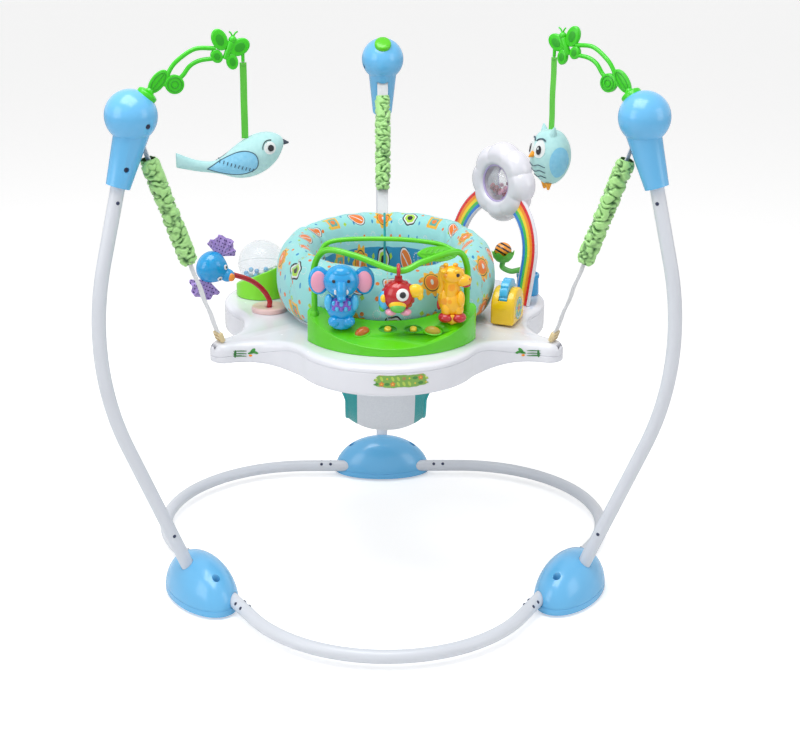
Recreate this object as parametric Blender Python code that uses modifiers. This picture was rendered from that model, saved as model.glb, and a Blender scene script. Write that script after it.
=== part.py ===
# Bouncing activity seat for a baby: a three-legged steel frame, a toy tray hung on three
# sprung straps, a turning seat and the toys that stand on the tray or hang from the frame.
# Metres, +Z up. Everything is laid out round the seat's upright axis, with +Y to the back;
# the parent empty then moves the axis so that the part's origin is the middle of its floor area.

import math

import bpy
import bmesh
from mathutils import Matrix, Vector

# Directions round the seat axis, in degrees from +X
LEG_AZ = {"left": 210.0, "right": 330.0, "rear": 90.0}
LOBE_AZ = {"front": 270.0, "right": 30.0, "left": 150.0}

# Clearances
SEAT_GAP = 0.0003
RUN_GAP = 0.0005

# Base ring
TUBE_R = 0.011
BASE_Z = 0.022
BASE_ARC_R = 0.248
BASE_ARC_STEPS = 11
TUBE_END_IN_FOOT = 0.040

# Feet
FOOT_R = 0.357
FOOT_LONG = 0.094
FOOT_DEEP = 0.052
FOOT_TALL = 0.072
FOOT_FLAT_Z = 0.005
PAD_R = 0.009
PAD_ALONG = 0.052
PAD_ROOT = 0.002
FOOT_SCREW_ALONG = 0.060
FOOT_SCREW_Z = 0.046
FOOT_RECESS_R = 0.0062
TUBE_BEHIND_FOOT = 0.022
BASE_LINE_R = FOOT_R - TUBE_BEHIND_FOOT
BASE_ARC_OFFSET = 2 * (BASE_LINE_R - BASE_ARC_R)

# Uprights, as a bend between two straight lines in the leg's plane: (radius, height)
UPRIGHT_FOOT = (FOOT_R + 0.0159, 0.045)
UPRIGHT_CORNER = (0.5334, 0.4406)
UPRIGHT_BEND_R = 0.490
UPRIGHT_STEPS = 8

# Heads
HEAD_R = 0.0396
HEAD_AT = (0.440, 0.813)
SOCKET_TOP_R = 0.0270
SOCKET_END_R = 0.0185
SOCKET_DOWN = 0.107
SOCKET_TOP_DOWN = 0.022
SOCKET_TOP_IN = 0.006
UPRIGHT_UP_TO = 0.050
PLUG_R = 0.0155
PLUG_ELEVATION = 50.0
PLUG_DEEP = 0.008
PLUG_OUT = 0.005
HEAD_RECESS_R = 0.0040
HEAD_RECESS_DEEP = 0.004
HEAD_SCREW_OFFSET = (-0.012, -0.012)
SOCKET_SCREW_DOWN = 0.078
SOCKET_SCREW_SIDE = 0.0196

# Straps, springs and sleeves, as distances down the line from head to ear
STRAP_FOOT = (0.305, 0.437)
STRAP_WIDE = 0.020
STRAP_THICK = 0.0016
HANGER_PIN_AT = 0.018
HANGER_PIN_R = 0.003
HANGER_SLOT_TO = 0.080
SPRING_FROM = 0.084
SPRING_TO = 0.230
SPRING_R = 0.0092
SLEEVE_FROM = 0.070
SLEEVE_TO = 0.250
SLEEVE_R = 0.0130
SLEEVE_BORE_R = 0.0106
SLEEVE_RUCHES = 16
STRAP_TO = 0.383

# Tray outline
LOBE_OFFSET = 0.153
LOBE_R = 0.147
EAR_REACH = 0.325
EAR_R = 0.022
NECK_R = 0.090
EAR_HALF_AZ = 24.0
SEAT_HOLE_R = 0.148
TRAY_TOP_Z = 0.4475
TRAY_SEAM_Z = 0.4365
TRAY_LIP_Z = 0.3975
TRAY_WALL = 0.003
EAR_TOP_Z = 0.4405
EAR_SEAM_Z = 0.4200
EAR_LIP_Z = 0.4100
TRAY_EDGE = 0.014
BASE_INNER_CLEAR = 0.004
BASE_WALL_DROP = 0.001
CLIP_WIDE = 0.024
CLIP_THICK = 0.007
CLIP_TALL = 0.016
TONGUE_WIDE = 0.016
TONGUE_THICK = 0.0035
TONGUE_Z = (0.428, 0.449)

# Seat
SEAT_STEPS = 28
RING_FLANGE_R = SEAT_HOLE_R + 0.010
RING_NECK_R = SEAT_HOLE_R - 0.001
RING_BORE_R = SEAT_HOLE_R - 0.0055
RING_LIP_R = SEAT_HOLE_R + 0.004
BASE_INNER_R = RING_LIP_R + BASE_INNER_CLEAR
RING_FLANGE_TALL = 0.0040
RING_LIP_TALL = 0.0050
COLLAR_R = RING_FLANGE_R + 0.025
COLLAR_FRONT_Z = 0.560
COLLAR_BACK_Z = 0.583
COLLAR_INNER_R = RING_BORE_R - 0.0245
COLLAR_SEAM_DEEP = 0.0035
SLING_BOTTOM_Z = 0.240
SLING_THICK = 0.003
# Outside of the sling: share of its rim, share of its drop, and how its inside lies to that, in and up
SLING_PROFILE = ((1.0, 0.0, 1.0, 0.0), (1.0, 0.065, 1.0, 0.33), (0.886, 0.221, 1.0, 0.33), (0.7595, 0.528, 1.0, 0.33),
                 (0.605, 0.802, 1.0, 0.77), (0.352, 0.962, 0.67, 1.17), (0.0, 1.0, 0.0, 1.0))
CROTCH_WIDE = 0.134
LEG_HOLE_R = 0.074
LEG_HOLE_Z = 0.325

# Console
CONSOLE_X = 0.005
CONSOLE_Y = -0.107
CONSOLE_R = 0.1465
CONSOLE_INNER_R = 0.188
DECK_FRONT_Z = 0.460
DECK_TILT = 22.0
CONSOLE_TALL = 0.055
BUTTON_X = (0.0, 0.040)
BUTTON_Y = -0.207
BUTTON_R = 0.0055
BUTTON_TALL = 0.008
BUTTON_OUT = 0.003
BUTTON_TRAVEL = 0.0025
RECESS_HALF = (0.0125, 0.0075)
RECESS_DEEP = 0.002
LENS_HALF = (0.0125, 0.0078, 0.0060)
LENS_PLACES = ((-0.040, -0.215, 35.0), (0.070, -0.213, -15.0))
ARCH_HALF = 0.120
ARCH_Y = -0.172
ARCH_R = 0.0050
ARCH_RAIL_R = 0.0038
ARCH_FOOT_DEEP = 0.010
ARCH_TOP_Z = 0.599
ARCH_LOW = (0.016, -0.215, 0.575)
ARCH_REAR_Z = 0.613
LEAF_HALF = (0.034, 0.012)
LEAF_THICK = 0.006
SPIGOT_R = 0.0040
SPIGOT_DEEP = 0.012

# Toys on the tray
ELEPHANT_AT = (-0.072, -0.204)
GIRAFFE_AT = (0.101, -0.193)
STALK_AT = (-0.197, 0.000)
STALK_R = 0.0045
CUP_R = 0.030
CUP_TALL = 0.008
CUP_FLOOR = 0.002
# Ball foot of the stalk: depth below its pivot and width, as shares of its radius
STALK_FOOT = ((0.98, 0.20), (0.85, 0.52), (0.50, 0.87))
BUG_AT = (-0.285, -0.050, 0.535)
WING_RISE = 58.0
WING_R = 0.0205
WING_OUT = 0.026
WING_SCALLOP = 0.0035
WING_BAR = 0.014
WING_THICK = 0.003
DOME_AT = (-0.215, 0.100, 0.503)
DOME_R = 0.042
DOME_WALL = 0.0015
DOME_SIDES = 14
DOME_BEADS = 8
DOME_BEAD_R = 0.0062
DOME_BEADS_DOWN = 40.0
BEAD_ROOM = 0.0013
DOME_BASE_R = 0.045
DOME_BASE_HIGH = 0.507
DOME_BASE_LOW = 0.466
AXLE_R = 0.0030
CLICKER_R = 0.210
CLICKER_AZ = -17.0
CLICKER_AXLE_AZ = -22.0
CLICKER_LONG = 0.062
CLICKER_THICK = 0.040
CLICKER_TALL = 0.054
WHEEL_R = 0.0270
WHEEL_THICK = 0.014
WHEEL_UP = 0.046
WHEEL_NOTCHES = 10
POT_AT = (0.252, 0.100)
POT_R = 0.0190
POT_TALL = 0.040
FLOWER_AT = (0.206, 0.090, 0.508)
FLOWER_R = 0.020
BALL_R = 0.0150
RAINBOW_AZ = 33.5
RAINBOW_MID_R = 0.215
RAINBOW_LEAN = 10.0
RAINBOW_SPAN = 0.102
RAINBOW_BAND = 0.036
RAINBOW_THICK = 0.006
RAINBOW_CROWN_Z = 0.618
CLOUD_Z = 0.640
CLOUD_AZ = 218.0
CLOUD_R = 0.0700
CLOUD_LOBES = 8
CLOUD_LOBE_DEEP = 0.005
CLOUD_THICK = 0.050
WINDOW_R = 0.0310
RATTLE_R = 0.0280
RATTLE_WALL = 0.0015
RATTLE_BEADS = 5
RATTLE_BEAD_R = 0.0055
RATTLE_BEADS_DOWN = 30.0
RATTLE_BEAD_STEP = 26.0

# Hanging toys
ARM_AZ = {"left": 14.0, "right": 137.0}
ARM_RAIL_R = 0.0034
ARM_PLATE = 0.006
ARM_HOOK = (0.1692, 0.0739)
HOOK_R = 0.0026
RIBBON_WIDE = 0.008
RIBBON_THICK = 0.0014
RIBBON_LONG = 0.114
RIBBON_HANG = 0.0006
TOY_OVER_RIBBON = 0.002

COLLECTION_NAME = "bouncing_activity_seat"


# Scene and materials

def clear_scene():
    for obj in list(bpy.data.objects):
        bpy.data.objects.remove(obj, do_unlink=True)


def make_collection(name):
    made = bpy.data.collections.new(name)
    bpy.context.scene.collection.children.link(made)
    return made


clear_scene()
PARTS = make_collection(COLLECTION_NAME)
CUTTERS = make_collection("cutters")


def material(name, colour, roughness, metallic=0.0, alpha=1.0):
    made = bpy.data.materials.new(name)
    made.use_nodes = True
    shader = made.node_tree.nodes["Principled BSDF"]
    shader.inputs["Base Color"].default_value = (*colour, 1.0)
    shader.inputs["Roughness"].default_value = roughness
    shader.inputs["Metallic"].default_value = metallic
    shader.inputs["Alpha"].default_value = alpha
    return made


PALETTE = {
    "tube_paint": ((0.72, 0.75, 0.80), 0.35),
    "sky_blue": ((0.12, 0.48, 0.80), 0.25),
    "lime": ((0.17, 0.72, 0.03), 0.28),
    "pale_lime": ((0.30, 0.85, 0.12), 0.30),
    "tray_white": ((0.86, 0.87, 0.92), 0.28),
    "webbing": ((0.80, 0.80, 0.82), 0.85),
    "sleeve_green": ((0.22, 0.52, 0.16), 0.55),
    "tan": ((0.75, 0.62, 0.38), 0.50),
    "spring_steel": ((0.55, 0.56, 0.58), 0.35),
    "pad_aqua": ((0.25, 0.70, 0.68), 0.80),
    "sling_grey": ((0.70, 0.71, 0.74), 0.85),
    "elephant_blue": ((0.03, 0.28, 0.75), 0.28),
    "parrot_red": ((0.60, 0.02, 0.03), 0.25),
    "giraffe_yellow": ((0.95, 0.50, 0.03), 0.30),
    "clear_plastic": ((0.85, 0.90, 0.95), 0.08),
    "lens_orange": ((0.95, 0.30, 0.05), 0.15),
    "lens_amber": ((0.85, 0.60, 0.05), 0.15),
    "button_yellow": ((0.95, 0.75, 0.05), 0.30),
    "bead_mix": ((0.45, 0.08, 0.15), 0.30),
    "bead_blue": ((0.25, 0.60, 0.85), 0.15),
    "cloud_white": ((0.80, 0.80, 0.85), 0.25),
    "wing_purple": ((0.45, 0.35, 0.75), 0.60),
    "ribbon_green": ((0.20, 0.60, 0.10), 0.70),
    "plush_mint": ((0.45, 0.75, 0.72), 0.90),
}


def make_palette():
    for name, (colour, roughness) in PALETTE.items():
        alpha = 0.35 if name == "clear_plastic" else 1.0
        metallic = 1.0 if name == "spring_steel" else 0.0
        material(name, colour, roughness, metallic, alpha)


# Geometry helpers

def polar(radius, azimuth, z=0.0):
    angle = math.radians(azimuth)
    return Vector((radius * math.cos(angle), radius * math.sin(angle), z))


def heading(azimuth):
    return polar(1.0, azimuth)


def aim(start, end):
    # Matrix at the middle of a line, with +Z along the line
    start = Vector(start)
    end = Vector(end)
    turn = (end - start).to_track_quat("Z", "Y").to_matrix().to_4x4()
    return Matrix.Translation((start + end) / 2) @ turn


def frame_of(origin, x_axis, z_axis):
    # Matrix with its X and Z axes along two square directions
    x_axis = Vector(x_axis).normalized()
    z_axis = Vector(z_axis).normalized()
    y_axis = z_axis.cross(x_axis)
    turn = Matrix((x_axis, y_axis, z_axis)).transposed().to_4x4()
    return Matrix.Translation(Vector(origin)) @ turn


def link_mesh(name, mesh, material_name):
    obj = bpy.data.objects.new(name, mesh)
    PARTS.objects.link(obj)
    if material_name:
        mesh.materials.clear()
        mesh.materials.append(bpy.data.materials[material_name])
    return obj


def face_outward(bm):
    bmesh.ops.recalc_face_normals(bm, faces=bm.faces)
    if bm.calc_volume(signed=True) < 0:
        bmesh.ops.reverse_faces(bm, faces=bm.faces)


def from_bmesh(name, bm, material_name):
    face_outward(bm)
    mesh = bpy.data.meshes.new(name)
    bm.to_mesh(mesh)
    bm.free()
    return link_mesh(name, mesh, material_name)


def smooth(obj, angle=40.0):
    obj.data.shade_smooth()
    obj.data.set_sharp_from_angle(angle=math.radians(angle))
    return obj


def bake(obj):
    # Replace an object's curve or modifiers by the mesh that they make
    bpy.context.view_layer.update()
    graph = bpy.context.evaluated_depsgraph_get()
    mesh = bpy.data.meshes.new_from_object(obj.evaluated_get(graph))
    bm = bmesh.new()
    bm.from_mesh(mesh)
    bmesh.ops.remove_doubles(bm, verts=bm.verts, dist=1e-5)
    face_outward(bm)
    bm.to_mesh(mesh)
    bm.free()
    name = obj.name
    place = obj.matrix_world.copy()
    bpy.data.objects.remove(obj, do_unlink=True)
    made = link_mesh(name, mesh, None)
    made.matrix_world = place
    return made


def ball(name, centre, radii, material_name, segments=14, rings=8, turn=None):
    bm = bmesh.new()
    bmesh.ops.create_uvsphere(bm, u_segments=segments, v_segments=rings, radius=1.0)
    shape = Matrix.Diagonal((*radii, 1.0))
    if turn is not None:
        shape = turn.to_4x4() @ shape
    bm.transform(Matrix.Translation(Vector(centre)) @ shape)
    return smooth(from_bmesh(name, bm, material_name))


def rod(name, start, end, r_start, material_name, r_end=None, sides=12):
    bm = bmesh.new()
    length = (Vector(end) - Vector(start)).length
    r_end = r_start if r_end is None else r_end
    bmesh.ops.create_cone(bm, cap_ends=True, segments=sides, radius1=r_start, radius2=r_end,
                          depth=length, matrix=aim(start, end))
    return smooth(from_bmesh(name, bm, material_name))


def block(name, size, place, material_name, bevel=0.0):
    bm = bmesh.new()
    bmesh.ops.create_cube(bm, size=1.0)
    bm.transform(Matrix.Diagonal((*size, 1.0)))
    if bevel:
        bmesh.ops.bevel(bm, geom=bm.edges[:], offset=bevel, segments=2, affect="EDGES", profile=0.5)
    bm.transform(place)
    return from_bmesh(name, bm, material_name)


def tube(name, points, radius, material_name, sides_step=4, radii=None):
    # Round tube along points; sides_step 1, 2 and 4 give 6, 8 and 12 sides
    curve = bpy.data.curves.new(name, "CURVE")
    curve.dimensions = "3D"
    curve.bevel_depth = radius
    curve.bevel_resolution = sides_step
    curve.use_fill_caps = True
    spline = curve.splines.new("POLY")
    spline.points.add(len(points) - 1)
    for index, point in enumerate(points):
        spline.points[index].co = (*point, 1.0)
        if radii:
            spline.points[index].radius = radii[index]
    obj = bpy.data.objects.new(name, curve)
    PARTS.objects.link(obj)
    curve.materials.append(bpy.data.materials[material_name])
    return smooth(bake(obj))


def plate(name, outline, thickness, place, material_name, holes=()):
    # Flat outline in the XY plane of a matrix, thickened to both sides
    curve = bpy.data.curves.new(name, "CURVE")
    curve.dimensions = "2D"
    curve.fill_mode = "BOTH"
    curve.extrude = thickness / 2
    for loop in (outline, *holes):
        spline = curve.splines.new("POLY")
        spline.points.add(len(loop) - 1)
        spline.use_cyclic_u = True
        for index, (x, y) in enumerate(loop):
            spline.points[index].co = (x, y, 0.0, 1.0)
    obj = bpy.data.objects.new(name, curve)
    PARTS.objects.link(obj)
    curve.materials.append(bpy.data.materials[material_name])
    obj.matrix_world = place
    return bake(obj)


def lathe(name, profile, material_name, place=None, steps=24, closed=False):
    # Turned shape: (radius, height) points that run down the outer side
    mesh = bpy.data.meshes.new(name)
    verts = [(radius, 0.0, height) for radius, height in profile]
    edges = [(index, index + 1) for index in range(len(verts) - 1)]
    if closed:
        edges.append((len(verts) - 1, 0))
    mesh.from_pydata(verts, edges, [])
    obj = link_mesh(name, mesh, material_name)
    screw = obj.modifiers.new("turn", "SCREW")
    screw.axis = "Z"
    screw.steps = steps
    screw.render_steps = steps
    screw.use_merge_vertices = True
    screw.merge_threshold = 0.00001
    if place is not None:
        obj.matrix_world = place
    return smooth(bake(obj))


def skin(name, rings, material_name, closed=False):
    # Loft through loops with the same number of points
    bm = bmesh.new()
    loops = [[bm.verts.new(point) for point in ring] for ring in rings]
    count = len(rings[0])
    pairs = list(zip(loops[:-1], loops[1:]))
    if closed:
        pairs.append((loops[-1], loops[0]))
    for first, second in pairs:
        for index in range(count):
            after = (index + 1) % count
            bm.faces.new((first[index], first[after], second[after], second[index]))
    if not closed:
        bm.faces.new(loops[0])
        bm.faces.new(loops[-1])
    return smooth(from_bmesh(name, bm, material_name))


def soften(obj, width):
    # Round an object's sharp edges
    bevel = obj.modifiers.new("soft_edge", "BEVEL")
    bevel.width = width
    bevel.segments = 2
    bevel.limit_method = "ANGLE"
    bevel.angle_limit = math.radians(50)
    return bake(obj)


def file_cutter(obj):
    for owner in list(obj.users_collection):
        owner.objects.unlink(obj)
    CUTTERS.objects.link(obj)
    obj.hide_render = True
    obj.display_type = "WIRE"


def boolean(obj, other, operation):
    modifier = obj.modifiers.new(operation.lower(), "BOOLEAN")
    modifier.operation = operation
    modifier.solver = "EXACT"
    modifier.object = other


def cut(obj, *cutters):
    for cutter in cutters:
        boolean(obj, cutter, "DIFFERENCE")
        file_cutter(cutter)
    return obj


def fuse(name, pieces):
    # One closed body from overlapping pieces
    first = pieces[0]
    for other in pieces[1:]:
        boolean(first, other, "UNION")
    first.name = name
    made = bake(first)
    for other in pieces[1:]:
        bpy.data.objects.remove(other, do_unlink=True)
    made.name = name
    return smooth(made)


def move_origin(obj, point):
    # Put a moving piece's origin on its joint's axis
    shift = Matrix.Translation(-Vector(point))
    obj.data.transform(shift @ obj.matrix_world)
    obj.matrix_world = Matrix.Translation(Vector(point))
    return obj


def arc(centre, radius, start, end, steps):
    return [(centre[0] + radius * math.cos(math.radians(start + (end - start) * index / steps)),
             centre[1] + radius * math.sin(math.radians(start + (end - start) * index / steps)))
            for index in range(steps + 1)]


def smooth_path(points, steps):
    # Catmull-Rom curve through the points
    points = [Vector(point) for point in points]
    ends = [2 * points[0] - points[1]] + points + [2 * points[-1] - points[-2]]
    path = []
    for index in range(1, len(ends) - 2):
        before, first, second, after = ends[index - 1:index + 3]
        for step in range(steps):
            t = step / steps
            path.append(0.5 * (2 * first + (second - before) * t
                               + (2 * before - 5 * first + 4 * second - after) * t * t
                               + (3 * first - before - 3 * second + after) * t ** 3))
    path.append(points[-1])
    return path


def ellipse(centre, half, tilt, steps):
    points = []
    for index in range(steps):
        angle = 2 * math.pi * index / steps
        x = half[0] * math.cos(angle)
        y = half[1] * math.sin(angle)
        lean = math.radians(tilt)
        points.append((centre[0] + x * math.cos(lean) - y * math.sin(lean),
                       centre[1] + x * math.sin(lean) + y * math.cos(lean)))
    return points


# Base ring and feet

def base_tube_path(azimuth):
    turn_to_line = 60.0
    path = []
    for side in (-1, 1):
        normal = azimuth + side * turn_to_line
        foot_mid = polar(BASE_LINE_R, normal, BASE_Z)
        along = heading(normal - side * 90.0)
        end = foot_mid + along * TUBE_END_IN_FOOT
        path.append(end)
    centre = polar(BASE_ARC_OFFSET, azimuth, BASE_Z)
    bend = [centre + polar(BASE_ARC_R, azimuth - turn_to_line + 2 * turn_to_line * index / BASE_ARC_STEPS)
            for index in range(BASE_ARC_STEPS + 1)]
    return [path[0], *bend, path[1]]


def base_tubes():
    for side, azimuth in LOBE_AZ.items():
        tube("base_tube_" + side, base_tube_path(azimuth), TUBE_R, "tube_paint")


def leg_point(azimuth, radius, z, along=0.0):
    return polar(radius, azimuth, z) + heading(azimuth + 90.0) * along


def upright_line():
    # Directions of the lower and upper straight runs, in the leg's plane
    foot = Vector(UPRIGHT_FOOT)
    corner = Vector(UPRIGHT_CORNER)
    head = Vector(HEAD_AT)
    return (corner - foot).normalized(), (head - corner).normalized()


def upright_profile():
    low, high = upright_line()
    corner = Vector(UPRIGHT_CORNER)
    head = Vector(HEAD_AT)
    turn = low.angle(high)
    tangent = UPRIGHT_BEND_R * math.tan(turn / 2)
    first = corner - low * tangent
    centre = first + Vector((-low.y, low.x)) * UPRIGHT_BEND_R
    start = math.degrees(math.atan2(first.y - centre.y, first.x - centre.x))
    bend = arc(centre, UPRIGHT_BEND_R, start, start + math.degrees(turn), UPRIGHT_STEPS)
    end = head - high * UPRIGHT_UP_TO
    return [UPRIGHT_FOOT, *bend, (end.x, end.y)]


def uprights():
    profile = upright_profile()
    for side, azimuth in LEG_AZ.items():
        points = [leg_point(azimuth, radius, z) for radius, z in profile]
        tube("upright_" + side, points, TUBE_R, "tube_paint")


def foot(side):
    azimuth = LEG_AZ[side]
    centre = leg_point(azimuth, FOOT_R, FOOT_FLAT_Z)
    turn = Matrix.Rotation(math.radians(azimuth), 3, "Z")
    body = ball("foot_" + side, centre, (FOOT_DEEP, FOOT_LONG, FOOT_TALL), "sky_blue", 16, 8, turn)
    below = block("below_foot", (0.3, 0.3, 0.2), Matrix.Translation(centre - Vector((0, 0, 0.1))), None)
    bores = []
    for way in (-1, 1):
        start = leg_point(azimuth, BASE_LINE_R, BASE_Z, way * (TUBE_END_IN_FOOT - SEAT_GAP))
        end = leg_point(azimuth, BASE_LINE_R, BASE_Z, way * (FOOT_LONG + 0.02))
        bores.append(rod("tube_bore", start, end, TUBE_R + SEAT_GAP, None))
        floor = leg_point(azimuth, FOOT_R, FOOT_SCREW_Z, way * FOOT_SCREW_ALONG)
        bores.append(rod("screw_recess", floor, floor + Vector((0, 0, 0.05)), FOOT_RECESS_R, None, sides=8))
    low, _ = upright_line()
    seat = Vector(UPRIGHT_FOOT) - low * SEAT_GAP
    above = Vector(UPRIGHT_FOOT) + low * 0.08
    bores.append(rod("upright_bore", leg_point(azimuth, seat.x, seat.y),
                     leg_point(azimuth, above.x, above.y), TUBE_R + SEAT_GAP, None))
    shell = bake(cut(body, below, *bores))
    pads = []
    for way in (-1, 1):
        low = leg_point(azimuth, FOOT_R, 0.0, way * PAD_ALONG)
        pads.append(rod("pad", low, low + Vector((0, 0, FOOT_FLAT_Z + PAD_ROOT)), PAD_R, "tan", sides=8))
    return fuse("foot_" + side, [shell, *pads])


# Heads, with the sockets for the uprights, the toy arms and the straps

def strap_direction():
    return (Vector(STRAP_FOOT) - Vector(HEAD_AT)).normalized()


def strap_point(azimuth, along, across=0.0):
    line = Vector(HEAD_AT) + strap_direction() * along
    return leg_point(azimuth, line.x, line.y, across)


def strap_frame(azimuth, along):
    # X across the webbing, Z up the strap line
    up = (strap_point(azimuth, 0.0) - strap_point(azimuth, 1.0)).normalized()
    return frame_of(strap_point(azimuth, along), heading(azimuth + 90.0), up)


def arm_azimuth(side):
    return ARM_AZ.get(side, LEG_AZ[side] + 180.0)


def plug_direction(side):
    rise = math.radians(PLUG_ELEVATION)
    return heading(arm_azimuth(side)) * math.cos(rise) + Vector((0, 0, math.sin(rise)))


def plug_cutter(side):
    middle = leg_point(LEG_AZ[side], *HEAD_AT)
    way = plug_direction(side)
    inner = middle + way * (HEAD_R - PLUG_DEEP - SEAT_GAP)
    return rod("plug_hole", inner, inner + way * 0.04, PLUG_R + SEAT_GAP, None, sides=12)


def head_screw_places(side):
    # Points on the surface and outward directions of the two housing screws
    azimuth = LEG_AZ[side]
    _, high = upright_line()
    outward = heading(azimuth + 90.0)
    ball_offset = Vector(HEAD_SCREW_OFFSET)
    ball_side = math.sqrt(HEAD_R ** 2 - ball_offset.length_squared)
    spot = Vector(HEAD_AT) + ball_offset
    places = [(leg_point(azimuth, spot.x, spot.y, ball_side), outward)]
    spot = Vector(HEAD_AT) - high * SOCKET_SCREW_DOWN
    places.append((leg_point(azimuth, spot.x, spot.y, SOCKET_SCREW_SIDE), outward))
    return places


def head(side):
    azimuth = LEG_AZ[side]
    low, high = upright_line()
    middle = leg_point(azimuth, *HEAD_AT)
    sphere = ball("sphere", middle, (HEAD_R,) * 3, "sky_blue", 16, 10)
    end = Vector(HEAD_AT) - high * SOCKET_DOWN
    top = Vector(HEAD_AT) - high * SOCKET_TOP_DOWN - Vector((SOCKET_TOP_IN, 0))
    socket = rod("socket", leg_point(azimuth, end.x, end.y), leg_point(azimuth, top.x, top.y),
                 SOCKET_END_R, "sky_blue", SOCKET_TOP_R, sides=16)
    body = fuse("head_" + side, [sphere, socket])
    tip = Vector(HEAD_AT) - high * (UPRIGHT_UP_TO - SEAT_GAP)
    below = Vector(HEAD_AT) - high * 0.13
    bore = rod("upright_bore", leg_point(azimuth, tip.x, tip.y), leg_point(azimuth, below.x, below.y),
               TUBE_R + SEAT_GAP, None)
    slot_from = HANGER_PIN_AT - HANGER_PIN_R - STRAP_THICK
    slot_wide = STRAP_WIDE + 2 * RUN_GAP
    slot = block("strap_slot", (slot_wide, 2 * (HANGER_PIN_R + STRAP_THICK), HANGER_SLOT_TO - slot_from),
                 strap_frame(azimuth, (slot_from + HANGER_SLOT_TO) / 2), None)
    recesses = []
    for spot, way in head_screw_places(side):
        recesses.append(rod("screw_recess", spot - way * HEAD_RECESS_DEEP, spot + way * 0.01,
                            HEAD_RECESS_R, None, sides=6))
    shell = bake(cut(body, bore, slot, plug_cutter(side), *recesses))
    half = slot_wide / 2 + HANGER_PIN_R
    pin = rod("hanger_pin", strap_point(azimuth, HANGER_PIN_AT, -half), strap_point(azimuth, HANGER_PIN_AT, half),
              HANGER_PIN_R, "sky_blue", sides=6)
    return fuse("head_" + side, [shell, pin])


def head_cap():
    # Blanking plug in the rear head's toy socket, domed to follow the head
    middle = leg_point(LEG_AZ["rear"], *HEAD_AT)
    way = plug_direction("rear")
    seat = HEAD_R - PLUG_DEEP
    top = HEAD_R + 0.0012
    edge = math.sqrt(HEAD_R ** 2 - PLUG_R ** 2)
    profile = [(0.0, top), (PLUG_R * 0.6, top - 0.0022), (PLUG_R, edge + 0.0006), (PLUG_R, seat), (0.0, seat)]
    lathe("head_cap_rear", profile, "pale_lime", aim(middle - way, middle + way), 12)


# Springs, sleeves and straps

def spring(side):
    # Close-wound spring, with the webbing that hangs it from the pin in the head
    azimuth = LEG_AZ[side]
    top = HANGER_PIN_AT + HANGER_PIN_R + SEAT_GAP
    low = SPRING_FROM + STRAP_WIDE / 2
    hanger = block("hanger", (STRAP_WIDE * 0.85, STRAP_THICK, low - top), strap_frame(azimuth, (top + low) / 2), "webbing")
    coil = rod("coil", strap_point(azimuth, SPRING_FROM), strap_point(azimuth, SPRING_TO), SPRING_R,
               "spring_steel", sides=12)
    return fuse("spring_" + side, [hanger, coil])


def sleeve(side):
    # Gathered cloth tube: its puckers swell and turn from ring to ring
    azimuth = LEG_AZ[side]
    sides = 10
    rings = []
    for index in range(SLEEVE_RUCHES + 1):
        along = SLEEVE_FROM + (SLEEVE_TO - SLEEVE_FROM) * index / SLEEVE_RUCHES
        place = strap_frame(azimuth, along)
        end_ring = index in (0, SLEEVE_RUCHES)
        swell = 0.0 if end_ring else 0.0009 * (-1) ** index
        ring = []
        for step in range(sides):
            angle = 2 * math.pi * step / sides
            pucker = 0.0 if end_ring else 0.0008 * math.sin(2 * angle + 2.1 * index)
            radius = SLEEVE_R + swell + pucker - (0.0008 if end_ring else 0.0)
            ring.append(place @ Vector((radius * math.cos(angle), radius * math.sin(angle), 0.0)))
        rings.append(ring)
    for along in (SLEEVE_TO, SLEEVE_FROM):
        place = strap_frame(azimuth, along)
        rings.append([place @ Vector((SLEEVE_BORE_R * math.cos(2 * math.pi * step / sides),
                                      SLEEVE_BORE_R * math.sin(2 * math.pi * step / sides), 0.0))
                      for step in range(sides)])
    return skin("sleeve_" + side, rings, "sleeve_green", closed=True)


def strap(side):
    azimuth = LEG_AZ[side]
    top = SPRING_TO + SEAT_GAP
    return block("strap_" + side, (STRAP_WIDE, STRAP_THICK, STRAP_TO - top),
                 strap_frame(azimuth, (top + STRAP_TO) / 2), "webbing")


def clip_middle():
    return STRAP_TO - 0.006 + CLIP_TALL / 2


def strap_clip(side):
    azimuth = LEG_AZ[side]
    body = block("clip", (CLIP_WIDE, CLIP_THICK, CLIP_TALL), strap_frame(azimuth, clip_middle()), "tan", 0.0015)
    low, high = TONGUE_Z
    place = frame_of(leg_point(azimuth, tongue_radius(), (low + high) / 2), heading(azimuth + 90.0), (0, 0, 1))
    tongue = block("tongue", (TONGUE_WIDE, TONGUE_THICK, high - low), place, "tan")
    clip = fuse("strap_clip_" + side, [body, tongue])
    slot = block("webbing_slot", (STRAP_WIDE + 2 * SEAT_GAP, STRAP_THICK + 2 * SEAT_GAP, 0.03),
                 strap_frame(azimuth, STRAP_TO + SEAT_GAP - 0.015), None)
    return cut(clip, slot)


def tongue_radius():
    return strap_point(0.0, clip_middle() + CLIP_TALL / 2).x


# Tray

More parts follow.
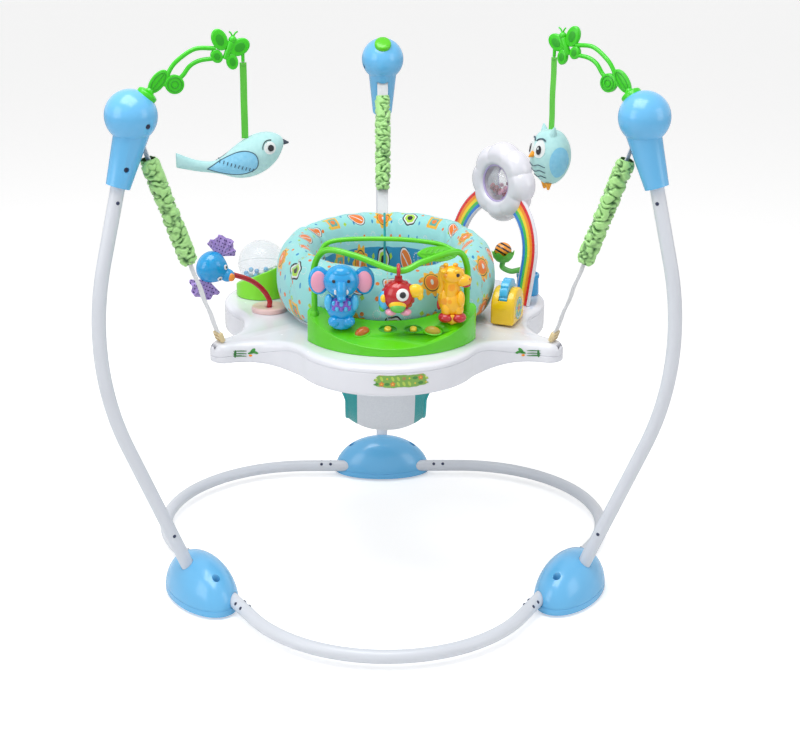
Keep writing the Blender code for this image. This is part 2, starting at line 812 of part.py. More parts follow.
def tray_outline(inset):
    # One third of the outline: ear tip, neck and lobe arcs that meet tangentially
    tip = Vector((EAR_REACH - EAR_R, 0.0))
    lobe = Vector((LOBE_OFFSET * math.cos(math.radians(60)), LOBE_OFFSET * math.sin(math.radians(60))))
    apart = (lobe - tip).length
    to_tip = EAR_R + NECK_R
    to_lobe = LOBE_R + NECK_R
    along = (to_tip ** 2 - to_lobe ** 2 + apart ** 2) / (2 * apart)
    up = math.sqrt(to_tip ** 2 - along ** 2)
    unit = (lobe - tip) / apart
    neck = tip + unit * along + Vector((unit.y, -unit.x)) * up
    tip_end = math.degrees(math.atan2(neck.y - tip.y, neck.x - tip.x))
    neck_start = tip_end - 180.0
    neck_end = math.degrees(math.atan2(lobe.y - neck.y, lobe.x - neck.x)) - 360.0
    lobe_start = math.degrees(math.atan2(neck.y - lobe.y, neck.x - lobe.x))
    points = arc(tip, EAR_R - inset, -tip_end, tip_end, 4)
    points += arc(neck, NECK_R + inset, neck_start, neck_end, 3)[1:]
    points += arc(lobe, LOBE_R - inset, lobe_start, 120.0 - lobe_start, 8)[1:]
    mirrored = arc(neck, NECK_R + inset, neck_end, neck_start, 3)[1:-1]
    for x, y in mirrored:
        angle = math.radians(60)
        flip = Vector((x * math.cos(-angle) - y * math.sin(-angle), x * math.sin(-angle) + y * math.cos(-angle)))
        points.append((flip.x * math.cos(angle) + flip.y * math.sin(angle),
                       flip.x * math.sin(angle) - flip.y * math.cos(angle)))
    whole = []
    for azimuth in LEG_AZ.values():
        turn = math.radians(azimuth)
        for x, y in points:
            whole.append((x * math.cos(turn) - y * math.sin(turn), x * math.sin(turn) + y * math.cos(turn)))
    return sorted(whole, key=lambda point: math.atan2(point[1], point[0]))


def ear_share(x, y):
    # 1 on an ear's axis, falling smoothly to 0 beside it
    azimuth = math.degrees(math.atan2(y, x))
    away = min(abs((azimuth - leg + 180.0) % 360.0 - 180.0) for leg in LEG_AZ.values())
    share = max(0.0, 1.0 - away / EAR_HALF_AZ)
    return share * share * (3 - 2 * share)


def tray_ring(inset, z_lobe, z_ear):
    return [Vector((x, y, z_lobe + (z_ear - z_lobe) * ear_share(x, y))) for x, y in tray_outline(inset)]


def hole_ring(radius, z):
    ring = []
    for x, y in tray_outline(0.0):
        reach = radius / math.hypot(x, y)
        ring.append(Vector((x * reach, y * reach, z)))
    return ring


def tray_top():
    wall = TRAY_WALL
    rings = [
        hole_ring(SEAT_HOLE_R, TRAY_TOP_Z),
        tray_ring(TRAY_EDGE, TRAY_TOP_Z, EAR_TOP_Z + 0.001),
        tray_ring(TRAY_EDGE * 0.35, TRAY_TOP_Z - 0.0022, EAR_TOP_Z - 0.0025),
        tray_ring(TRAY_EDGE * 0.08, TRAY_TOP_Z - 0.0062, EAR_TOP_Z - 0.0085),
        tray_ring(0.0, TRAY_SEAM_Z, EAR_SEAM_Z),
        tray_ring(wall, TRAY_SEAM_Z, EAR_SEAM_Z),
        tray_ring(TRAY_EDGE * 0.08 + wall, TRAY_TOP_Z - 0.0075, EAR_TOP_Z - 0.0105),
        tray_ring(TRAY_EDGE * 0.35 + wall, TRAY_TOP_Z - wall - 0.0018, EAR_TOP_Z - wall - 0.0022),
        tray_ring(TRAY_EDGE + wall, TRAY_TOP_Z - wall, EAR_TOP_Z + 0.001 - wall),
        hole_ring(SEAT_HOLE_R, TRAY_TOP_Z - wall),
    ]
    body = skin("tray_top", rings, "tray_white", closed=True)
    slots = []
    for azimuth in LEG_AZ.values():
        place = frame_of(leg_point(azimuth, tongue_radius(), EAR_TOP_Z), heading(azimuth + 90.0), (0, 0, 1))
        slots.append(block("tongue_slot", (TONGUE_WIDE + 2 * SEAT_GAP, TONGUE_THICK + 2 * SEAT_GAP, 0.03), place, None))
    return cut(body, *slots)


def tray_base():
    wall = TRAY_WALL
    seam = TRAY_SEAM_Z - SEAT_GAP
    ear_seam = EAR_SEAM_Z - SEAT_GAP
    floor = TRAY_LIP_Z + 0.012
    ear_floor = EAR_LIP_Z + 0.002
    rings = [
        tray_ring(0.0, seam, ear_seam),
        tray_ring(0.0, TRAY_LIP_Z + 0.004, EAR_LIP_Z + 0.002),
        tray_ring(0.003, TRAY_LIP_Z, EAR_LIP_Z),
        tray_ring(0.006, TRAY_LIP_Z, EAR_LIP_Z),
        tray_ring(0.008, floor, ear_floor),
        hole_ring(BASE_INNER_R, floor),
        hole_ring(BASE_INNER_R, TRAY_TOP_Z - wall - BASE_WALL_DROP),
        hole_ring(BASE_INNER_R + wall, TRAY_TOP_Z - wall - BASE_WALL_DROP),
        hole_ring(BASE_INNER_R + wall, floor + wall),
        tray_ring(0.008, floor + wall, ear_floor + wall),
        tray_ring(wall, seam, ear_seam),
    ]
    return skin("tray_base", rings, "tray_white", closed=True)


# Seat

def ring_top():
    return TRAY_TOP_Z + SEAT_GAP + RING_FLANGE_TALL


def seat_ring():
    # Turning ring that grips the edge of the tray's hole between a flange and a lip
    under = TRAY_TOP_Z - TRAY_WALL - SEAT_GAP
    over = TRAY_TOP_Z + SEAT_GAP
    profile = [(RING_BORE_R, ring_top()), (RING_FLANGE_R, ring_top()), (RING_FLANGE_R, over), (RING_NECK_R, over),
               (RING_NECK_R, under), (RING_LIP_R, under), (RING_LIP_R - 0.001, under - RING_LIP_TALL),
               (RING_BORE_R, under - RING_LIP_TALL)]
    return lathe("seat_ring", profile, "tray_white", steps=SEAT_STEPS, closed=True)


def collar_section(azimuth):
    # Padded roll: narrow where it sits on the ring, fat above, drawn in at its seams
    base = ring_top() + SEAT_GAP
    back = 0.5 + 0.5 * math.sin(math.radians(azimuth))
    top = COLLAR_FRONT_Z + (COLLAR_BACK_Z - COLLAR_FRONT_Z) * back
    tall = top - base
    seam = COLLAR_SEAM_DEEP if round(azimuth) % 60 == 30 else 0.0
    wide = COLLAR_R - seam
    shape = [(RING_FLANGE_R - 0.004, 0.0), (wide - 0.008, 0.13), (wide, 0.36), (wide - 0.001, 0.62), (wide - 0.012, 0.86),
             (wide - 0.032, 1.0 - seam * 8), (COLLAR_INNER_R + 0.014, 0.93), (COLLAR_INNER_R + 0.002, 0.70),
             (COLLAR_INNER_R, 0.40), (COLLAR_INNER_R + 0.008, 0.12), (COLLAR_INNER_R + 0.018, 0.0)]
    return [polar(radius, azimuth, base + share * tall) for radius, share in shape]


def seat_collar():
    sections = [collar_section(azimuth) for azimuth in range(0, 360, 10)]
    return skin("seat_collar", sections, "pad_aqua", closed=True)


def seat_sling():
    # Cloth bucket with two leg holes, hung from the inside of the seat ring
    top_z = ring_top()
    rim = RING_BORE_R - SEAT_GAP
    drop = top_z - SLING_BOTTOM_Z
    outer = []
    inner = []
    for reach, down, in_share, up_share in SLING_PROFILE:
        radius, height = rim * reach, top_z - drop * down
        outer.append((radius, height))
        inner.append((radius - SLING_THICK * in_share, height + SLING_THICK * up_share))
    inner.reverse()
    body = lathe("seat_sling", outer + inner, "sling_grey", steps=SEAT_STEPS, closed=True)
    holes = []
    for way in (-1, 1):
        holes.append(rod("leg_hole", (way * CROTCH_WIDE / 2, 0, LEG_HOLE_Z), (way * 0.16, 0, LEG_HOLE_Z),
                         LEG_HOLE_R, None, sides=16))
    return cut(body, *holes)


# Console, its lenses, buttons and arch

def deck_z(y):
    return DECK_FRONT_Z + (y - (CONSOLE_Y - CONSOLE_R)) * math.tan(math.radians(DECK_TILT))


def deck_normal():
    tilt = math.radians(DECK_TILT)
    return Vector((0.0, -math.sin(tilt), math.cos(tilt)))


def deck_point(x, y, lift=0.0):
    return Vector((x, y, deck_z(y))) + deck_normal() * lift


def deck_frame(x, y, lift=0.0, spin=0.0):
    flat = frame_of(deck_point(x, y, lift), (1, 0, 0), deck_normal())
    return flat @ Matrix.Rotation(math.radians(spin), 4, "Z")


def console_outline():
    # Crescent between the console's own circle and the seat, with round horns
    reach = math.hypot(CONSOLE_X, CONSOLE_Y)
    lean = math.degrees(math.atan2(CONSOLE_Y, CONSOLE_X))
    horn = 0.009
    to_outer = CONSOLE_R - horn
    to_seat = CONSOLE_INNER_R + horn
    along = (to_seat ** 2 - to_outer ** 2 + reach ** 2) / (2 * reach)
    spread = math.degrees(math.acos(along / to_seat))
    right = polar(to_seat, lean + spread)
    left = polar(to_seat, lean - spread)
    right_out = math.degrees(math.atan2(right.y - CONSOLE_Y, right.x - CONSOLE_X))
    left_out = math.degrees(math.atan2(left.y - CONSOLE_Y, left.x - CONSOLE_X))
    outer = arc((CONSOLE_X, CONSOLE_Y), CONSOLE_R, left_out, right_out, 15)
    right_seat = lean + spread + 180.0
    horn_right = arc(right, horn, right_out, right_seat, 3)
    inner = arc((0, 0), CONSOLE_INNER_R, lean + spread, lean - spread, 9)
    left_seat = lean - spread + 180.0
    horn_left = arc(left, horn, left_seat, left_out + 360.0, 3)
    return outer + horn_right[1:] + inner[1:] + horn_left[1:-1]


def console_base():
    low = TRAY_TOP_Z + SEAT_GAP
    place = Matrix.Translation((0, 0, low + CONSOLE_TALL / 2))
    body = plate("console_base", console_outline(), CONSOLE_TALL, place, "lime")
    above = deck_frame(0.0, CONSOLE_Y - CONSOLE_R, 0.1)
    cut(body, block("above_deck", (0.6, 0.6, 0.2), above, None))
    body = soften(bake(body), 0.0025)
    cutters = []
    for x in BUTTON_X:
        well = deck_frame(x, BUTTON_Y, 0.01 - RECESS_DEEP)
        cutters.append(plate("recess", ellipse((0, 0), RECESS_HALF, 0, 12), 0.02, well, "lime"))
        bottom = deck_point(x, BUTTON_Y, BUTTON_OUT - BUTTON_TALL - BUTTON_TRAVEL - SEAT_GAP)
        cutters.append(rod("button_hole", bottom, deck_point(x, BUTTON_Y, 0.01), BUTTON_R + RUN_GAP, None, sides=10))
    for x, y, spin in LENS_PLACES:
        turn = deck_frame(x, y, 0, spin).to_3x3()
        seat = [size + SEAT_GAP for size in LENS_HALF]
        cutters.append(ball("lens_seat", deck_point(x, y), seat, None, 10, 6, turn))
    for x, y in (ELEPHANT_AT, GIRAFFE_AT):
        hole = Vector((x, y, deck_z(y)))
        cutters.append(rod("spigot_hole", hole - Vector((0, 0, SPIGOT_DEEP + RUN_GAP)), hole + Vector((0, 0, 0.02)),
                           SPIGOT_R + RUN_GAP, None, sides=8))
    for way in (-1, 1):
        hole = Vector((CONSOLE_X + way * ARCH_HALF, ARCH_Y, deck_z(ARCH_Y)))
        cutters.append(rod("arch_hole", hole - Vector((0, 0, ARCH_FOOT_DEEP + SEAT_GAP)), hole + Vector((0, 0, 0.02)),
                           ARCH_R + SEAT_GAP, None, sides=8))
    return smooth(bake(cut(body, *cutters)))


def console_lenses():
    for name, (x, y, spin) in zip(("lens_orange", "lens_amber"), LENS_PLACES):
        ball(name, deck_point(x, y), LENS_HALF, name, 10, 6, deck_frame(x, y, 0, spin).to_3x3())


def button(name, x):
    low = BUTTON_OUT - BUTTON_TALL
    profile = [(0.0, BUTTON_OUT), (BUTTON_R * 0.6, BUTTON_OUT - 0.0005), (BUTTON_R, BUTTON_OUT - 0.0022),
               (BUTTON_R, low), (0.0, low)]
    made = lathe(name, profile, "button_yellow", deck_frame(x, BUTTON_Y), 10)
    return move_origin(made, deck_point(x, BUTTON_Y))


def console_arch():
    low = deck_z(ARCH_Y) - ARCH_FOOT_DEEP
    left = CONSOLE_X - ARCH_HALF
    right = CONSOLE_X + ARCH_HALF
    front_points = [(left, ARCH_Y, low), (left, ARCH_Y, 0.530), (left + 0.001, ARCH_Y - 0.001, 0.573),
                    (left + 0.020, ARCH_Y - 0.010, ARCH_TOP_Z), (left + 0.065, ARCH_Y - 0.030, ARCH_TOP_Z - 0.004),
                    ARCH_LOW, (right - 0.070, ARCH_Y - 0.032, ARCH_TOP_Z - 0.012),
                    (right - 0.018, ARCH_Y - 0.008, ARCH_TOP_Z - 0.003), (right - 0.001, ARCH_Y - 0.001, 0.573),
                    (right, ARCH_Y, 0.530), (right, ARCH_Y, low)]
    front = tube("front_rail", smooth_path(front_points, 2), ARCH_R, "lime", 2)
    rear_points = [(left + 0.006, ARCH_Y, 0.588), (left + 0.030, ARCH_Y + 0.004, ARCH_REAR_Z - 0.003),
                   (CONSOLE_X, ARCH_Y + 0.006, ARCH_REAR_Z), (right - 0.050, ARCH_Y + 0.002, ARCH_REAR_Z - 0.006),
                   (right - 0.020, ARCH_Y - 0.006, ARCH_TOP_Z - 0.002)]
    rear = tube("rear_rail", smooth_path(rear_points, 2), ARCH_RAIL_R, "lime", 1)
    leaf_middle = Vector((right - 0.048, ARCH_Y - 0.018, ARCH_TOP_Z - 0.004))
    rise = Vector((0.0, 0.42, 0.90))
    place = frame_of(leaf_middle, (0.93, 0.35, -0.10), Vector((0.93, 0.35, -0.10)).cross(rise))
    outline = []
    for step in range(12):
        angle = 2 * math.pi * step / 12
        taper = 1.0 - 0.25 * abs(math.cos(angle)) ** 3
        outline.append((LEAF_HALF[0] * math.cos(angle), LEAF_HALF[1] * math.sin(angle) * taper))
    leaf = plate("leaf", outline, LEAF_THICK, place, "lime")
    return fuse("console_arch", [front, rear, leaf])


# Figures behind the console's buttons

def elephant():
    x, y = ELEPHANT_AT
    deck = deck_z(y)
    pieces = [
        ball("body", (x, y, deck + 0.030), (0.0225, 0.0185, 0.0240), "elephant_blue", 10, 6),
        ball("head", (x, y - 0.003, deck + 0.076), (0.0305, 0.0210, 0.0270), "elephant_blue", 12, 8),
        ball("ear_left", (x - 0.034, y + 0.002, deck + 0.076), (0.0150, 0.0055, 0.0220), "elephant_blue", 10, 4),
        ball("ear_right", (x + 0.034, y + 0.002, deck + 0.076), (0.0150, 0.0055, 0.0220), "elephant_blue", 10, 4),
        rod("trunk", (x, y - 0.018, deck + 0.072), (x, y - 0.029, deck + 0.046), 0.0085, "elephant_blue", 0.0060, 6),
        rod("feet", (x, y, deck + 0.0095), (x, y, deck + 0.020), 0.0165, "elephant_blue", 0.0150, 10),
        rod("spigot", (x, y, deck - SPIGOT_DEEP), (x, y, deck + 0.012), SPIGOT_R, "elephant_blue", sides=6),
    ]
    return move_origin(fuse("elephant", pieces), (x, y, deck))


def giraffe():
    x, y = GIRAFFE_AT
    deck = deck_z(y)
    pieces = [
        ball("hooves", (x, y, deck + 0.0145), (0.0180, 0.0130, 0.0075), "giraffe_yellow", 10, 4),
        ball("body", (x, y, deck + 0.033), (0.0160, 0.0130, 0.0210), "giraffe_yellow", 10, 6),
        rod("neck", (x, y, deck + 0.040), (x - 0.003, y, deck + 0.072), 0.0115, "giraffe_yellow", 0.0100, 8),
        ball("head", (x - 0.002, y, deck + 0.074), (0.0180, 0.0130, 0.0150), "giraffe_yellow", 10, 6),
        ball("muzzle", (x + 0.013, y - 0.003, deck + 0.066), (0.0115, 0.0100, 0.0090), "giraffe_yellow", 8, 6),
        rod("horn_left", (x - 0.010, y, deck + 0.080), (x - 0.012, y, deck + 0.095), 0.0035, "giraffe_yellow", 0.0028, 6),
        rod("horn_right", (x + 0.002, y, deck + 0.080), (x + 0.003, y, deck + 0.096), 0.0035, "giraffe_yellow", 0.0028, 6),
        ball("arm", (x + 0.012, y - 0.008, deck + 0.038), (0.0055, 0.0070, 0.0110), "giraffe_yellow", 8, 4),
        rod("spigot", (x, y, deck - SPIGOT_DEEP), (x, y, deck + 0.012), SPIGOT_R, "giraffe_yellow", sides=6),
    ]
    return move_origin(fuse("giraffe", pieces), (x, y, deck))


def parrot():
    x, y, z = ARCH_LOW
    ring_r = ARCH_R + 0.0036
    ring_bar = 0.0024
    ring = [(x, y + ring_r * math.cos(math.radians(40 * step - 70)), z + ring_r * math.sin(math.radians(40 * step - 70)))
            for step in range(9)]
    collar = tube("ring", ring, ring_bar, "parrot_red", 1)
    pieces = [
        ball("body", (x, y, z - 0.040), (0.0240, 0.0190, 0.0240), "parrot_red", 12, 8),
        block("strap", (0.0085, 0.0044, 0.0184), Matrix.Translation((x, y, z - 0.0153)), "parrot_red"),
        collar,
        ball("beak", (x + 0.024, y - 0.002, z - 0.030), (0.0115, 0.0085, 0.0125), "parrot_red", 8, 6),
        ball("wing", (x - 0.019, y + 0.003, z - 0.048), (0.0090, 0.0060, 0.0150), "parrot_red", 8, 4),
        ball("foot_left", (x - 0.010, y - 0.004, z - 0.064), (0.0075, 0.0075, 0.0055), "parrot_red", 6, 4),
        ball("foot_right", (x + 0.010, y - 0.004, z - 0.064), (0.0075, 0.0075, 0.0055), "parrot_red", 6, 4),
    ]
    return move_origin(fuse("parrot", pieces), ARCH_LOW)


# Stalk toy

def stalk_cup():
    low = TRAY_TOP_Z + SEAT_GAP
    well = STALK_R + RUN_GAP
    profile = [(well, low + CUP_TALL - 0.004), (CUP_R * 0.85, low + CUP_TALL), (CUP_R, low + CUP_TALL - 0.0015),
               (CUP_R, low), (0.0, low), (0.0, low + CUP_FLOOR), (well, low + CUP_FLOOR)]
    place = Matrix.Translation((*STALK_AT, 0.0))
    return lathe("stalk_cup", profile, "parrot_red", place, 16, closed=True)


def stalk_pivot():
    return (*STALK_AT, TRAY_TOP_Z + SEAT_GAP + CUP_FLOOR + RUN_GAP + STALK_R)


def stalk_points():
    x, y, z = stalk_pivot()
    return [(x, y, z), (x, y, z + 0.0110), (x - 0.012, y - 0.007, z + 0.0330),
            (x - 0.034, y - 0.020, z + 0.0530), (x - 0.078, y - 0.044, z + 0.0730)]


def stalk():
    x, y, z = stalk_pivot()
    path = smooth_path(stalk_points(), 2)
    points = [Vector((x, y, z - STALK_R * down)) for down, share in STALK_FOOT] + path
    radii = [share for down, share in STALK_FOOT] + [1.0] * len(path)
    made = tube("stalk", points, STALK_R, "parrot_red", 2, radii)
    return move_origin(made, stalk_pivot())


def bug():
    face = heading(300.0)
    along = Vector((0.74, 0.0, -0.40)).normalized()
    turn = frame_of(BUG_AT, along, along.cross(face).cross(along)).to_3x3()
    out = heading(0.0) * math.cos(math.radians(WING_RISE)) + Vector((0, 0, math.sin(math.radians(WING_RISE))))
    out = (out - face * out.dot(face)).normalized()
    place = frame_of(BUG_AT, out, face)
    slot = block("wing_slot", (0.1, WING_BAR + 2 * SEAT_GAP, WING_THICK + 2 * SEAT_GAP), place, None)
    shell = ball("shell", BUG_AT, (0.0270, 0.0230, 0.0200), "elephant_blue", 12, 8, turn)
    nose = ball("nose", Vector(BUG_AT) + along * 0.026, (0.0110, 0.0110, 0.0100), "elephant_blue", 8, 6)
    body = fuse("bug_body", [bake(cut(shell, slot)), nose])
    tip = Vector(stalk_points()[-1])
    before = Vector(smooth_path(stalk_points(), 2)[-2])
    way = (tip - before).normalized()
    hole = rod("stalk_hole", tip - way * 0.030, tip + way * SEAT_GAP, STALK_R + SEAT_GAP, None)
    move_origin(bake(cut(body, hole)), stalk_pivot())
    outline = []
    inner_end = WING_OUT - 0.001
    for way in (1, -1):
        outline.append((way * inner_end, -way * WING_BAR / 2))
        for step in range(11):
            spread = math.radians(-75.0 + 15.0 * step)
            reach = WING_R + WING_SCALLOP * abs(math.sin(3.6 * spread))
            outline.append((way * (WING_OUT + reach * math.cos(spread)), way * reach * math.sin(spread)))
        outline.append((way * inner_end, way * WING_BAR / 2))
    wings = plate("bug_wings", outline, WING_THICK, place, "wing_purple")
    return move_origin(wings, stalk_pivot())


# Bead dome

def shell_ball(name, centre, radius, wall, material_name, hole_way, segments=14, rings=8, both=False):
    # Hollow ball with an axle hole at one end, or at both
    outer = ball(name, centre, (radius,) * 3, material_name, segments, rings)
    inner = ball("hollow", centre, (radius - wall,) * 3, None, segments, rings)
    way = Vector(hole_way).normalized()
    start = Vector(centre) + way * (-(radius + 0.01) if both else 0.0)
    axle = rod("axle_hole", start, Vector(centre) + way * (radius + 0.01), AXLE_R + RUN_GAP, None)
    return smooth(bake(cut(outer, inner, axle)))


def bead_dome():
    dome = shell_ball("bead_dome", DOME_AT, DOME_R, DOME_WALL, "clear_plastic", (0, 0, -1), DOME_SIDES, 8)
    move_origin(dome, DOME_AT)
    low = math.radians(DOME_BEADS_DOWN)
    reach = DOME_R - DOME_WALL - DOME_BEAD_R - BEAD_ROOM
    ring_r = reach * math.cos(low)
    centre = Vector(DOME_AT) - Vector((0, 0, reach * math.sin(low)))
    bar = DOME_BEAD_R * 0.45
    profile = [(ring_r, bar), (ring_r + bar, 0.0), (ring_r, -bar), (ring_r - bar, 0.0)]
    beads = [lathe("dome_beads", profile, "bead_blue", Matrix.Translation(centre), 12, closed=True)]
    for index in range(DOME_BEADS):
        spot = centre + polar(ring_r, 360.0 * index / DOME_BEADS + 4.0)
        beads.append(ball("bead", spot, (DOME_BEAD_R,) * 3, "bead_blue", 7, 4))
    return move_origin(fuse("dome_beads", beads), DOME_AT)


def dome_base():
    x, y, z = DOME_AT
    low = TRAY_TOP_Z + SEAT_GAP
    outward = Vector((x, y, 0)).normalized()
    body = rod("dome_base", (x, y, low), (x, y, low + 0.08), DOME_BASE_R, "lime", sides=20)
    middle = Vector((x, y, (DOME_BASE_HIGH + DOME_BASE_LOW) / 2))
    slope = outward * 2 * DOME_BASE_R + Vector((0, 0, DOME_BASE_HIGH - DOME_BASE_LOW))
    side = Vector((0, 0, 1)).cross(outward)
    normal = slope.cross(side).normalized()
    normal = normal if normal.z > 0 else -normal
    above = frame_of(middle + normal * 0.1, slope, normal)
    seat_r = (DOME_R + RUN_GAP) / math.cos(math.pi / DOME_SIDES)
    seat = ball("dome_seat", DOME_AT, (seat_r, seat_r, DOME_R + RUN_GAP), None, DOME_SIDES, 8)
    cut(body, block("above", (0.4, 0.4, 0.2), above, None), seat)
    pin_top = z - DOME_R + DOME_WALL + 0.004
    pin = rod("dome_pin", (x, y, low + 0.004), (x, y, pin_top), AXLE_R, "lime", sides=6)
    return fuse("dome_base", [bake(body), pin])


# Clicker

def clicker_frame():
    # X along the wheel's travel, Y up, Z along the axle
    centre = polar(CLICKER_R, CLICKER_AZ, TRAY_TOP_Z + SEAT_GAP)
    axle = heading(CLICKER_AXLE_AZ)
    return frame_of(centre, axle.cross(Vector((0, 0, -1))), axle)


def clicker():
    place = clicker_frame()
    half = CLICKER_LONG / 2
    outline = [(-half, 0.0), (half, 0.0)] + arc((0, CLICKER_TALL - half * 0.86), half, -8, 188, 10)
    body = plate("clicker_body", outline, CLICKER_THICK, place, "button_yellow")
    wheel_at = place @ Vector((0, WHEEL_UP, 0))
    axle = heading(CLICKER_AXLE_AZ)
    reach = WHEEL_THICK / 2 + RUN_GAP
    pocket = rod("wheel_pocket", wheel_at - axle * reach, wheel_at + axle * reach, WHEEL_R + 0.0012, None, sides=20)
    bore_half = CLICKER_THICK / 2 - 0.004
    bore = rod("axle_bore", wheel_at - axle * (bore_half + RUN_GAP), wheel_at + axle * (bore_half + RUN_GAP),
               AXLE_R + RUN_GAP, None)
    smooth(bake(cut(soften(body, 0.003), pocket, bore)))
    outline = []
    for step in range(WHEEL_NOTCHES * 3):
        depth = 0.0022 if step % 3 == 0 else 0.0
        outline.append(Vector(arc((0, 0), WHEEL_R - depth, 0, 360, WHEEL_NOTCHES * 3)[step]))
    wheel_place = place @ Matrix.Translation((0, WHEEL_UP, 0))
    disc = plate("disc", outline, WHEEL_THICK, wheel_place, "elephant_blue")
    pin = rod("axle", wheel_at - axle * bore_half, wheel_at + axle * bore_half, AXLE_R, "elephant_blue", sides=8)
    return move_origin(fuse("clicker_wheel", [disc, pin]), wheel_at)


# Flower

def flower():
    x, y = POT_AT
    low = TRAY_TOP_Z + SEAT_GAP
    pot = lathe("pot", [(0.0, low + POT_TALL), (POT_R * 0.75, low + POT_TALL), (POT_R, low + POT_TALL - 0.006),
                        (POT_R * 1.05, low), (0.0, low)], "elephant_blue", Matrix.Translation((x, y, 0)), 14)
    fx, fy, fz = FLOWER_AT
    stem_points = smooth_path([(x, y, low + 0.030), (x - 0.010, y - 0.003, low + 0.044),
                               (fx + 0.016, fy + 0.004, fz - 0.018), (fx, fy, fz - 0.010), (fx, fy, fz - 0.001)], 2)
    stem = tube("stem", stem_points, 0.0050, "elephant_blue", 1)
    pin = rod("spindle", (fx, fy, fz - 0.004), (fx, fy, fz + 0.010), AXLE_R, "elephant_blue", sides=8)
    fuse("flower_base", [pot, stem, pin])
    cup = lathe("cup", [(0.0, fz + 0.016), (FLOWER_R * 0.80, fz + 0.016), (FLOWER_R, fz + 0.019),
                        (FLOWER_R * 0.85, fz + 0.008), (FLOWER_R * 0.40, fz), (0.0, fz)], "lime",
                Matrix.Translation((fx, fy, 0)), 12)
    bud = ball("bud", (fx, fy, fz + 0.021), (BALL_R, BALL_R, BALL_R * 0.95), "giraffe_yellow", 12, 8)
    made = fuse("flower_spinner", [cup, bud])
    hole = rod("spindle_hole", (fx, fy, fz - 0.01), (fx, fy, fz + 0.010 + RUN_GAP), AXLE_R + RUN_GAP, None)
    return move_origin(bake(cut(made, hole)), FLOWER_AT)


# Rainbow, cloud and rattle

def rainbow_frame():
    # X along the arch's span, Y up the leaning arch, Z toward the seat
    outward = heading(RAINBOW_AZ)
    lean = math.radians(RAINBOW_LEAN)
    rise = Vector((0, 0, 1)) * math.cos(lean) + outward * math.sin(lean)
    span = heading(RAINBOW_AZ + 90.0)
    origin = polar(RAINBOW_MID_R, RAINBOW_AZ, TRAY_TOP_Z)
    return frame_of(origin, span, span.cross(rise))


def cloud_centre():
    rise = (CLOUD_Z - TRAY_TOP_Z) * math.tan(math.radians(RAINBOW_LEAN))
    return polar(RAINBOW_MID_R + rise, RAINBOW_AZ, CLOUD_Z)


def cloud_rings():
    # Loops of the scalloped ring, round its section from the window to the rim and back
    axis = heading(CLOUD_AZ)
    place = frame_of(cloud_centre(), Vector((0, 0, 1)).cross(axis), axis)
    half = CLOUD_THICK / 2
    count = CLOUD_LOBES * 3
    section = [(0.0, -half * 0.62), (0.30, -half * 0.92), (0.62, -half * 0.90), (0.92, -half * 0.50), (1.0, 0.0),
               (0.92, half * 0.50), (0.62, half * 0.90), (0.30, half * 0.92), (0.0, half * 0.62)]
    rings = []
    for share, depth in section:
        ring = []
        for step in range(count):
            angle = 2 * math.pi * step / count
            scallop = CLOUD_LOBE_DEEP * abs(math.cos(CLOUD_LOBES * angle / 2))
            rim = CLOUD_R - CLOUD_LOBE_DEEP + scallop
            radius = WINDOW_R + (rim - WINDOW_R) * share
            ring.append(place @ Vector((radius * math.cos(angle), radius * math.sin(angle), depth)))
        rings.append(ring)
    return rings


def rainbow():
    # Leaning arch with a cloud-shaped ring moulded at its crown
    place = rainbow_frame()
    crown = (RAINBOW_CROWN_Z - TRAY_TOP_Z) / math.cos(math.radians(RAINBOW_LEAN))
    arch_z = crown - RAINBOW_SPAN
    outer = RAINBOW_SPAN + RAINBOW_BAND / 2
    inner = RAINBOW_SPAN - RAINBOW_BAND / 2
    outline = [(-outer, -0.02), (-inner, -0.02)] + arc((0, arch_z), inner, 180, 0, 12)
    outline += [(inner, -0.02), (outer, -0.02)] + arc((0, arch_z), outer, 0, 180, 12)
    arch = plate("arch", outline, RAINBOW_THICK, place, "cloud_white")
    under = block("under", (0.6, 0.6, 0.1), Matrix.Translation((0.2, 0.1, TRAY_TOP_Z + SEAT_GAP - 0.05)), None)
    centre = cloud_centre()
    axis = heading(CLOUD_AZ)
    window = rod("window", centre - axis * CLOUD_THICK, centre + axis * CLOUD_THICK, WINDOW_R + 0.004, None, sides=12)
    legs = bake(cut(arch, under, window))
    ring = skin("ring", cloud_rings(), "cloud_white", closed=True)
    pins = []
    for way in (-1, 1):
        inner_end = centre + Vector((0, 0, way * (RATTLE_R - RATTLE_WALL - 0.003)))
        pins.append(rod("rattle_pin", inner_end, centre + Vector((0, 0, way * (WINDOW_R + 0.006))), AXLE_R * 0.8,
                        "cloud_white", sides=8))
    return fuse("rainbow_arch", [ring, legs, *pins])


def rattle():
    centre = cloud_centre()
    shell = shell_ball("rattle_ball", centre, RATTLE_R, RATTLE_WALL, "clear_plastic", (0, 0, 1), 12, 7, both=True)
    move_origin(shell, centre)
    reach = RATTLE_R - RATTLE_WALL - RATTLE_BEAD_R - BEAD_ROOM
    beads = []
    for index in range(RATTLE_BEADS):
        down = math.radians(RATTLE_BEADS_DOWN)
        spot = centre + polar(reach * math.cos(down), CLOUD_AZ + RATTLE_BEAD_STEP * (index - 2), -reach * math.sin(down))
        beads.append(ball("bead", spot, (RATTLE_BEAD_R,) * 3, "bead_mix", 6, 4))
    return move_origin(fuse("rattle_beads", beads), centre)


# Toy arms, ribbons and hanging toys

def arm_frame(side):
    # X along the arm, Y up, at the head's centre
    way = heading(ARM_AZ[side])
    return frame_of(leg_point(LEG_AZ[side], *HEAD_AT), way, way.cross(Vector((0, 0, 1))))


def arm_point(side, along, up, across=0.0):
    return arm_frame(side) @ Vector((along, up, across))


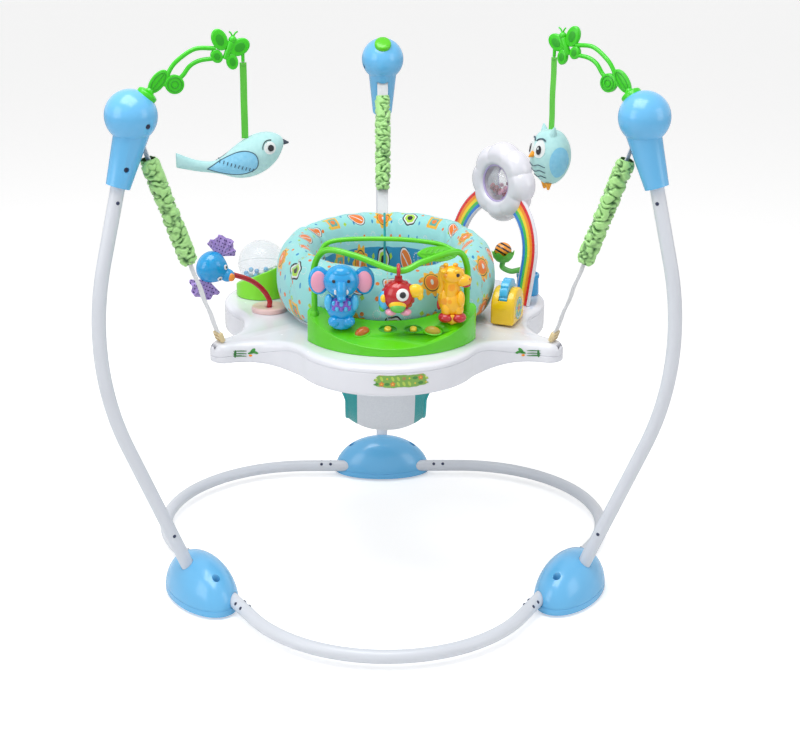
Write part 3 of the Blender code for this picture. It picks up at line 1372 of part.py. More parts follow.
def toy_arm(side):
    place = arm_frame(side)
    way = plug_direction(side)
    middle = leg_point(LEG_AZ[side], *HEAD_AT)
    plug = rod("plug", middle + way * (HEAD_R - PLUG_DEEP), middle + way * (HEAD_R + PLUG_OUT), PLUG_R, "lime",
               PLUG_R * 0.72, 12)
    leaf = plate("leaf", ellipse((0.0420, 0.0490), (0.0205, 0.0105), 50, 10), ARM_PLATE, place, "lime")
    disc = plate("disc", arc((0.0661, 0.0442), 0.0143, 0, 324, 9), ARM_PLATE * 1.3, place, "lime")
    upper = smooth_path([(0.0540, 0.0500), (0.0600, 0.0650), (0.0727, 0.0795), (0.0983, 0.0948), (0.1290, 0.0950)], 2)
    lower = smooth_path([(0.0735, 0.0520), (0.0800, 0.0580), (0.0900, 0.0703), (0.1051, 0.0779), (0.1290, 0.0805)], 2)
    rails = [tube("rail", [place @ point.to_3d() for point in run], ARM_RAIL_R, "lime", 1) for run in (upper, lower)]
    wings = []
    for centre, half, tilt in (((0.1350, 0.1075), (0.0165, 0.0118), 112), ((0.1645, 0.0960), (0.0165, 0.0122), 30),
                               ((0.1300, 0.0835), (0.0105, 0.0090), 120), ((0.1530, 0.0750), (0.0120, 0.0090), 100)):
        turn = place.to_3x3() @ Matrix.Rotation(math.radians(tilt), 3, "Z")
        wings.append(ball("wing", place @ Vector((*centre, 0)), (half[0], half[1], 0.0050), "lime", 10, 6, turn))
    body = rod("body", place @ Vector((0.1430, 0.0800, 0)), place @ Vector((0.1530, 0.1040, 0)), 0.0046, "lime", 0.0052, 6)
    hook_z = ARM_HOOK[1]
    hook = rod("hook", place @ Vector((ARM_HOOK[0], hook_z + 0.0160, 0)), place @ Vector((ARM_HOOK[0], hook_z, 0)),
               HOOK_R, "lime", sides=6)
    return fuse("toy_arm_" + side, [plug, leaf, disc, *rails, *wings, body, hook])


def ribbon(side):
    top = ARM_HOOK[1] - RIBBON_HANG
    long = RIBBON_LONG + SEAT_GAP - RIBBON_HANG
    place = arm_frame(side) @ Matrix.Translation((ARM_HOOK[0], top - long / 2, 0.0))
    made = block("ribbon_" + side, (RIBBON_WIDE, long, RIBBON_THICK), place, "ribbon_green")
    return move_origin(made, arm_point(side, *ARM_HOOK))


def bird():
    # Stuffed bird side-on to the arm: breast and head to the front, tail drawn out and up
    top = ARM_HOOK[1] - SEAT_GAP - RIBBON_LONG - SEAT_GAP
    place = arm_frame("left") @ Matrix.Translation((ARM_HOOK[0], top, 0.0))
    stations = [(-0.107, -0.0260, 0.0085, 0.0070), (-0.090, -0.0330, 0.0110, 0.0090), (-0.066, -0.0400, 0.0120, 0.0110),
                (-0.040, -0.0420, 0.0175, 0.0160), (-0.012, -0.0340, 0.0285, 0.0240), (0.014, -0.0230, 0.0350, 0.0270),
                (0.036, -0.0120, 0.0325, 0.0250), (0.054, -0.0030, 0.0225, 0.0185), (0.063, 0.0015, 0.0080, 0.0070)]
    rings = []
    sides = 12
    for along, up, tall, deep in stations:
        ring = []
        for step in range(sides):
            angle = 2 * math.pi * step / sides
            ring.append(place @ Vector((along, up + tall * math.sin(angle), deep * math.cos(angle))))
        rings.append(ring)
    body = skin("body", rings, "plush_mint")
    beak = rod("beak", place @ Vector((0.060, 0.000, 0)), place @ Vector((0.073, -0.001, 0)), 0.0060, "plush_mint",
               0.0015, 8)
    made = fuse("bird", [body, beak])
    cut(made, block("ribbon_room", (RIBBON_WIDE + 2 * SEAT_GAP, 0.03, RIBBON_THICK + 2 * SEAT_GAP),
                    place @ Matrix.Translation((0, 0.015 - SEAT_GAP, 0)), None))
    return move_origin(bake(made), arm_point("left", *ARM_HOOK))


def owl():
    # Stuffed owl, egg-shaped with two ear tufts and small feet
    top = ARM_HOOK[1] - SEAT_GAP - RIBBON_LONG - SEAT_GAP
    place = arm_frame("right") @ Matrix.Translation((ARM_HOOK[0], top, 0.0))
    turn = place.to_3x3()
    pieces = [
        ball("body", place @ Vector((0.0, TOY_OVER_RIBBON - 0.0440, 0.0)), (0.0340, 0.0440, 0.0290), "plush_mint", 12, 8, turn),
    ]
    for across in (-1, 1):
        pieces.append(rod("tuft", place @ Vector((0.010, -0.012, across * 0.013)),
                          place @ Vector((0.014, 0.008, across * 0.019)), 0.0095, "plush_mint", 0.0015, 6))
        pieces.append(ball("foot", place @ Vector((0.004, -0.086, across * 0.008)), (0.0070, 0.0055, 0.0060),
                           "plush_mint", 6, 4, turn))
    made = fuse("owl", pieces)
    cut(made, block("ribbon_room", (RIBBON_WIDE + 2 * SEAT_GAP, 0.03, RIBBON_THICK + 2 * SEAT_GAP),
                    place @ Matrix.Translation((0, 0.015 - SEAT_GAP, 0)), None))
    return move_origin(bake(made), arm_point("right", *ARM_HOOK))


# Assembly

def frame_reach():
    # How far the tubes reach to the back and to the front of the seat axis
    rear = max(radius for radius, _ in upright_profile()) + TUBE_R
    front = BASE_ARC_OFFSET + BASE_ARC_R + TUBE_R
    return rear, front


def build():
    make_palette()
    base_tubes()
    uprights()
    for side in LEG_AZ:
        foot(side)
        head(side)
        spring(side)
        sleeve(side)
        strap(side)
        strap_clip(side)
    head_cap()
    tray_top()
    tray_base()
    seat_ring()
    seat_collar()
    seat_sling()
    console_base()
    console_lenses()
    button("button_left", BUTTON_X[0])
    button("button_right", BUTTON_X[1])
    console_arch()
    elephant()
    giraffe()
    parrot()
    stalk_cup()
    stalk()
    bug()
    bead_dome()
    dome_base()
    clicker()
    flower()
    rainbow()
    rattle()
    for side in ARM_AZ:
        toy_arm(side)
        ribbon(side)
    bird()
    owl()
    rear, front = frame_reach()
    axis = bpy.data.objects.new("seat_axis", None)
    bpy.context.scene.collection.objects.link(axis)
    axis.location = (0.0, -(rear - front) / 2, 0.0)
    for obj in [*PARTS.objects, *CUTTERS.objects]:
        obj.parent = axis
    bpy.context.view_layer.update()


build()
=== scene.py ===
import math

import bmesh
import bpy
from mathutils import Matrix, Vector, noise


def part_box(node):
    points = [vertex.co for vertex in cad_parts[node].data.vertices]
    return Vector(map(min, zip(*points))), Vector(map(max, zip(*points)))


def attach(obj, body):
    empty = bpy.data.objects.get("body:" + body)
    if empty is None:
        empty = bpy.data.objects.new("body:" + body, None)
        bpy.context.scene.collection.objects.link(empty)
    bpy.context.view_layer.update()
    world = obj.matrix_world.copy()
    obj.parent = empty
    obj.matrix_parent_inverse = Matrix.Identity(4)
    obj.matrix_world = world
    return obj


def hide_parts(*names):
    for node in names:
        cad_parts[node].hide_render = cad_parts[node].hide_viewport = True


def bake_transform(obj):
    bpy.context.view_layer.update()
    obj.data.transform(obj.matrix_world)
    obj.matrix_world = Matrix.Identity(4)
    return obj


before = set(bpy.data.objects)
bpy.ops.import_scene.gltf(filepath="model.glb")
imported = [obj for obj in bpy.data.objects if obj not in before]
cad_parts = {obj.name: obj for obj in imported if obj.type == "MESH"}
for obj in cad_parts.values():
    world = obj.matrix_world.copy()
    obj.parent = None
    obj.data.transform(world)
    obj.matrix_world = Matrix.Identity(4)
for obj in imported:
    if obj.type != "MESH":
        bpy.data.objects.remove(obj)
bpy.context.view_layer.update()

# Places, in metres round the seat's upright axis, which stands a little in front of the origin
ring_low, ring_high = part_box("seat_ring")
AXIS_Y = (ring_low.y + ring_high.y) / 2
LEG_AZ = {"left": 210.0, "right": 330.0, "rear": 90.0}
LOBE_AZ = {"front": 270.0, "right": 30.0, "left": 150.0}
ARM_AZ = {"left": 14.0, "right": 137.0}
HEAD_AT = (0.440, 0.813)
HEAD_R = 0.0396
STRAP_FOOT = (0.305, 0.437)
FOOT_R = 0.357
TUBE_R = 0.011
TRAY_TOP = 0.4475
DECK_FRONT = 0.460
DECK_TILT = 22.0
CONSOLE = (0.005, -0.107)
CONSOLE_R = 0.1465
ARCH_Y = -0.172
ARCH_LOW = (0.016, -0.215, 0.575)
ELEPHANT_AT = (-0.072, -0.204)
GIRAFFE_AT = (0.101, -0.193)
STALK_AT = (-0.197, 0.000)
BUG_AT = (-0.285, -0.050, 0.535)
DOME_AT = (-0.215, 0.100, 0.503)
DOME_R = 0.042
POT_AT = (0.252, 0.100)
FLOWER_AT = (0.206, 0.090, 0.508)
RAINBOW_AZ = 33.5
RAINBOW_LEAN = 10.0
CLOUD_Z = 0.640
CLOUD_AZ = 218.0
HOOK_AT = (0.1692, 0.0739)


def at(x, y, z):
    return Vector((x, y + AXIS_Y, z))


def polar(radius, azimuth, z=0.0):
    angle = math.radians(azimuth)
    return at(radius * math.cos(angle), radius * math.sin(angle), z)


def heading(azimuth):
    angle = math.radians(azimuth)
    return Vector((math.cos(angle), math.sin(angle), 0.0))


def leg_point(azimuth, radius, z, along=0.0):
    return polar(radius, azimuth, z) + heading(azimuth + 90.0) * along


def frame_of(origin, x_axis, z_axis):
    x_axis = Vector(x_axis).normalized()
    z_axis = Vector(z_axis).normalized()
    turn = Matrix((x_axis, z_axis.cross(x_axis), z_axis)).transposed().to_4x4()
    return Matrix.Translation(origin) @ turn


def aimed(start, end):
    # Middle of a line, with Z along it
    turn = (Vector(end) - Vector(start)).to_track_quat("Z", "Y").to_matrix().to_4x4()
    return Matrix.Translation((Vector(start) + Vector(end)) / 2) @ turn


# Modelling helpers

def pick(obj):
    bpy.ops.object.select_all(action="DESELECT")
    obj.select_set(True)
    bpy.context.view_layer.objects.active = obj
    return obj


def settle(obj, place=None):
    # Put a new shape in its place and leave the object itself at the origin
    if place is not None:
        obj.matrix_world = place @ obj.matrix_world
    pick(obj)
    bpy.ops.object.transform_apply(location=True, rotation=True, scale=True)
    return obj


def named(name, finish=None):
    obj = bpy.context.object
    obj.name = name
    obj.data.name = name
    if finish is not None:
        obj.data.materials.clear()
        obj.data.materials.append(finish)
    return obj


def apply_all(obj):
    pick(obj)
    for modifier in list(obj.modifiers):
        bpy.ops.object.modifier_apply(modifier=modifier.name)
    return obj


def rounded(obj, width, segments=3, angle=35.0):
    bevel = obj.modifiers.new("round", "BEVEL")
    bevel.width = width
    bevel.segments = segments
    bevel.limit_method = "ANGLE"
    bevel.angle_limit = math.radians(angle)
    return apply_all(obj)


def swollen(obj, levels=2):
    smooth = obj.modifiers.new("swell", "SUBSURF")
    smooth.levels = levels
    smooth.render_levels = levels
    return apply_all(obj)


def carved(obj, *cutters, operation="DIFFERENCE"):
    for cutter in cutters:
        cut = obj.modifiers.new("carve", "BOOLEAN")
        cut.operation = operation
        cut.solver = "EXACT"
        cut.object = cutter
        apply_all(obj)
        bpy.data.objects.remove(cutter, do_unlink=True)
    return obj


def shaded(obj, angle=40.0):
    pick(obj)
    bpy.ops.object.shade_smooth_by_angle(angle=math.radians(angle))
    return obj


def outward(obj):
    pick(obj)
    bpy.ops.object.mode_set(mode="EDIT")
    bpy.ops.mesh.select_all(action="SELECT")
    bpy.ops.mesh.remove_doubles(threshold=0.00001)
    bpy.ops.mesh.normals_make_consistent(inside=False)
    bpy.ops.object.mode_set(mode="OBJECT")
    return obj


def ball(name, centre, radii, finish, turn=None, segments=32, rings=16):
    bpy.ops.mesh.primitive_uv_sphere_add(segments=segments, ring_count=rings, radius=1.0)
    obj = named(name, finish)
    spot = Matrix.Translation(centre)
    if turn is not None:
        spot = spot @ turn.to_4x4()
    settle(obj, spot @ Matrix.Diagonal((*radii, 1.0)))
    return shaded(obj, 60)


def rod(name, start, end, radius, finish, end_radius=None, sides=32, soft=0.0):
    length = (Vector(end) - Vector(start)).length
    bpy.ops.mesh.primitive_cone_add(vertices=sides, radius1=radius, depth=length,
                                    radius2=radius if end_radius is None else end_radius)
    obj = settle(named(name, finish), aimed(start, end))
    if soft:
        rounded(obj, soft)
    return shaded(obj)


def block(name, size, place, finish, soft=0.0):
    bpy.ops.mesh.primitive_cube_add(size=1.0)
    obj = settle(named(name, finish), place @ Matrix.Diagonal((*size, 1.0)))
    if soft:
        rounded(obj, soft)
    return shaded(obj)


def turned(name, profile, place, finish, sides=40):
    # Turned shape, drawn ring by ring from a disc; (radius, height) points
    radius, height = profile[0]
    bpy.ops.mesh.primitive_circle_add(vertices=sides, radius=radius, fill_type="NGON", location=(0, 0, height))
    obj = named(name, finish)
    settle(obj)
    bpy.ops.object.mode_set(mode="EDIT")
    bpy.ops.mesh.select_all(action="SELECT")
    for new_radius, new_height in profile[1:]:
        bpy.ops.mesh.extrude_region_move(TRANSFORM_OT_translate={"value": (0, 0, new_height - height)})
        bpy.ops.transform.resize(value=(new_radius / radius, new_radius / radius, 1), center_override=(0, 0, 0))
        radius, height = new_radius, new_height
    bpy.ops.mesh.select_all(action="SELECT")
    bpy.ops.mesh.normals_make_consistent(inside=False)
    bpy.ops.object.mode_set(mode="OBJECT")
    return shaded(settle(obj, place))


def run_of(name, points, radius, finish, sides=5, closed=False, radii=None):
    # Round bar along a smooth line
    line = bpy.data.curves.new(name, "CURVE")
    line.dimensions = "3D"
    line.bevel_depth = radius
    line.bevel_resolution = sides
    line.use_fill_caps = True
    spline = line.splines.new("POLY")
    spline.points.add(len(points) - 1)
    spline.use_cyclic_u = closed
    for index, point in enumerate(points):
        spline.points[index].co = (*point, 1.0)
        if radii:
            spline.points[index].radius = radii[index]
    obj = bpy.data.objects.new(name, line)
    bpy.context.scene.collection.objects.link(obj)
    pick(obj)
    bpy.ops.object.convert(target="MESH")
    obj = named(name, finish)
    return shaded(outward(obj), 50)


def slab(name, outline, thickness, place, finish, soft=0.0, segments=3):
    # Flat outline made a plate, half its thickness to each side
    bpy.ops.mesh.primitive_circle_add(vertices=len(outline), radius=1.0, fill_type="NGON")
    obj = named(name, finish)
    for vertex, (x, y) in zip(obj.data.vertices, outline):
        vertex.co = (x, y, -thickness / 2)
    pick(obj)
    bpy.ops.object.mode_set(mode="EDIT")
    bpy.ops.mesh.select_all(action="SELECT")
    bpy.ops.mesh.extrude_region_move(TRANSFORM_OT_translate={"value": (0, 0, thickness)})
    bpy.ops.mesh.select_all(action="SELECT")
    bpy.ops.mesh.normals_make_consistent(inside=False)
    bpy.ops.object.mode_set(mode="OBJECT")
    if soft:
        rounded(obj, soft, segments)
    return shaded(settle(obj, place))


def skin(name, rings, finish, closed=False, loop=True):
    # Sheet or tube through rows of points
    mesh = bpy.data.meshes.new(name)
    count = len(rings[0])
    points = [tuple(point) for ring in rings for point in ring]
    faces = []
    rows = len(rings)
    for row in range(rows if closed else rows - 1):
        after = (row + 1) % rows
        for step in range(count if loop else count - 1):
            following = (step + 1) % count
            faces.append((row * count + step, row * count + following,
                          after * count + following, after * count + step))
    mesh.from_pydata(points, [], faces)
    obj = bpy.data.objects.new(name, mesh)
    bpy.context.scene.collection.objects.link(obj)
    pick(obj)
    named(name, finish)
    return obj


def map_cloth(obj, around, across, wide, tall):
    # UV map in metres over a grid of rows and steps, for the weave and prints
    layer = obj.data.uv_layers.new(name="cloth")
    for polygon in obj.data.polygons:
        corners = [obj.data.loops[index].vertex_index for index in polygon.loop_indices]
        rows = [corner // around for corner in corners]
        steps = [corner % around for corner in corners]
        if max(steps) - min(steps) > around / 2:
            steps = [step + around if step == 0 else step for step in steps]
        if max(rows) - min(rows) > across / 2:
            rows = [row + across if row == 0 else row for row in rows]
        for index, row, step in zip(polygon.loop_indices, rows, steps):
            layer.data[index].uv = (wide * step / around, tall * row / across)
    return obj


def joined(name, *parts):
    bpy.ops.object.select_all(action="DESELECT")
    for part in parts:
        part.select_set(True)
    bpy.context.view_layer.objects.active = parts[0]
    bpy.ops.object.join()
    return named(name)


def copy_of(obj, name, place):
    made = obj.copy()
    made.data = obj.data.copy()
    bpy.context.scene.collection.objects.link(made)
    made.name = name
    return settle(made, place)


def fit(piece, body, slot, *nodes):
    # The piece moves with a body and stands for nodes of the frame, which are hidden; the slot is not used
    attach(piece, body)
    if nodes:
        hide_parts(*nodes)
    return piece


def smooth_path(points, steps):
    points = [Vector(point) for point in points]
    ends = [2 * points[0] - points[1]] + points + [2 * points[-1] - points[-2]]
    path = []
    for index in range(1, len(ends) - 2):
        before, first, second, after = ends[index - 1:index + 3]
        for step in range(steps):
            t = step / steps
            path.append(0.5 * (2 * first + (second - before) * t
                               + (2 * before - 5 * first + 4 * second - after) * t * t
                               + (3 * first - before - 3 * second + after) * t ** 3))
    path.append(points[-1])
    return path


def arc(centre, radius, start, end, steps):
    return [(centre[0] + radius * math.cos(math.radians(start + (end - start) * index / steps)),
             centre[1] + radius * math.sin(math.radians(start + (end - start) * index / steps)))
            for index in range(steps + 1)]


def oval(centre, half, tilt, steps):
    points = []
    lean = math.radians(tilt)
    for index in range(steps):
        angle = 2 * math.pi * index / steps
        x, y = half[0] * math.cos(angle), half[1] * math.sin(angle)
        points.append((centre[0] + x * math.cos(lean) - y * math.sin(lean),
                       centre[1] + x * math.sin(lean) + y * math.cos(lean)))
    return points


# Finishes

class Finish:
    """Node material with a few shorthands for its sums."""

    def __init__(self, name, roughness=0.4, metallic=0.0):
        self.material = bpy.data.materials.new(name)
        self.material.use_nodes = True
        self.tree = self.material.node_tree
        self.shader = self.tree.nodes["Principled BSDF"]
        self.shader.inputs["Roughness"].default_value = roughness
        self.shader.inputs["Metallic"].default_value = metallic
        self.coords = self.tree.nodes.new("ShaderNodeTexCoord")

    def put(self, socket, value):
        if isinstance(value, bpy.types.NodeSocket):
            self.tree.links.new(value, socket)
        elif isinstance(value, (tuple, list)) and socket.type == "RGBA" and len(value) == 3:
            socket.default_value = (*value, 1.0)
        else:
            socket.default_value = value

    def sum(self, kind, *values):
        node = self.tree.nodes.new("ShaderNodeMath")
        node.operation = kind
        for socket, value in zip(node.inputs, values):
            self.put(socket, value)
        return node.outputs[0]

    def vector(self, kind, *values):
        node = self.tree.nodes.new("ShaderNodeVectorMath")
        node.operation = kind
        for socket, value in zip(node.inputs, values):
            self.put(socket, value)
        return node.outputs["Value"] if kind in ("LENGTH", "DOT_PRODUCT") else node.outputs["Vector"]

    def noise(self, scale, detail=2.0, vector=None):
        node = self.tree.nodes.new("ShaderNodeTexNoise")
        node.inputs["Scale"].default_value = scale
        node.inputs["Detail"].default_value = detail
        self.put(node.inputs["Vector"], vector or self.coords.outputs["Object"])
        return node.outputs["Fac"]

    def mix(self, share, first, second):
        node = self.tree.nodes.new("ShaderNodeMix")
        node.data_type = "RGBA"
        self.put(node.inputs[0], share)
        self.put(node.inputs[6], first)
        self.put(node.inputs[7], second)
        return node.outputs[2]

    def under(self, value, limit):
        return self.sum("LESS_THAN", value, limit)

    def colour(self, value):
        self.put(self.shader.inputs["Base Color"], value)
        return self

    def bump(self, height, strength=0.2, depth=0.0005):
        node = self.tree.nodes.new("ShaderNodeBump")
        node.inputs["Strength"].default_value = strength
        node.inputs["Distance"].default_value = depth
        self.put(node.inputs["Height"], height)
        self.tree.links.new(node.outputs["Normal"], self.shader.inputs["Normal"])
        return self


def moulded(name, colour, roughness=0.28, coat=0.15, grain=700.0, worn=0.06):
    # Glossy moulded plastic with a faint orange-peel skin and slightly uneven colour
    made = Finish(name, roughness)
    darker = tuple(channel * (1 - worn) for channel in colour)
    made.colour(made.mix(made.noise(14.0), darker, colour))
    made.shader.inputs["Coat Weight"].default_value = coat
    rough = made.sum("MULTIPLY_ADD", made.noise(60.0), 0.10, roughness - 0.05)
    made.put(made.shader.inputs["Roughness"], rough)
    made.bump(made.noise(grain), 0.06, 0.0003)
    return made.material


def woven(name, colour, other, pitch=0.0009, roughness=0.85, coords="Object"):
    # Plain weave: crossing ribs, uneven yarn colour
    made = Finish(name, roughness)
    spot = made.coords.outputs[coords]
    split = made.tree.nodes.new("ShaderNodeSeparateXYZ")
    made.put(split.inputs[0], spot)
    warp = made.sum("SINE", made.sum("MULTIPLY", split.outputs[0], 2 * math.pi / pitch))
    weft = made.sum("SINE", made.sum("MULTIPLY", split.outputs[1 if coords == "UV" else 2], 2 * math.pi / pitch))
    rib = made.sum("MULTIPLY", warp, weft)
    made.colour(made.mix(made.noise(320.0, 3.0, spot), other, colour))
    made.shader.inputs["Sheen Weight"].default_value = 0.25
    made.bump(rib, 0.5, 0.0002)
    return made.material


PAINT = moulded("pale_grey_paint", (0.70, 0.73, 0.79), 0.32, 0.1, 1600.0)
BLUE = moulded("sky_blue_plastic", (0.14, 0.50, 0.86), 0.24, 0.3)
LIME = moulded("lime_plastic", (0.10, 0.62, 0.002), 0.25, 0.2)
VINE = moulded("vine_green_plastic", (0.035, 0.60, 0.002), 0.28, 0.2)
PALE_LIME = moulded("pale_lime_plastic", (0.22, 0.76, 0.020), 0.30, 0.2)
WHITE = moulded("white_plastic", (0.80, 0.81, 0.87), 0.25, 0.3)
CLOUD = moulded("cloud_plastic", (0.78, 0.77, 0.84), 0.22, 0.35)
TAN = moulded("tan_nylon", (0.72, 0.58, 0.33), 0.45, 0.0)
DARK = moulded("dark_screw", (0.02, 0.03, 0.08), 0.35, 0.0)
TOY_BLUE = moulded("toy_blue_plastic", (0.002, 0.34, 0.74), 0.20, 0.4)
PINK = moulded("ear_pink_plastic", (0.85, 0.36, 0.50), 0.35, 0.1)
RED = moulded("toy_red_plastic", (0.52, 0.005, 0.012), 0.18, 0.4)
CUP_PINK = moulded("cup_pink_plastic", (0.86, 0.60, 0.58), 0.30, 0.2)
YELLOW = moulded("toy_yellow_plastic", (0.98, 0.53, 0.01), 0.25, 0.3)
HOUSING = moulded("housing_yellow_plastic", (0.98, 0.62, 0.01), 0.25, 0.3)
BUTTON = moulded("button_yellow_plastic", (0.95, 0.75, 0.03), 0.25, 0.3)
# Darker green for the button recesses' floors and rims: painted shade in the recesses
RECESS_SHADE = moulded("recess_green_plastic", (0.05, 0.42, 0.03), 0.35, 0.1)
ORANGE = moulded("nose_orange_plastic", (0.95, 0.30, 0.02), 0.25, 0.3)
BLACK = moulded("black_print", (0.012, 0.012, 0.015), 0.35, 0.1)
EYE_WHITE = moulded("eye_white_print", (0.85, 0.85, 0.85), 0.25, 0.3)
wire = Finish("spring_wire", 0.30, 1.0)
wire.colour(wire.mix(wire.noise(400.0), (0.46, 0.47, 0.49), (0.60, 0.61, 0.63)))
STEEL = wire.bump(wire.noise(3000.0), 0.15, 0.0002).material
RUBBER = moulded("pad_rubber", (0.60, 0.50, 0.32), 0.75, 0.0)


def tinted(name, colour, roughness=0.08, through=0.75):
    # Clear or tinted plastic with faint flow marks
    made = Finish(name, roughness)
    made.colour(colour)
    made.shader.inputs["Transmission Weight"].default_value = through
    made.shader.inputs["IOR"].default_value = 1.46
    made.bump(made.noise(90.0), 0.05, 0.0004)
    return made.material


ORANGE_LENS = tinted("orange_lens", (0.95, 0.22, 0.03), 0.12, 0.45)
AMBER_LENS = tinted("amber_lens", (0.80, 0.55, 0.04), 0.12, 0.45)


def clear_shell(name):
    # Thin clear plastic, seen mostly by its gloss
    made = Finish(name, 0.06)
    made.colour((0.80, 0.86, 0.92))
    made.shader.inputs["Alpha"].default_value = 0.17
    made.shader.inputs["Coat Weight"].default_value = 0.6
    made.bump(made.noise(70.0), 0.04, 0.0004)
    return made.material


CLEAR = clear_shell("clear_plastic_shell")

SCREW = DARK
WEB = woven("strap_webbing", (0.82, 0.83, 0.85), (0.72, 0.74, 0.77), 0.0012)


def lofted(name, rings, finish, closed=False, fill=True):
    # Circle drawn out to an outline, then extruded ring by ring
    count = len(rings[0])
    bpy.ops.mesh.primitive_circle_add(vertices=count, radius=1.0, fill_type="NOTHING")
    obj = named(name, finish)
    for vertex, point in zip(obj.data.vertices, rings[0]):
        vertex.co = point
    pick(obj)
    for row in range(1, len(rings)):
        bpy.ops.object.mode_set(mode="EDIT")
        if row == 1:
            bpy.ops.mesh.select_all(action="SELECT")
        bpy.ops.mesh.extrude_edges_move()
        bpy.ops.object.mode_set(mode="OBJECT")
        old = {tuple(round(value, 7) for value in rings[row - 1][step]): step for step in range(count)}
        for vertex in obj.data.vertices[-count:]:
            vertex.co = rings[row][old[tuple(round(value, 7) for value in vertex.co)]]
    bpy.ops.object.mode_set(mode="EDIT")
    if closed:
        bpy.ops.mesh.select_all(action="DESELECT")
        bpy.ops.object.mode_set(mode="OBJECT")
        for vertex in [*obj.data.vertices[:count], *obj.data.vertices[-count:]]:
            vertex.select = True
        bpy.ops.object.mode_set(mode="EDIT")
        bpy.ops.mesh.select_mode(type="VERT")
        bpy.ops.mesh.bridge_edge_loops()
    elif fill:
        bpy.ops.mesh.select_all(action="SELECT")
        bpy.ops.mesh.fill_holes(sides=0)
    bpy.ops.mesh.select_all(action="SELECT")
    bpy.ops.mesh.normals_make_consistent(inside=False)
    bpy.ops.object.mode_set(mode="OBJECT")
    return shaded(obj)


def round_axis(azimuth):
    # Turn about the seat's axis, from the rear leg's direction
    spot = Matrix.Translation((0.0, AXIS_Y, 0.0))
    return spot @ Matrix.Rotation(math.radians(azimuth - LEG_AZ["rear"]), 4, "Z") @ spot.inverted()


def for_legs(make, body, slot, node=None):
    # One piece made at the rear leg and copied to the other two
    first = make("rear")
    for side in ("left", "right"):
        twin = copy_of(first, first.name.replace("rear", side), round_axis(LEG_AZ[side]))
        fit(twin, body, slot, *([node + side] if node else []))
    fit(first, body, slot, *([node + "rear"] if node else []))


# Base tubes, feet and uprights

def base_path(azimuth):
    path = []
    for side in (-1, 1):
        normal = azimuth + side * 60.0
        path.append(polar(0.335, normal, 0.022) + heading(normal - side * 90.0) * 0.040)
    middle = polar(0.174, azimuth, 0.022)
    bend = [middle + heading(azimuth - 60 + 120 * step / 40) * 0.248 for step in range(41)]
    return [path[0], *bend, path[1]]


def uprights_profile():
    foot, corner, head = Vector((0.3729, 0.045)), Vector((0.5334, 0.4406)), Vector(HEAD_AT)
    low, high = (corner - foot).normalized(), (head - corner).normalized()
    turn = low.angle(high)
    first = corner - low * (0.490 * math.tan(turn / 2))
    centre = first + Vector((-low.y, low.x)) * 0.490
    start = math.degrees(math.atan2(first.y - centre.y, first.x - centre.x))
    end = head - high * 0.050
    return low, high, [tuple(foot), *arc(centre, 0.490, start, start + math.degrees(turn), 32), tuple(end)]


LOW, HIGH, PROFILE = uprights_profile()

for lobe, lobe_az in LOBE_AZ.items():
    tube = run_of("base_tube_" + lobe + "_bar", base_path(lobe_az), TUBE_R, PAINT, 8)
    fit(tube, "frame", "tube_paint", "base_tube_" + lobe)

for_legs(lambda side: run_of("upright_" + side + "_bar", [leg_point(90.0, *spot) for spot in PROFILE], TUBE_R, PAINT, 8),
         "frame", "tube_paint", "upright_")


def snap_pin(spot, outward):
    return ball("pin", spot + outward * 0.0108, (0.0030, 0.0030, 0.0016), DARK,
                outward.to_track_quat("Z", "Y").to_matrix(), 16, 8)


def snap_pins(side):
    pins = []
    for way in (-1, 1):
        for along in (0.103, 0.121):
            for side_way in (90.0, 270.0):
                outward = (heading(side_way) + Vector((0, 0, 0.8))).normalized()
                pins.append(snap_pin(leg_point(90.0, 0.335, 0.022, way * along), outward))
        spot = Vector((0.3729, 0.045)) + LOW * 0.088
        pins.append(snap_pin(leg_point(90.0, spot.x, spot.y), heading(180.0) * way))
        spot = Vector(HEAD_AT) - HIGH * 0.130
        pins.append(snap_pin(leg_point(90.0, spot.x, spot.y), heading(180.0) * way))
    return joined("snap_pins_" + side, *pins)


for_legs(snap_pins, "frame", None)


def foot_shell(side):
    middle = leg_point(90.0, FOOT_R, 0.005)
    shell = ball("foot_" + side + "_shell", middle, (0.094, 0.052, 0.072), BLUE, segments=64, rings=32)
    below = block("below", (0.3, 0.3, 0.2), Matrix.Translation(middle - Vector((0, 0, 0.1))), None)
    cutters = [below]
    for way in (-1, 1):
        cutters.append(rod("bore", leg_point(90.0, 0.335, 0.022, way * 0.0397), leg_point(90.0, 0.335, 0.022, way * 0.12),
                           TUBE_R + 0.0004, None))
        floor = leg_point(90.0, FOOT_R, 0.046, way * 0.060)
        cutters.append(rod("recess", floor, floor + Vector((0, 0, 0.05)), 0.0062, None, 0.0066))
    start = Vector((0.3729, 0.045)) - LOW * 0.0003
    end = start + LOW * 0.08
    cutters.append(rod("bore", leg_point(90.0, *start), leg_point(90.0, *end), TUBE_R + 0.0004, None))
    carved(shell, *cutters)
    # Parting line of the two mouldings, as a thin groove round the shell
    groove = block("groove", (0.3, 0.3, 0.0007), Matrix.Translation(middle + Vector((0, 0, 0.010))), None)
    core = ball("core", middle, (0.0933, 0.0513, 0.0713), None, segments=64, rings=32)
    carved(groove, core)
    carved(shell, groove)
    return shaded(rounded(shell, 0.0009, 2, 50), 35)


for_legs(foot_shell, "frame", "sky_blue", "foot_")


def foot_pads(side):
    parts = []
    for way in (-1, 1):
        low = leg_point(90.0, FOOT_R, 0.0, way * 0.052)
        parts.append(rod("pad", low, low + Vector((0, 0, 0.007)), 0.009, RUBBER, soft=0.0012))
    return joined("foot_" + side + "_pads", *parts)


for_legs(foot_pads, "frame", "tan")


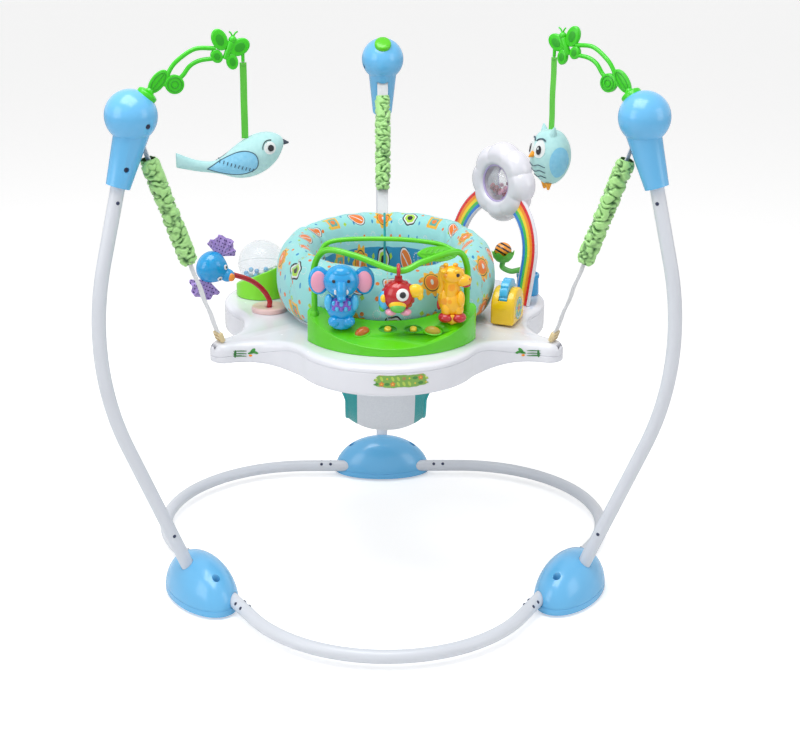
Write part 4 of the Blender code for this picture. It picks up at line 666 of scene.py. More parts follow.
def pan_screw(spot, way, radius):
    head = rod("screw", spot - way * 0.002, spot + way * 0.0014, radius, SCREW, soft=0.0005)
    turn = way.to_track_quat("Z", "Y").to_matrix().to_4x4()
    slots = [block("slot", (radius * 1.3, radius * 0.32, 0.0014), Matrix.Translation(spot + way * 0.0014) @ turn
                   @ Matrix.Rotation(angle, 4, "Z"), None) for angle in (0.0, math.pi / 2)]
    return shaded(carved(head, *slots))


def foot_screws(side):
    parts = [pan_screw(leg_point(90.0, FOOT_R, 0.0475, way * 0.060), Vector((0, 0, 1)), 0.0048) for way in (-1, 1)]
    return joined("foot_" + side + "_screws", *parts)


for_legs(foot_screws, "frame", None)


# Heads

def strap_at(along, across=0.0):
    down = (Vector(STRAP_FOOT) - Vector(HEAD_AT)).normalized()
    spot = Vector(HEAD_AT) + down * along
    return leg_point(90.0, spot.x, spot.y, across)


def strap_frame(along):
    up = (strap_at(0.0) - strap_at(1.0)).normalized()
    return frame_of(strap_at(along), heading(180.0), up)


def head_screws():
    spots = []
    offset = Vector((-0.012, -0.012))
    side = math.sqrt(HEAD_R ** 2 - offset.length_squared)
    spots.append(leg_point(90.0, *(Vector(HEAD_AT) + offset), side))
    spots.append(leg_point(90.0, *(Vector(HEAD_AT) - HIGH * 0.078), 0.0196))
    return spots


def head_shell(side):
    middle = leg_point(90.0, *HEAD_AT)
    shell = ball("head_" + side + "_shell", middle, (HEAD_R,) * 3, BLUE, segments=64, rings=32)
    end = Vector(HEAD_AT) - HIGH * 0.107
    top = Vector(HEAD_AT) - HIGH * 0.022 - Vector((0.006, 0))
    socket = rod("socket", leg_point(90.0, *end), leg_point(90.0, *top), 0.0185, BLUE, 0.0270, 64)
    carved(shell, socket, operation="UNION")
    tip = Vector(HEAD_AT) - HIGH * 0.0497
    below = Vector(HEAD_AT) - HIGH * 0.13
    bore = rod("bore", leg_point(90.0, *tip), leg_point(90.0, *below), TUBE_R + 0.0005, None)
    slot = block("slot", (0.021, 0.0085, 0.050), strap_frame(0.036), None, 0.0015)
    recesses = [rod("recess", spot - heading(180.0) * 0.003, spot + heading(180.0) * 0.01, 0.0042, None)
                for spot in head_screws()]
    carved(shell, bore, slot, *recesses)
    return shaded(rounded(shell, 0.0010, 2, 28), 30)


for_legs(head_shell, "frame", "sky_blue", "head_")


def head_pins(side):
    parts = [pan_screw(spot - heading(180.0) * 0.002, heading(180.0), 0.0034) for spot in head_screws()]
    return joined("head_" + side + "_screws", *parts)


for_legs(head_pins, "frame", None)

cap_low, cap_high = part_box("head_cap_rear")
cap_at = (cap_low + cap_high) / 2
cap_way = (heading(270.0) * math.cos(math.radians(50)) + Vector((0, 0, math.sin(math.radians(50))))).normalized()
cap_foot = leg_point(90.0, *HEAD_AT) + cap_way * (HEAD_R - 0.006)
cap = turned("rear_cap", [(0.0155, 0.0), (0.0155, 0.0085), (0.0148, 0.0102), (0.0125, 0.0115), (0.0085, 0.0123),
                          (0.0030, 0.0127)], Matrix.Translation(cap_foot) @ cap_way.to_track_quat("Z", "Y").to_matrix().to_4x4(),
             LIME)
fit(cap, "frame", "lime", "head_cap_rear")


# Straps: hanger webbing, spring in its gathered sleeve, lower webbing, clip

def webbing(name, start, end, wave=0.0):
    rings = []
    steps = 48
    for step in range(steps + 1):
        along = start + (end - start) * step / steps
        place = strap_frame(along)
        sway = wave * math.sin(math.pi * step / steps) * math.sin(step * 0.4)
        section = []
        for across, deep in ((-0.0100, -0.0006), (-0.0096, -0.0008), (-0.0050, -0.0007), (0.0, -0.0008), (0.0050, -0.0007),
                             (0.0096, -0.0008), (0.0100, -0.0006), (0.0100, 0.0006), (0.0096, 0.0008), (0.0050, 0.0007),
                             (0.0, 0.0008), (-0.0050, 0.0007), (-0.0096, 0.0008), (-0.0100, 0.0006)):
            section.append(place @ Vector((across, deep + sway, 0)))
        rings.append(section)
    obj = skin(name, rings, WEB)
    pick(obj)
    bpy.ops.object.mode_set(mode="EDIT")
    bpy.ops.mesh.select_all(action="SELECT")
    bpy.ops.mesh.fill_holes(sides=0)
    bpy.ops.mesh.normals_make_consistent(inside=False)
    bpy.ops.object.mode_set(mode="OBJECT")
    return shaded(obj, 50)


def hanger(side):
    return webbing("hanger_" + side, 0.030, 0.088)


def coil(side):
    steps = 17 * 14
    points = []
    for step in range(steps + 1):
        share = step / steps
        angle = 2 * math.pi * 17 * share
        points.append(strap_frame(0.084 + 0.146 * share)
                      @ Vector((0.0080 * math.cos(angle), 0.0080 * math.sin(angle), 0)))
    return run_of("spring_" + side + "_coil", points, 0.0011, STEEL, 2)


def ruffle(angle, along):
    # Height of the gathers at a place on the sleeve, from 0 in a fold to 1 on a crest
    x, y = math.cos(angle), math.sin(angle)
    bend = 0.45 * noise.noise(Vector((x * 1.1, y * 1.1, along * 60.0 + 5)))
    broad = noise.noise(Vector((x * 0.9, y * 0.9, along * 92.0 + bend)))
    fine = noise.noise(Vector((x * 2.0 + 7, y * 2.0, along * 210.0)))
    height = 0.78 - 1.9 * abs(broad) ** 0.8 + 0.55 * fine
    return max(0.0, min(1.0, 1.0 - height))


def sleeve_mesh(side):
    around, down = 72, 320
    rows = []
    painted_shade_levels = []
    for lining in (0.0, 0.0005):
        part = []
        folds = []
        for row in range(down + 1):
            along = 0.0705 + (0.2495 - 0.0705) * row / down
            near_end = min(along - 0.0700, 0.2500 - along)
            neck = 1.0 - 0.22 * math.exp(-(near_end / 0.005) ** 2)
            place = strap_frame(along)
            section = []
            for step in range(around):
                angle = 2 * math.pi * step / around
                fold = ruffle(angle, along)
                folds.append(fold)
                radius = (0.0103 + 0.0049 * fold) * neck - lining
                slip = 0.0022 * noise.noise(Vector((math.cos(angle), math.sin(angle), along * 120.0 + 31)))
                section.append(place @ Vector((radius * math.cos(angle), radius * math.sin(angle), slip)))
            part.append(section)
        rows += part if lining == 0.0 else part[::-1]
        painted_shade_levels += folds if lining == 0.0 else [0.3] * len(folds)
    obj = skin("sleeve_" + side + "_cloth", rows, FOLD_SHADED_SATIN, closed=True)
    # The fold heights go to the crest attribute, which paints shade into the folds and a highlight on the crests; the
    # lining's fixed value paints it in shade too
    crest = obj.data.attributes.new("crest", "FLOAT", "POINT")
    for index, height in enumerate(painted_shade_levels):
        crest.data[index].value = height
    map_cloth(obj, around, len(rows), 0.085, 0.42)
    return shaded(outward_only(obj), 180)


def outward_only(obj):
    pick(obj)
    bpy.ops.object.mode_set(mode="EDIT")
    bpy.ops.mesh.select_all(action="SELECT")
    bpy.ops.mesh.normals_make_consistent(inside=False)
    bpy.ops.object.mode_set(mode="OBJECT")
    return obj


def satin(name, light, dark):
    made = Finish(name, 0.42)
    made.colour(made.mix(made.noise(28.0, 3.0), dark, light))
    made.shader.inputs["Sheen Weight"].default_value = 0.4
    made.shader.inputs["Sheen Tint"].default_value = (0.75, 1.0, 0.6, 1.0)
    made.bump(made.noise(2600.0, 2.0), 0.25, 0.0002)
    return made.material




def gathered_satin(name, light, dark):
    # Shiny cloth with painted shade and highlight: deep green painted in its folds, a pale painted highlight on its
    # crests
    made = Finish(name, 0.34)
    crest = made.tree.nodes.new("ShaderNodeAttribute")
    crest.attribute_name = "crest"
    height = made.sum("MULTIPLY_ADD", crest.outputs["Fac"], 1.5, -0.45)
    share = made.sum("MULTIPLY_ADD", made.noise(220.0, 3.0), 0.6, height)
    made.colour(made.mix(share, dark, light))
    made.shader.inputs["Sheen Weight"].default_value = 0.3
    made.shader.inputs["Sheen Tint"].default_value = (0.80, 1.0, 0.7, 1.0)
    made.bump(made.noise(2200.0, 2.0), 0.25, 0.0002)
    return made.material


FOLD_SHADED_SATIN = gathered_satin("leaf_green_satin", (0.40, 0.74, 0.26), (0.008, 0.10, 0.010))


def for_straps(make, slot, *nodes, body=None):
    first = make("rear")
    made = [first]
    for side in ("left", "right"):
        made.append(copy_of(first, first.name.replace("rear", side), round_axis(LEG_AZ[side])))
    for obj, side in zip(made, ("rear", "left", "right")):
        if body:
            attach(obj, body)
        if nodes:
            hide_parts(*(node + side for node in nodes))
    return dict(zip(("rear", "left", "right"), made))


hangers = for_straps(hanger, "webbing", body="frame")
coils = for_straps(coil, None, "spring_")
sleeves = for_straps(sleeve_mesh, "sleeve_green", "sleeve_")
lower_straps = for_straps(lambda side: webbing("strap_" + side + "_webbing", 0.2300, 0.3830, 0.0008), "webbing", "strap_",
                          body="tray")
for side in LEG_AZ:
    turn = round_axis(LEG_AZ[side])
    start, end = turn @ strap_at(0.084), turn @ strap_at(0.232)
    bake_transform(coils[side])
    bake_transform(sleeves[side])


def clip(side):
    place = strap_frame(0.385)
    body = block("clip_" + side, (0.024, 0.0078, 0.016), place, TAN, 0.0018)
    windows = [block("window", (0.0205, 0.012, 0.0030), place @ Matrix.Translation((0, 0, up)), None, 0.0006)
               for up in (-0.0036, 0.0036)]
    carved(body, *windows)
    foot = strap_at(0.393)
    tongue = block("tongue", (0.016, 0.0035, foot.z - 0.428 + 0.004),
                   frame_of(Vector((foot.x, foot.y, (foot.z + 0.004 + 0.428) / 2)), heading(180.0), (0, 0, 1)), TAN, 0.0008)
    carved(body, tongue, operation="UNION")
    return shaded(rounded(body, 0.0004, 2, 50))


for_straps(clip, "tan", "strap_clip_", body="tray")

NUMBER_GREEN = moulded("number_green_print", (0.02, 0.22, 0.06), 0.6, 0.0)
NUMBER_WHITE = moulded("number_white_print", (0.75, 0.78, 0.75), 0.6, 0.0)


def strap_numbers(side):
    parts = []
    for count, along in enumerate((0.363, 0.338, 0.313), 1):
        spot = strap_frame(along) @ Matrix.Rotation(math.radians(90), 4, "X")
        if (spot.to_3x3() @ Vector((0, 0, 1))).y > 0:
            spot = spot @ Matrix.Rotation(math.pi, 4, "Y")
        spot = spot @ Matrix.Translation((0, 0, 0.0010))
        parts.append(slab("oval", oval((0, 0), (0.0062, 0.0080), 0, 32), 0.0003, spot, NUMBER_GREEN))
        bpy.ops.object.text_add()
        digit = bpy.context.object
        digit.data.body = str(count)
        digit.data.size = 0.0115
        digit.data.align_x = "CENTER"
        digit.data.align_y = "CENTER"
        digit.data.extrude = 0.0001
        bpy.ops.object.convert(target="MESH")
        parts.append(settle(named("digit", NUMBER_WHITE), spot @ Matrix.Translation((0, 0, 0.0003))))
    return joined("strap_" + side + "_numbers", *parts)


for_straps(strap_numbers, "webbing", body="tray")


# Tray

def tray_outline(inset):
    tip = Vector((0.303, 0.0))
    lobe = Vector((0.153 * math.cos(math.radians(60)), 0.153 * math.sin(math.radians(60))))
    apart = (lobe - tip).length
    to_tip, to_lobe = 0.022 + 0.090, 0.147 + 0.090
    along = (to_tip ** 2 - to_lobe ** 2 + apart ** 2) / (2 * apart)
    up = math.sqrt(to_tip ** 2 - along ** 2)
    unit = (lobe - tip) / apart
    neck = tip + unit * along + Vector((unit.y, -unit.x)) * up
    tip_end = math.degrees(math.atan2(neck.y - tip.y, neck.x - tip.x))
    neck_start = tip_end - 180.0
    neck_end = math.degrees(math.atan2(lobe.y - neck.y, lobe.x - neck.x)) - 360.0
    lobe_start = math.degrees(math.atan2(neck.y - lobe.y, neck.x - lobe.x))
    points = arc(tip, 0.022 - inset, -tip_end, tip_end, 16)
    points += arc(neck, 0.090 + inset, neck_start, neck_end, 14)[1:]
    points += arc(lobe, 0.147 - inset, lobe_start, 120.0 - lobe_start, 36)[1:]
    for x, y in arc(neck, 0.090 + inset, neck_end, neck_start, 14)[1:-1]:
        # Mirrored across the lobe's middle line
        lean = math.radians(120)
        points.append((x * math.cos(lean) + y * math.sin(lean), x * math.sin(lean) - y * math.cos(lean)))
    whole = []
    for azimuth in LEG_AZ.values():
        turn = math.radians(azimuth)
        for x, y in points:
            whole.append((x * math.cos(turn) - y * math.sin(turn), x * math.sin(turn) + y * math.cos(turn)))
    return sorted(whole, key=lambda point: math.atan2(point[1], point[0]))


def ear_share(x, y):
    azimuth = math.degrees(math.atan2(y, x))
    away = min(abs((azimuth - leg + 180.0) % 360.0 - 180.0) for leg in LEG_AZ.values())
    share = max(0.0, 1.0 - away / 24.0)
    return share * share * (3 - 2 * share)


def tray_ring(inset, lobe_z, ear_z):
    return [at(x, y, lobe_z + (ear_z - lobe_z) * ear_share(x, y)) for x, y in tray_outline(inset)]


def hole_ring(radius, z):
    ring = []
    for x, y in tray_outline(0.0):
        reach = radius / math.hypot(x, y)
        ring.append(at(x * reach, y * reach, z))
    return ring


edge = 0.014
top_rings = [hole_ring(0.148, 0.4445), hole_ring(0.148, 0.4470), hole_ring(0.1487, 0.4475),
             hole_ring(0.165, 0.4475), tray_ring(edge, 0.4475, 0.4415)]
for step in range(1, 9):
    angle = math.radians(90 - 78 * step / 8)
    top_rings.append(tray_ring(edge * (1 - math.cos(angle)) + 0.0003, 0.4405 + 0.0070 * math.sin(angle),
                               0.4255 + 0.0160 * math.sin(angle)))
top_rings += [tray_ring(0.0003, 0.4372, 0.4208), tray_ring(0.0008, 0.4366, 0.4202), tray_ring(0.0030, 0.4366, 0.4202),
              tray_ring(0.0050, 0.4400, 0.4270), tray_ring(edge + 0.003, 0.4445, 0.4385)]
tray_lid = lofted("tray_top_moulding", top_rings, WHITE, closed=True)
tray_lid = shaded(tray_lid, 35)
slots = [block("slot", (0.0170, 0.0042, 0.05), frame_of(leg_point(az, 0.3197, 0.4405), heading(az + 90), (0, 0, 1)), None)
         for az in LEG_AZ.values()]
carved(tray_lid, *slots)
fit(shaded(tray_lid, 35), "tray", "tray_white", "tray_top")

base_rings = [tray_ring(0.0030, 0.4370, 0.4206), tray_ring(0.0008, 0.4362, 0.4197), tray_ring(0.0003, 0.4356, 0.4190),
              tray_ring(0.0003, 0.4060, 0.4125)]
for step in range(1, 7):
    angle = math.radians(15 * step)
    base_rings.append(tray_ring(0.0003 + 0.0050 * (1 - math.cos(angle)), 0.4045 - 0.0060 * math.sin(angle),
                                0.4120 - 0.0020 * math.sin(angle)))
base_rings += [tray_ring(0.0090, 0.3990, 0.4102), tray_ring(0.0110, 0.4080, 0.4115), hole_ring(0.164, 0.4095),
               hole_ring(0.160, 0.4080), hole_ring(0.1565, 0.4080), hole_ring(0.1560, 0.4100), hole_ring(0.156, 0.4430),
               hole_ring(0.159, 0.4430), hole_ring(0.159, 0.4125), tray_ring(0.0110, 0.4125, 0.4135)]
tray_pan = shaded(lofted("tray_base_moulding", base_rings, WHITE, closed=True), 35)
fit(tray_pan, "tray", "tray_white", "tray_base")


# Seat: ring, sling and padded collar

ring_shape = [(0.1425, 0.4345), (0.1510, 0.4345), (0.1520, 0.4440), (0.1470, 0.4443), (0.1470, 0.4478), (0.1572, 0.4479),
              (0.1580, 0.4486), (0.1580, 0.4510), (0.1574, 0.4517), (0.1432, 0.4518), (0.1425, 0.4511)]
rings = [[at(r * math.cos(a), r * math.sin(a), z) for a in (2 * math.pi * step / 160 for step in range(160))]
         for r, z in ring_shape]
fit(shaded(lofted("seat_ring_moulding", rings, WHITE, closed=True), 35), "seat", "tray_white", "seat_ring")


def shade(made, share, *colours):
    value = colours[0]
    for colour in colours[1:]:
        value = made.mix(share, value, colour)
    return value


class Print(Finish):
    """Printed cloth: motifs scattered over the UV map, each in its own cell."""

    def __init__(self, name, ground, roughness=0.8):
        super().__init__(name, roughness)
        self.uv = self.coords.outputs["UV"]
        self.look = ground

    def cell(self, pitch, shift=(0.0, 0.0)):
        # Place inside a square cell, from its middle in metres, and a number for the cell
        moved = self.vector("ADD", self.uv, (shift[0] * pitch, shift[1] * pitch, 0.0))
        scaled = self.vector("MULTIPLY", moved, (1 / pitch, 1 / pitch, 0.0))
        whole = self.vector("FLOOR", scaled)
        inner = self.vector("SUBTRACT", scaled, whole)
        inner = self.vector("SUBTRACT", inner, (0.5, 0.5, 0.0))
        white = self.tree.nodes.new("ShaderNodeTexWhiteNoise")
        white.noise_dimensions = "2D"
        self.put(white.inputs["Vector"], whole)
        return self.vector("MULTIPLY", inner, (pitch, pitch, 0.0)), white.outputs["Value"]

    def split(self, vector):
        node = self.tree.nodes.new("ShaderNodeSeparateXYZ")
        self.put(node.inputs[0], vector)
        return node.outputs[0], node.outputs[1]

    def turned(self, spot, angle):
        node = self.tree.nodes.new("ShaderNodeVectorRotate")
        node.rotation_type = "Z_AXIS"
        self.put(node.inputs["Vector"], spot)
        self.put(node.inputs["Angle"], angle)
        return node.outputs[0]

    def both(self, first, second):
        return self.sum("MULTIPLY", first, second)

    def lay(self, mask, colour):
        self.look = self.mix(mask, self.look, colour)

    def chosen(self, number, low, high):
        return self.both(self.sum("GREATER_THAN", number, low), self.under(number, high))

    def disc(self, spot, radius, stretch=(1.0, 1.0)):
        flat = self.vector("MULTIPLY", spot, (1 / stretch[0], 1 / stretch[1], 0.0))
        return self.under(self.vector("LENGTH", flat), radius)

    def square(self, spot, half):
        x, y = self.split(spot)
        return self.both(self.under(self.sum("ABSOLUTE", x), half), self.under(self.sum("ABSOLUTE", y), half))

    def flower(self, spot, radius, petals, depth):
        x, y = self.split(spot)
        angle = self.sum("ARCTAN2", y, x)
        wave = self.sum("SINE", self.sum("MULTIPLY", angle, petals))
        reach = self.sum("MULTIPLY_ADD", wave, depth, radius)
        return self.sum("LESS_THAN", self.vector("LENGTH", spot), reach)

    def ring(self, spot, radius, width):
        away = self.sum("ABSOLUTE", self.sum("SUBTRACT", self.vector("LENGTH", spot), radius))
        return self.under(away, width)

    def done(self, weave=0.0010):
        x, y = self.split(self.uv)
        warp = self.sum("SINE", self.sum("MULTIPLY", x, 2 * math.pi / weave))
        weft = self.sum("SINE", self.sum("MULTIPLY", y, 2 * math.pi / weave))
        shadow = self.noise(9.0, 3.0, self.uv)
        self.colour(self.mix(self.sum("MULTIPLY", shadow, 0.10), self.look, (0.02, 0.12, 0.12)))
        self.shader.inputs["Sheen Weight"].default_value = 0.3
        self.bump(self.sum("ADD", self.both(warp, weft), self.sum("MULTIPLY", self.noise(60.0, 3.0, self.uv), 3.0)), 0.45, 0.0003)
        return self.material


ORANGE_INK = (0.93, 0.22, 0.02)
SUN_INK = (0.98, 0.52, 0.03)
LIME_INK = (0.45, 0.75, 0.05)
BLUE_INK = (0.03, 0.30, 0.62)
WHITE_INK = (0.82, 0.86, 0.86)
BLACK_INK = (0.01, 0.01, 0.015)


def animal_print(name, ground):
    # Bright generic shapes: suns, leaves, hexagons, dots, squares, dashed rings
    made = Print(name, ground)
    spot, number = made.cell(0.020, (0.3, 0.2))
    made.lay(made.both(made.disc(spot, 0.0028), made.chosen(number, 0.0, 0.35)), ORANGE_INK)
    made.lay(made.both(made.disc(spot, 0.0034, (1.0, 0.55)), made.chosen(number, 0.35, 0.60)), BLUE_INK)
    made.lay(made.both(made.square(made.turned(spot, 0.6), 0.0026), made.chosen(number, 0.60, 0.80)), LIME_INK)
    dashes = made.sum("SINE", made.sum("MULTIPLY", made.sum("ARCTAN2", *reversed(made.split(spot))), 12.0))
    made.lay(made.both(made.both(made.ring(spot, 0.0052, 0.0007), made.sum("GREATER_THAN", dashes, 0.0)),
                       made.chosen(number, 0.80, 1.0)), WHITE_INK)
    spot, number = made.cell(0.054)
    sun = made.chosen(number, 0.0, 0.34)
    made.lay(made.both(made.flower(spot, 0.0165, 9.0, 0.0022), sun), SUN_INK)
    made.lay(made.both(made.disc(spot, 0.0098), sun), ORANGE_INK)
    made.lay(made.both(made.ring(spot, 0.0118, 0.0006), sun), BLACK_INK)
    made.lay(made.both(made.disc(spot, 0.0040, (1.0, 0.6)), sun), WHITE_INK)
    leaf = made.chosen(number, 0.34, 0.68)
    turned_spot = made.turned(spot, 0.9)
    for radius, ink in ((0.0185, BLACK_INK), (0.0172, WHITE_INK), (0.0150, ORANGE_INK)):
        made.lay(made.both(made.disc(turned_spot, radius, (1.0, 0.62)), leaf), ink)
    x, y = made.split(turned_spot)
    made.lay(made.both(made.both(made.under(made.sum("ABSOLUTE", y), 0.0008), made.disc(turned_spot, 0.0130, (1.0, 0.62))),
                       leaf), WHITE_INK)
    hexa = made.chosen(number, 0.68, 0.86)
    for radius, ink in ((0.0145, BLACK_INK), (0.0122, WHITE_INK), (0.0096, LIME_INK), (0.0052, BLACK_INK)):
        made.lay(made.both(made.flower(spot, radius, 6.0, radius * 0.05), hexa), ink)
    box = made.chosen(number, 0.86, 1.0)
    made.lay(made.both(made.square(spot, 0.0130), box), SUN_INK)
    made.lay(made.both(made.square(spot, 0.0085), box), (0.10, 0.45, 0.40))
    made.lay(made.both(made.disc(spot, 0.0050), box), ORANGE_INK)
    return made.done()


PAD = animal_print("aqua_printed_cloth", (0.35, 0.79, 0.79))
# Darker blue copy of the pad print for the collar's inner wall: painted shade
PAD_SHADED_INSIDE = animal_print("blue_printed_cloth", (0.015, 0.30, 0.56))
TEAL = woven("teal_binding", (0.02, 0.42, 0.42), (0.01, 0.30, 0.32), 0.0010)


def collar_point(azimuth, share, shape):
    # Roll of the pad: fat panels drawn in at six seams, with small puckers beside each
    base = 0.4521
    back = 0.5 + 0.5 * math.sin(math.radians(azimuth))
    tall = 0.560 + 0.023 * back - base
    from_seam = abs((azimuth - 30.0 + 30.0) % 60.0 - 30.0)
    seam = math.exp(-(from_seam / 3.0) ** 2)
    puff = 1.0 - math.exp(-(from_seam / 9.0) ** 2)
    radius, height = shape
    centre_r, centre_h = 0.152, 0.50
    draw = 1.0 - 0.075 * seam + 0.012 * puff
    out = (radius - centre_r) * draw
    up = (height - centre_h) * (draw if height > 0.2 else 1.0)
    pucker = 0.0012 * math.sin(share * 60.0 + azimuth * 0.7) * math.exp(-(from_seam / 7.0) ** 2)
    wave = noise.noise(Vector((math.cos(math.radians(azimuth)) * 6, math.sin(math.radians(azimuth)) * 6, share * 5))) * 0.0016
    lift = 1.0 if height > 0.15 else 0.0
    spread = (pucker + wave) * lift
    return polar(centre_r + out + spread * (1 if radius > centre_r else -1), azimuth, base + (centre_h + up) * tall + spread)


def collar_section():
    shape = [(0.154, 0.0), (0.172, 0.10), (0.1815, 0.30), (0.1830, 0.52), (0.1790, 0.74), (0.1700, 0.90), (0.1560, 0.985),
             (0.1420, 0.985), (0.1290, 0.90), (0.1205, 0.72), (0.1180, 0.48), (0.1210, 0.22), (0.1290, 0.06), (0.138, 0.0)]
    path = smooth_path([(*point, 0.0) for point in shape + [shape[0]]], 5)[:-1]
    return [(point.x, max(0.0, point.y)) for point in path]


section = collar_section()
rows = [[collar_point(azimuth, step / len(section), spot) for step, spot in enumerate(section)] for azimuth in
        (1.0 * index for index in range(360))]
collar = skin("seat_collar_pad", rows, PAD, closed=True)
map_cloth(collar, len(section), len(rows), 0.255, 0.96)
# Faces low on the inner wall take the darker copy of the print, which is painted shade
collar.data.materials.append(PAD_SHADED_INSIDE)
inside_from = 0.685 * len(section)
for polygon in collar.data.polygons:
    steps = [collar.data.loops[index].vertex_index % len(section) for index in polygon.loop_indices]
    if min(steps) >= inside_from:
        polygon.material_index = 1
fit(shaded(outward_only(collar), 180), "seat", "pad_aqua", "seat_collar")

for index, azimuth in enumerate(range(30, 390, 60)):
    path = [collar_point(azimuth, step / len(section), spot) for step, spot in enumerate(section)
            if spot[1] > 0.16]
    start = next((i for i in range(len(path)) if (path[i] - path[i - 1]).length > 0.02), 0)
    path = path[start:] + path[:start]
    wide = 0.0022 if azimuth == 90 else 0.0009
    piping = run_of("collar_seam_%d" % index, path, wide, TEAL if azimuth == 90 else PAD, 3)
    if azimuth != 90:
        map_flat = piping.data.uv_layers.new(name="cloth")
        for loop in piping.data.loops:
            map_flat.data[loop.index].uv = (0.013, 0.013)
    fit(piping, "seat", "pad_aqua")

# Sling
SLING = ((0.1422, 0.4518), (0.1422, 0.4380), (0.1260, 0.4050), (0.1080, 0.3400), (0.0860, 0.2820), (0.0500, 0.2480),
         (0.0, 0.2400))


def profile_radius(z):
    line = [point for point in SLING_LINE]
    for first, second in zip(line, line[1:]):
        if second.y <= z <= first.y:
            share = 0.0 if first.y == second.y else (first.y - z) / (first.y - second.y)
            return first.x + (second.x - first.x) * share
    return 0.0


SLING_LINE = smooth_path([(r, z, 0.0) for r, z in SLING], 8)


def sling_weave():
    # White cloth with a wide teal band down each side
    made = Finish("sling_cloth", 0.85)
    split = made.tree.nodes.new("ShaderNodeSeparateXYZ")
    made.put(split.inputs[0], made.coords.outputs["Object"])
    x, y, z = split.outputs
    side = made.sum("GREATER_THAN", made.sum("ABSOLUTE", x), 0.0485)
    low = made.under(z, 0.420)
    cloth = made.mix(made.noise(320.0, 3.0), (0.62, 0.65, 0.70), (0.74, 0.77, 0.80))
    teal = made.mix(made.noise(320.0, 3.0), (0.01, 0.27, 0.28), (0.02, 0.36, 0.36))
    made.colour(made.mix(made.sum("MULTIPLY", side, low), cloth, teal))
    made.shader.inputs["Sheen Weight"].default_value = 0.25
    ribs = [made.sum("SINE", made.sum("MULTIPLY", way, 2 * math.pi / 0.0011)) for way in (made.sum("ADD", x, y), z)]
    made.bump(made.sum("MULTIPLY", *ribs), 0.5, 0.0002)
    return made.material


SLING_CLOTH = sling_weave()
shell = []
for point in SLING_LINE:
    shell.append((max(point.x, 0.0008), point.y))
for point in reversed(SLING_LINE):
    slope = 1.0 if point.y > 0.29 else 0.55
    shell.append((max(point.x - 0.0028 * slope, 0.0008), point.y + (0.0 if point.y > 0.4517 else 0.0028 * (1.3 - slope))))
rows = [[at(r * math.cos(a), r * math.sin(a), z) for a in (2 * math.pi * step / 120 for step in range(120))]
        for r, z in shell]
sling = skin("seat_sling_cloth", rows, SLING_CLOTH, closed=True)
outward(sling)
carved(sling, *[rod("leg", at(way * 0.067, 0, 0.325), at(way * 0.16, 0, 0.325), 0.074, None, sides=72) for way in (-1, 1)])
fit(shaded(sling, 50), "seat", "sling_grey", "seat_sling")

lowest = next(z / 1000 for z in range(241, 400) if profile_radius(z / 1000) >= 0.0672)
for way, side in ((-1, "left"), (1, "right")):
    path = []
    for step in range(96):
        angle = 2 * math.pi * step / 96
        y, z = 0.074 * math.cos(angle), max(lowest, 0.325 + 0.074 * math.sin(angle))
        reach = profile_radius(z)
        across = reach * reach - y * y
        if across < 0.067 ** 2:
            across = 0.067 ** 2
            y = math.copysign(math.sqrt(max(reach * reach - across, 0.0)), y)
        point = at(way * (math.sqrt(across) - 0.0014), y * 0.985, z)
        if not path or (point - path[-1]).length > 0.002:
            path.append(point)
    binding = run_of("leg_binding_" + side, path, 0.0034, TEAL, 4, closed=True)
    fit(binding, "seat", "pad_aqua")


# Console

def deck_z(y):
    return DECK_FRONT + (y - (CONSOLE[1] - CONSOLE_R)) * math.tan(math.radians(DECK_TILT))


def deck_frame(x, y, lift=0.0, spin=0.0):
    normal = Vector((0.0, -math.sin(math.radians(DECK_TILT)), math.cos(math.radians(DECK_TILT))))
    flat = frame_of(at(x, y, deck_z(y)) + normal * lift, (1, 0, 0), normal)
    return flat @ Matrix.Rotation(math.radians(spin), 4, "Z")


def deck_at(x, y, lift=0.0):
    return deck_frame(x, y, lift).translation


def console_outline():
    reach = math.hypot(*CONSOLE)
    lean = math.degrees(math.atan2(CONSOLE[1], CONSOLE[0]))
    horn = 0.014
    to_outer, to_seat = CONSOLE_R - horn, 0.188 + horn
    along = (to_seat ** 2 - to_outer ** 2 + reach ** 2) / (2 * reach)
    spread = math.degrees(math.acos(along / to_seat))
    ends = []
    for turn in (spread, -spread):
        angle = math.radians(lean + turn)
        spot = (to_seat * math.cos(angle), to_seat * math.sin(angle))
        ends.append((spot, math.degrees(math.atan2(spot[1] - CONSOLE[1], spot[0] - CONSOLE[0]))))
    (right, right_out), (left, left_out) = ends
    outer = arc(CONSOLE, CONSOLE_R, left_out, right_out, 72)
    horn_right = arc(right, horn, right_out, lean + spread + 180.0, 12)
    inner = arc((0, 0), 0.188, lean + spread, lean - spread, 48)
    horn_left = arc(left, horn, lean - spread + 180.0, left_out + 360.0, 12)
    return outer + horn_right[1:] + inner[1:] + horn_left[1:-1]


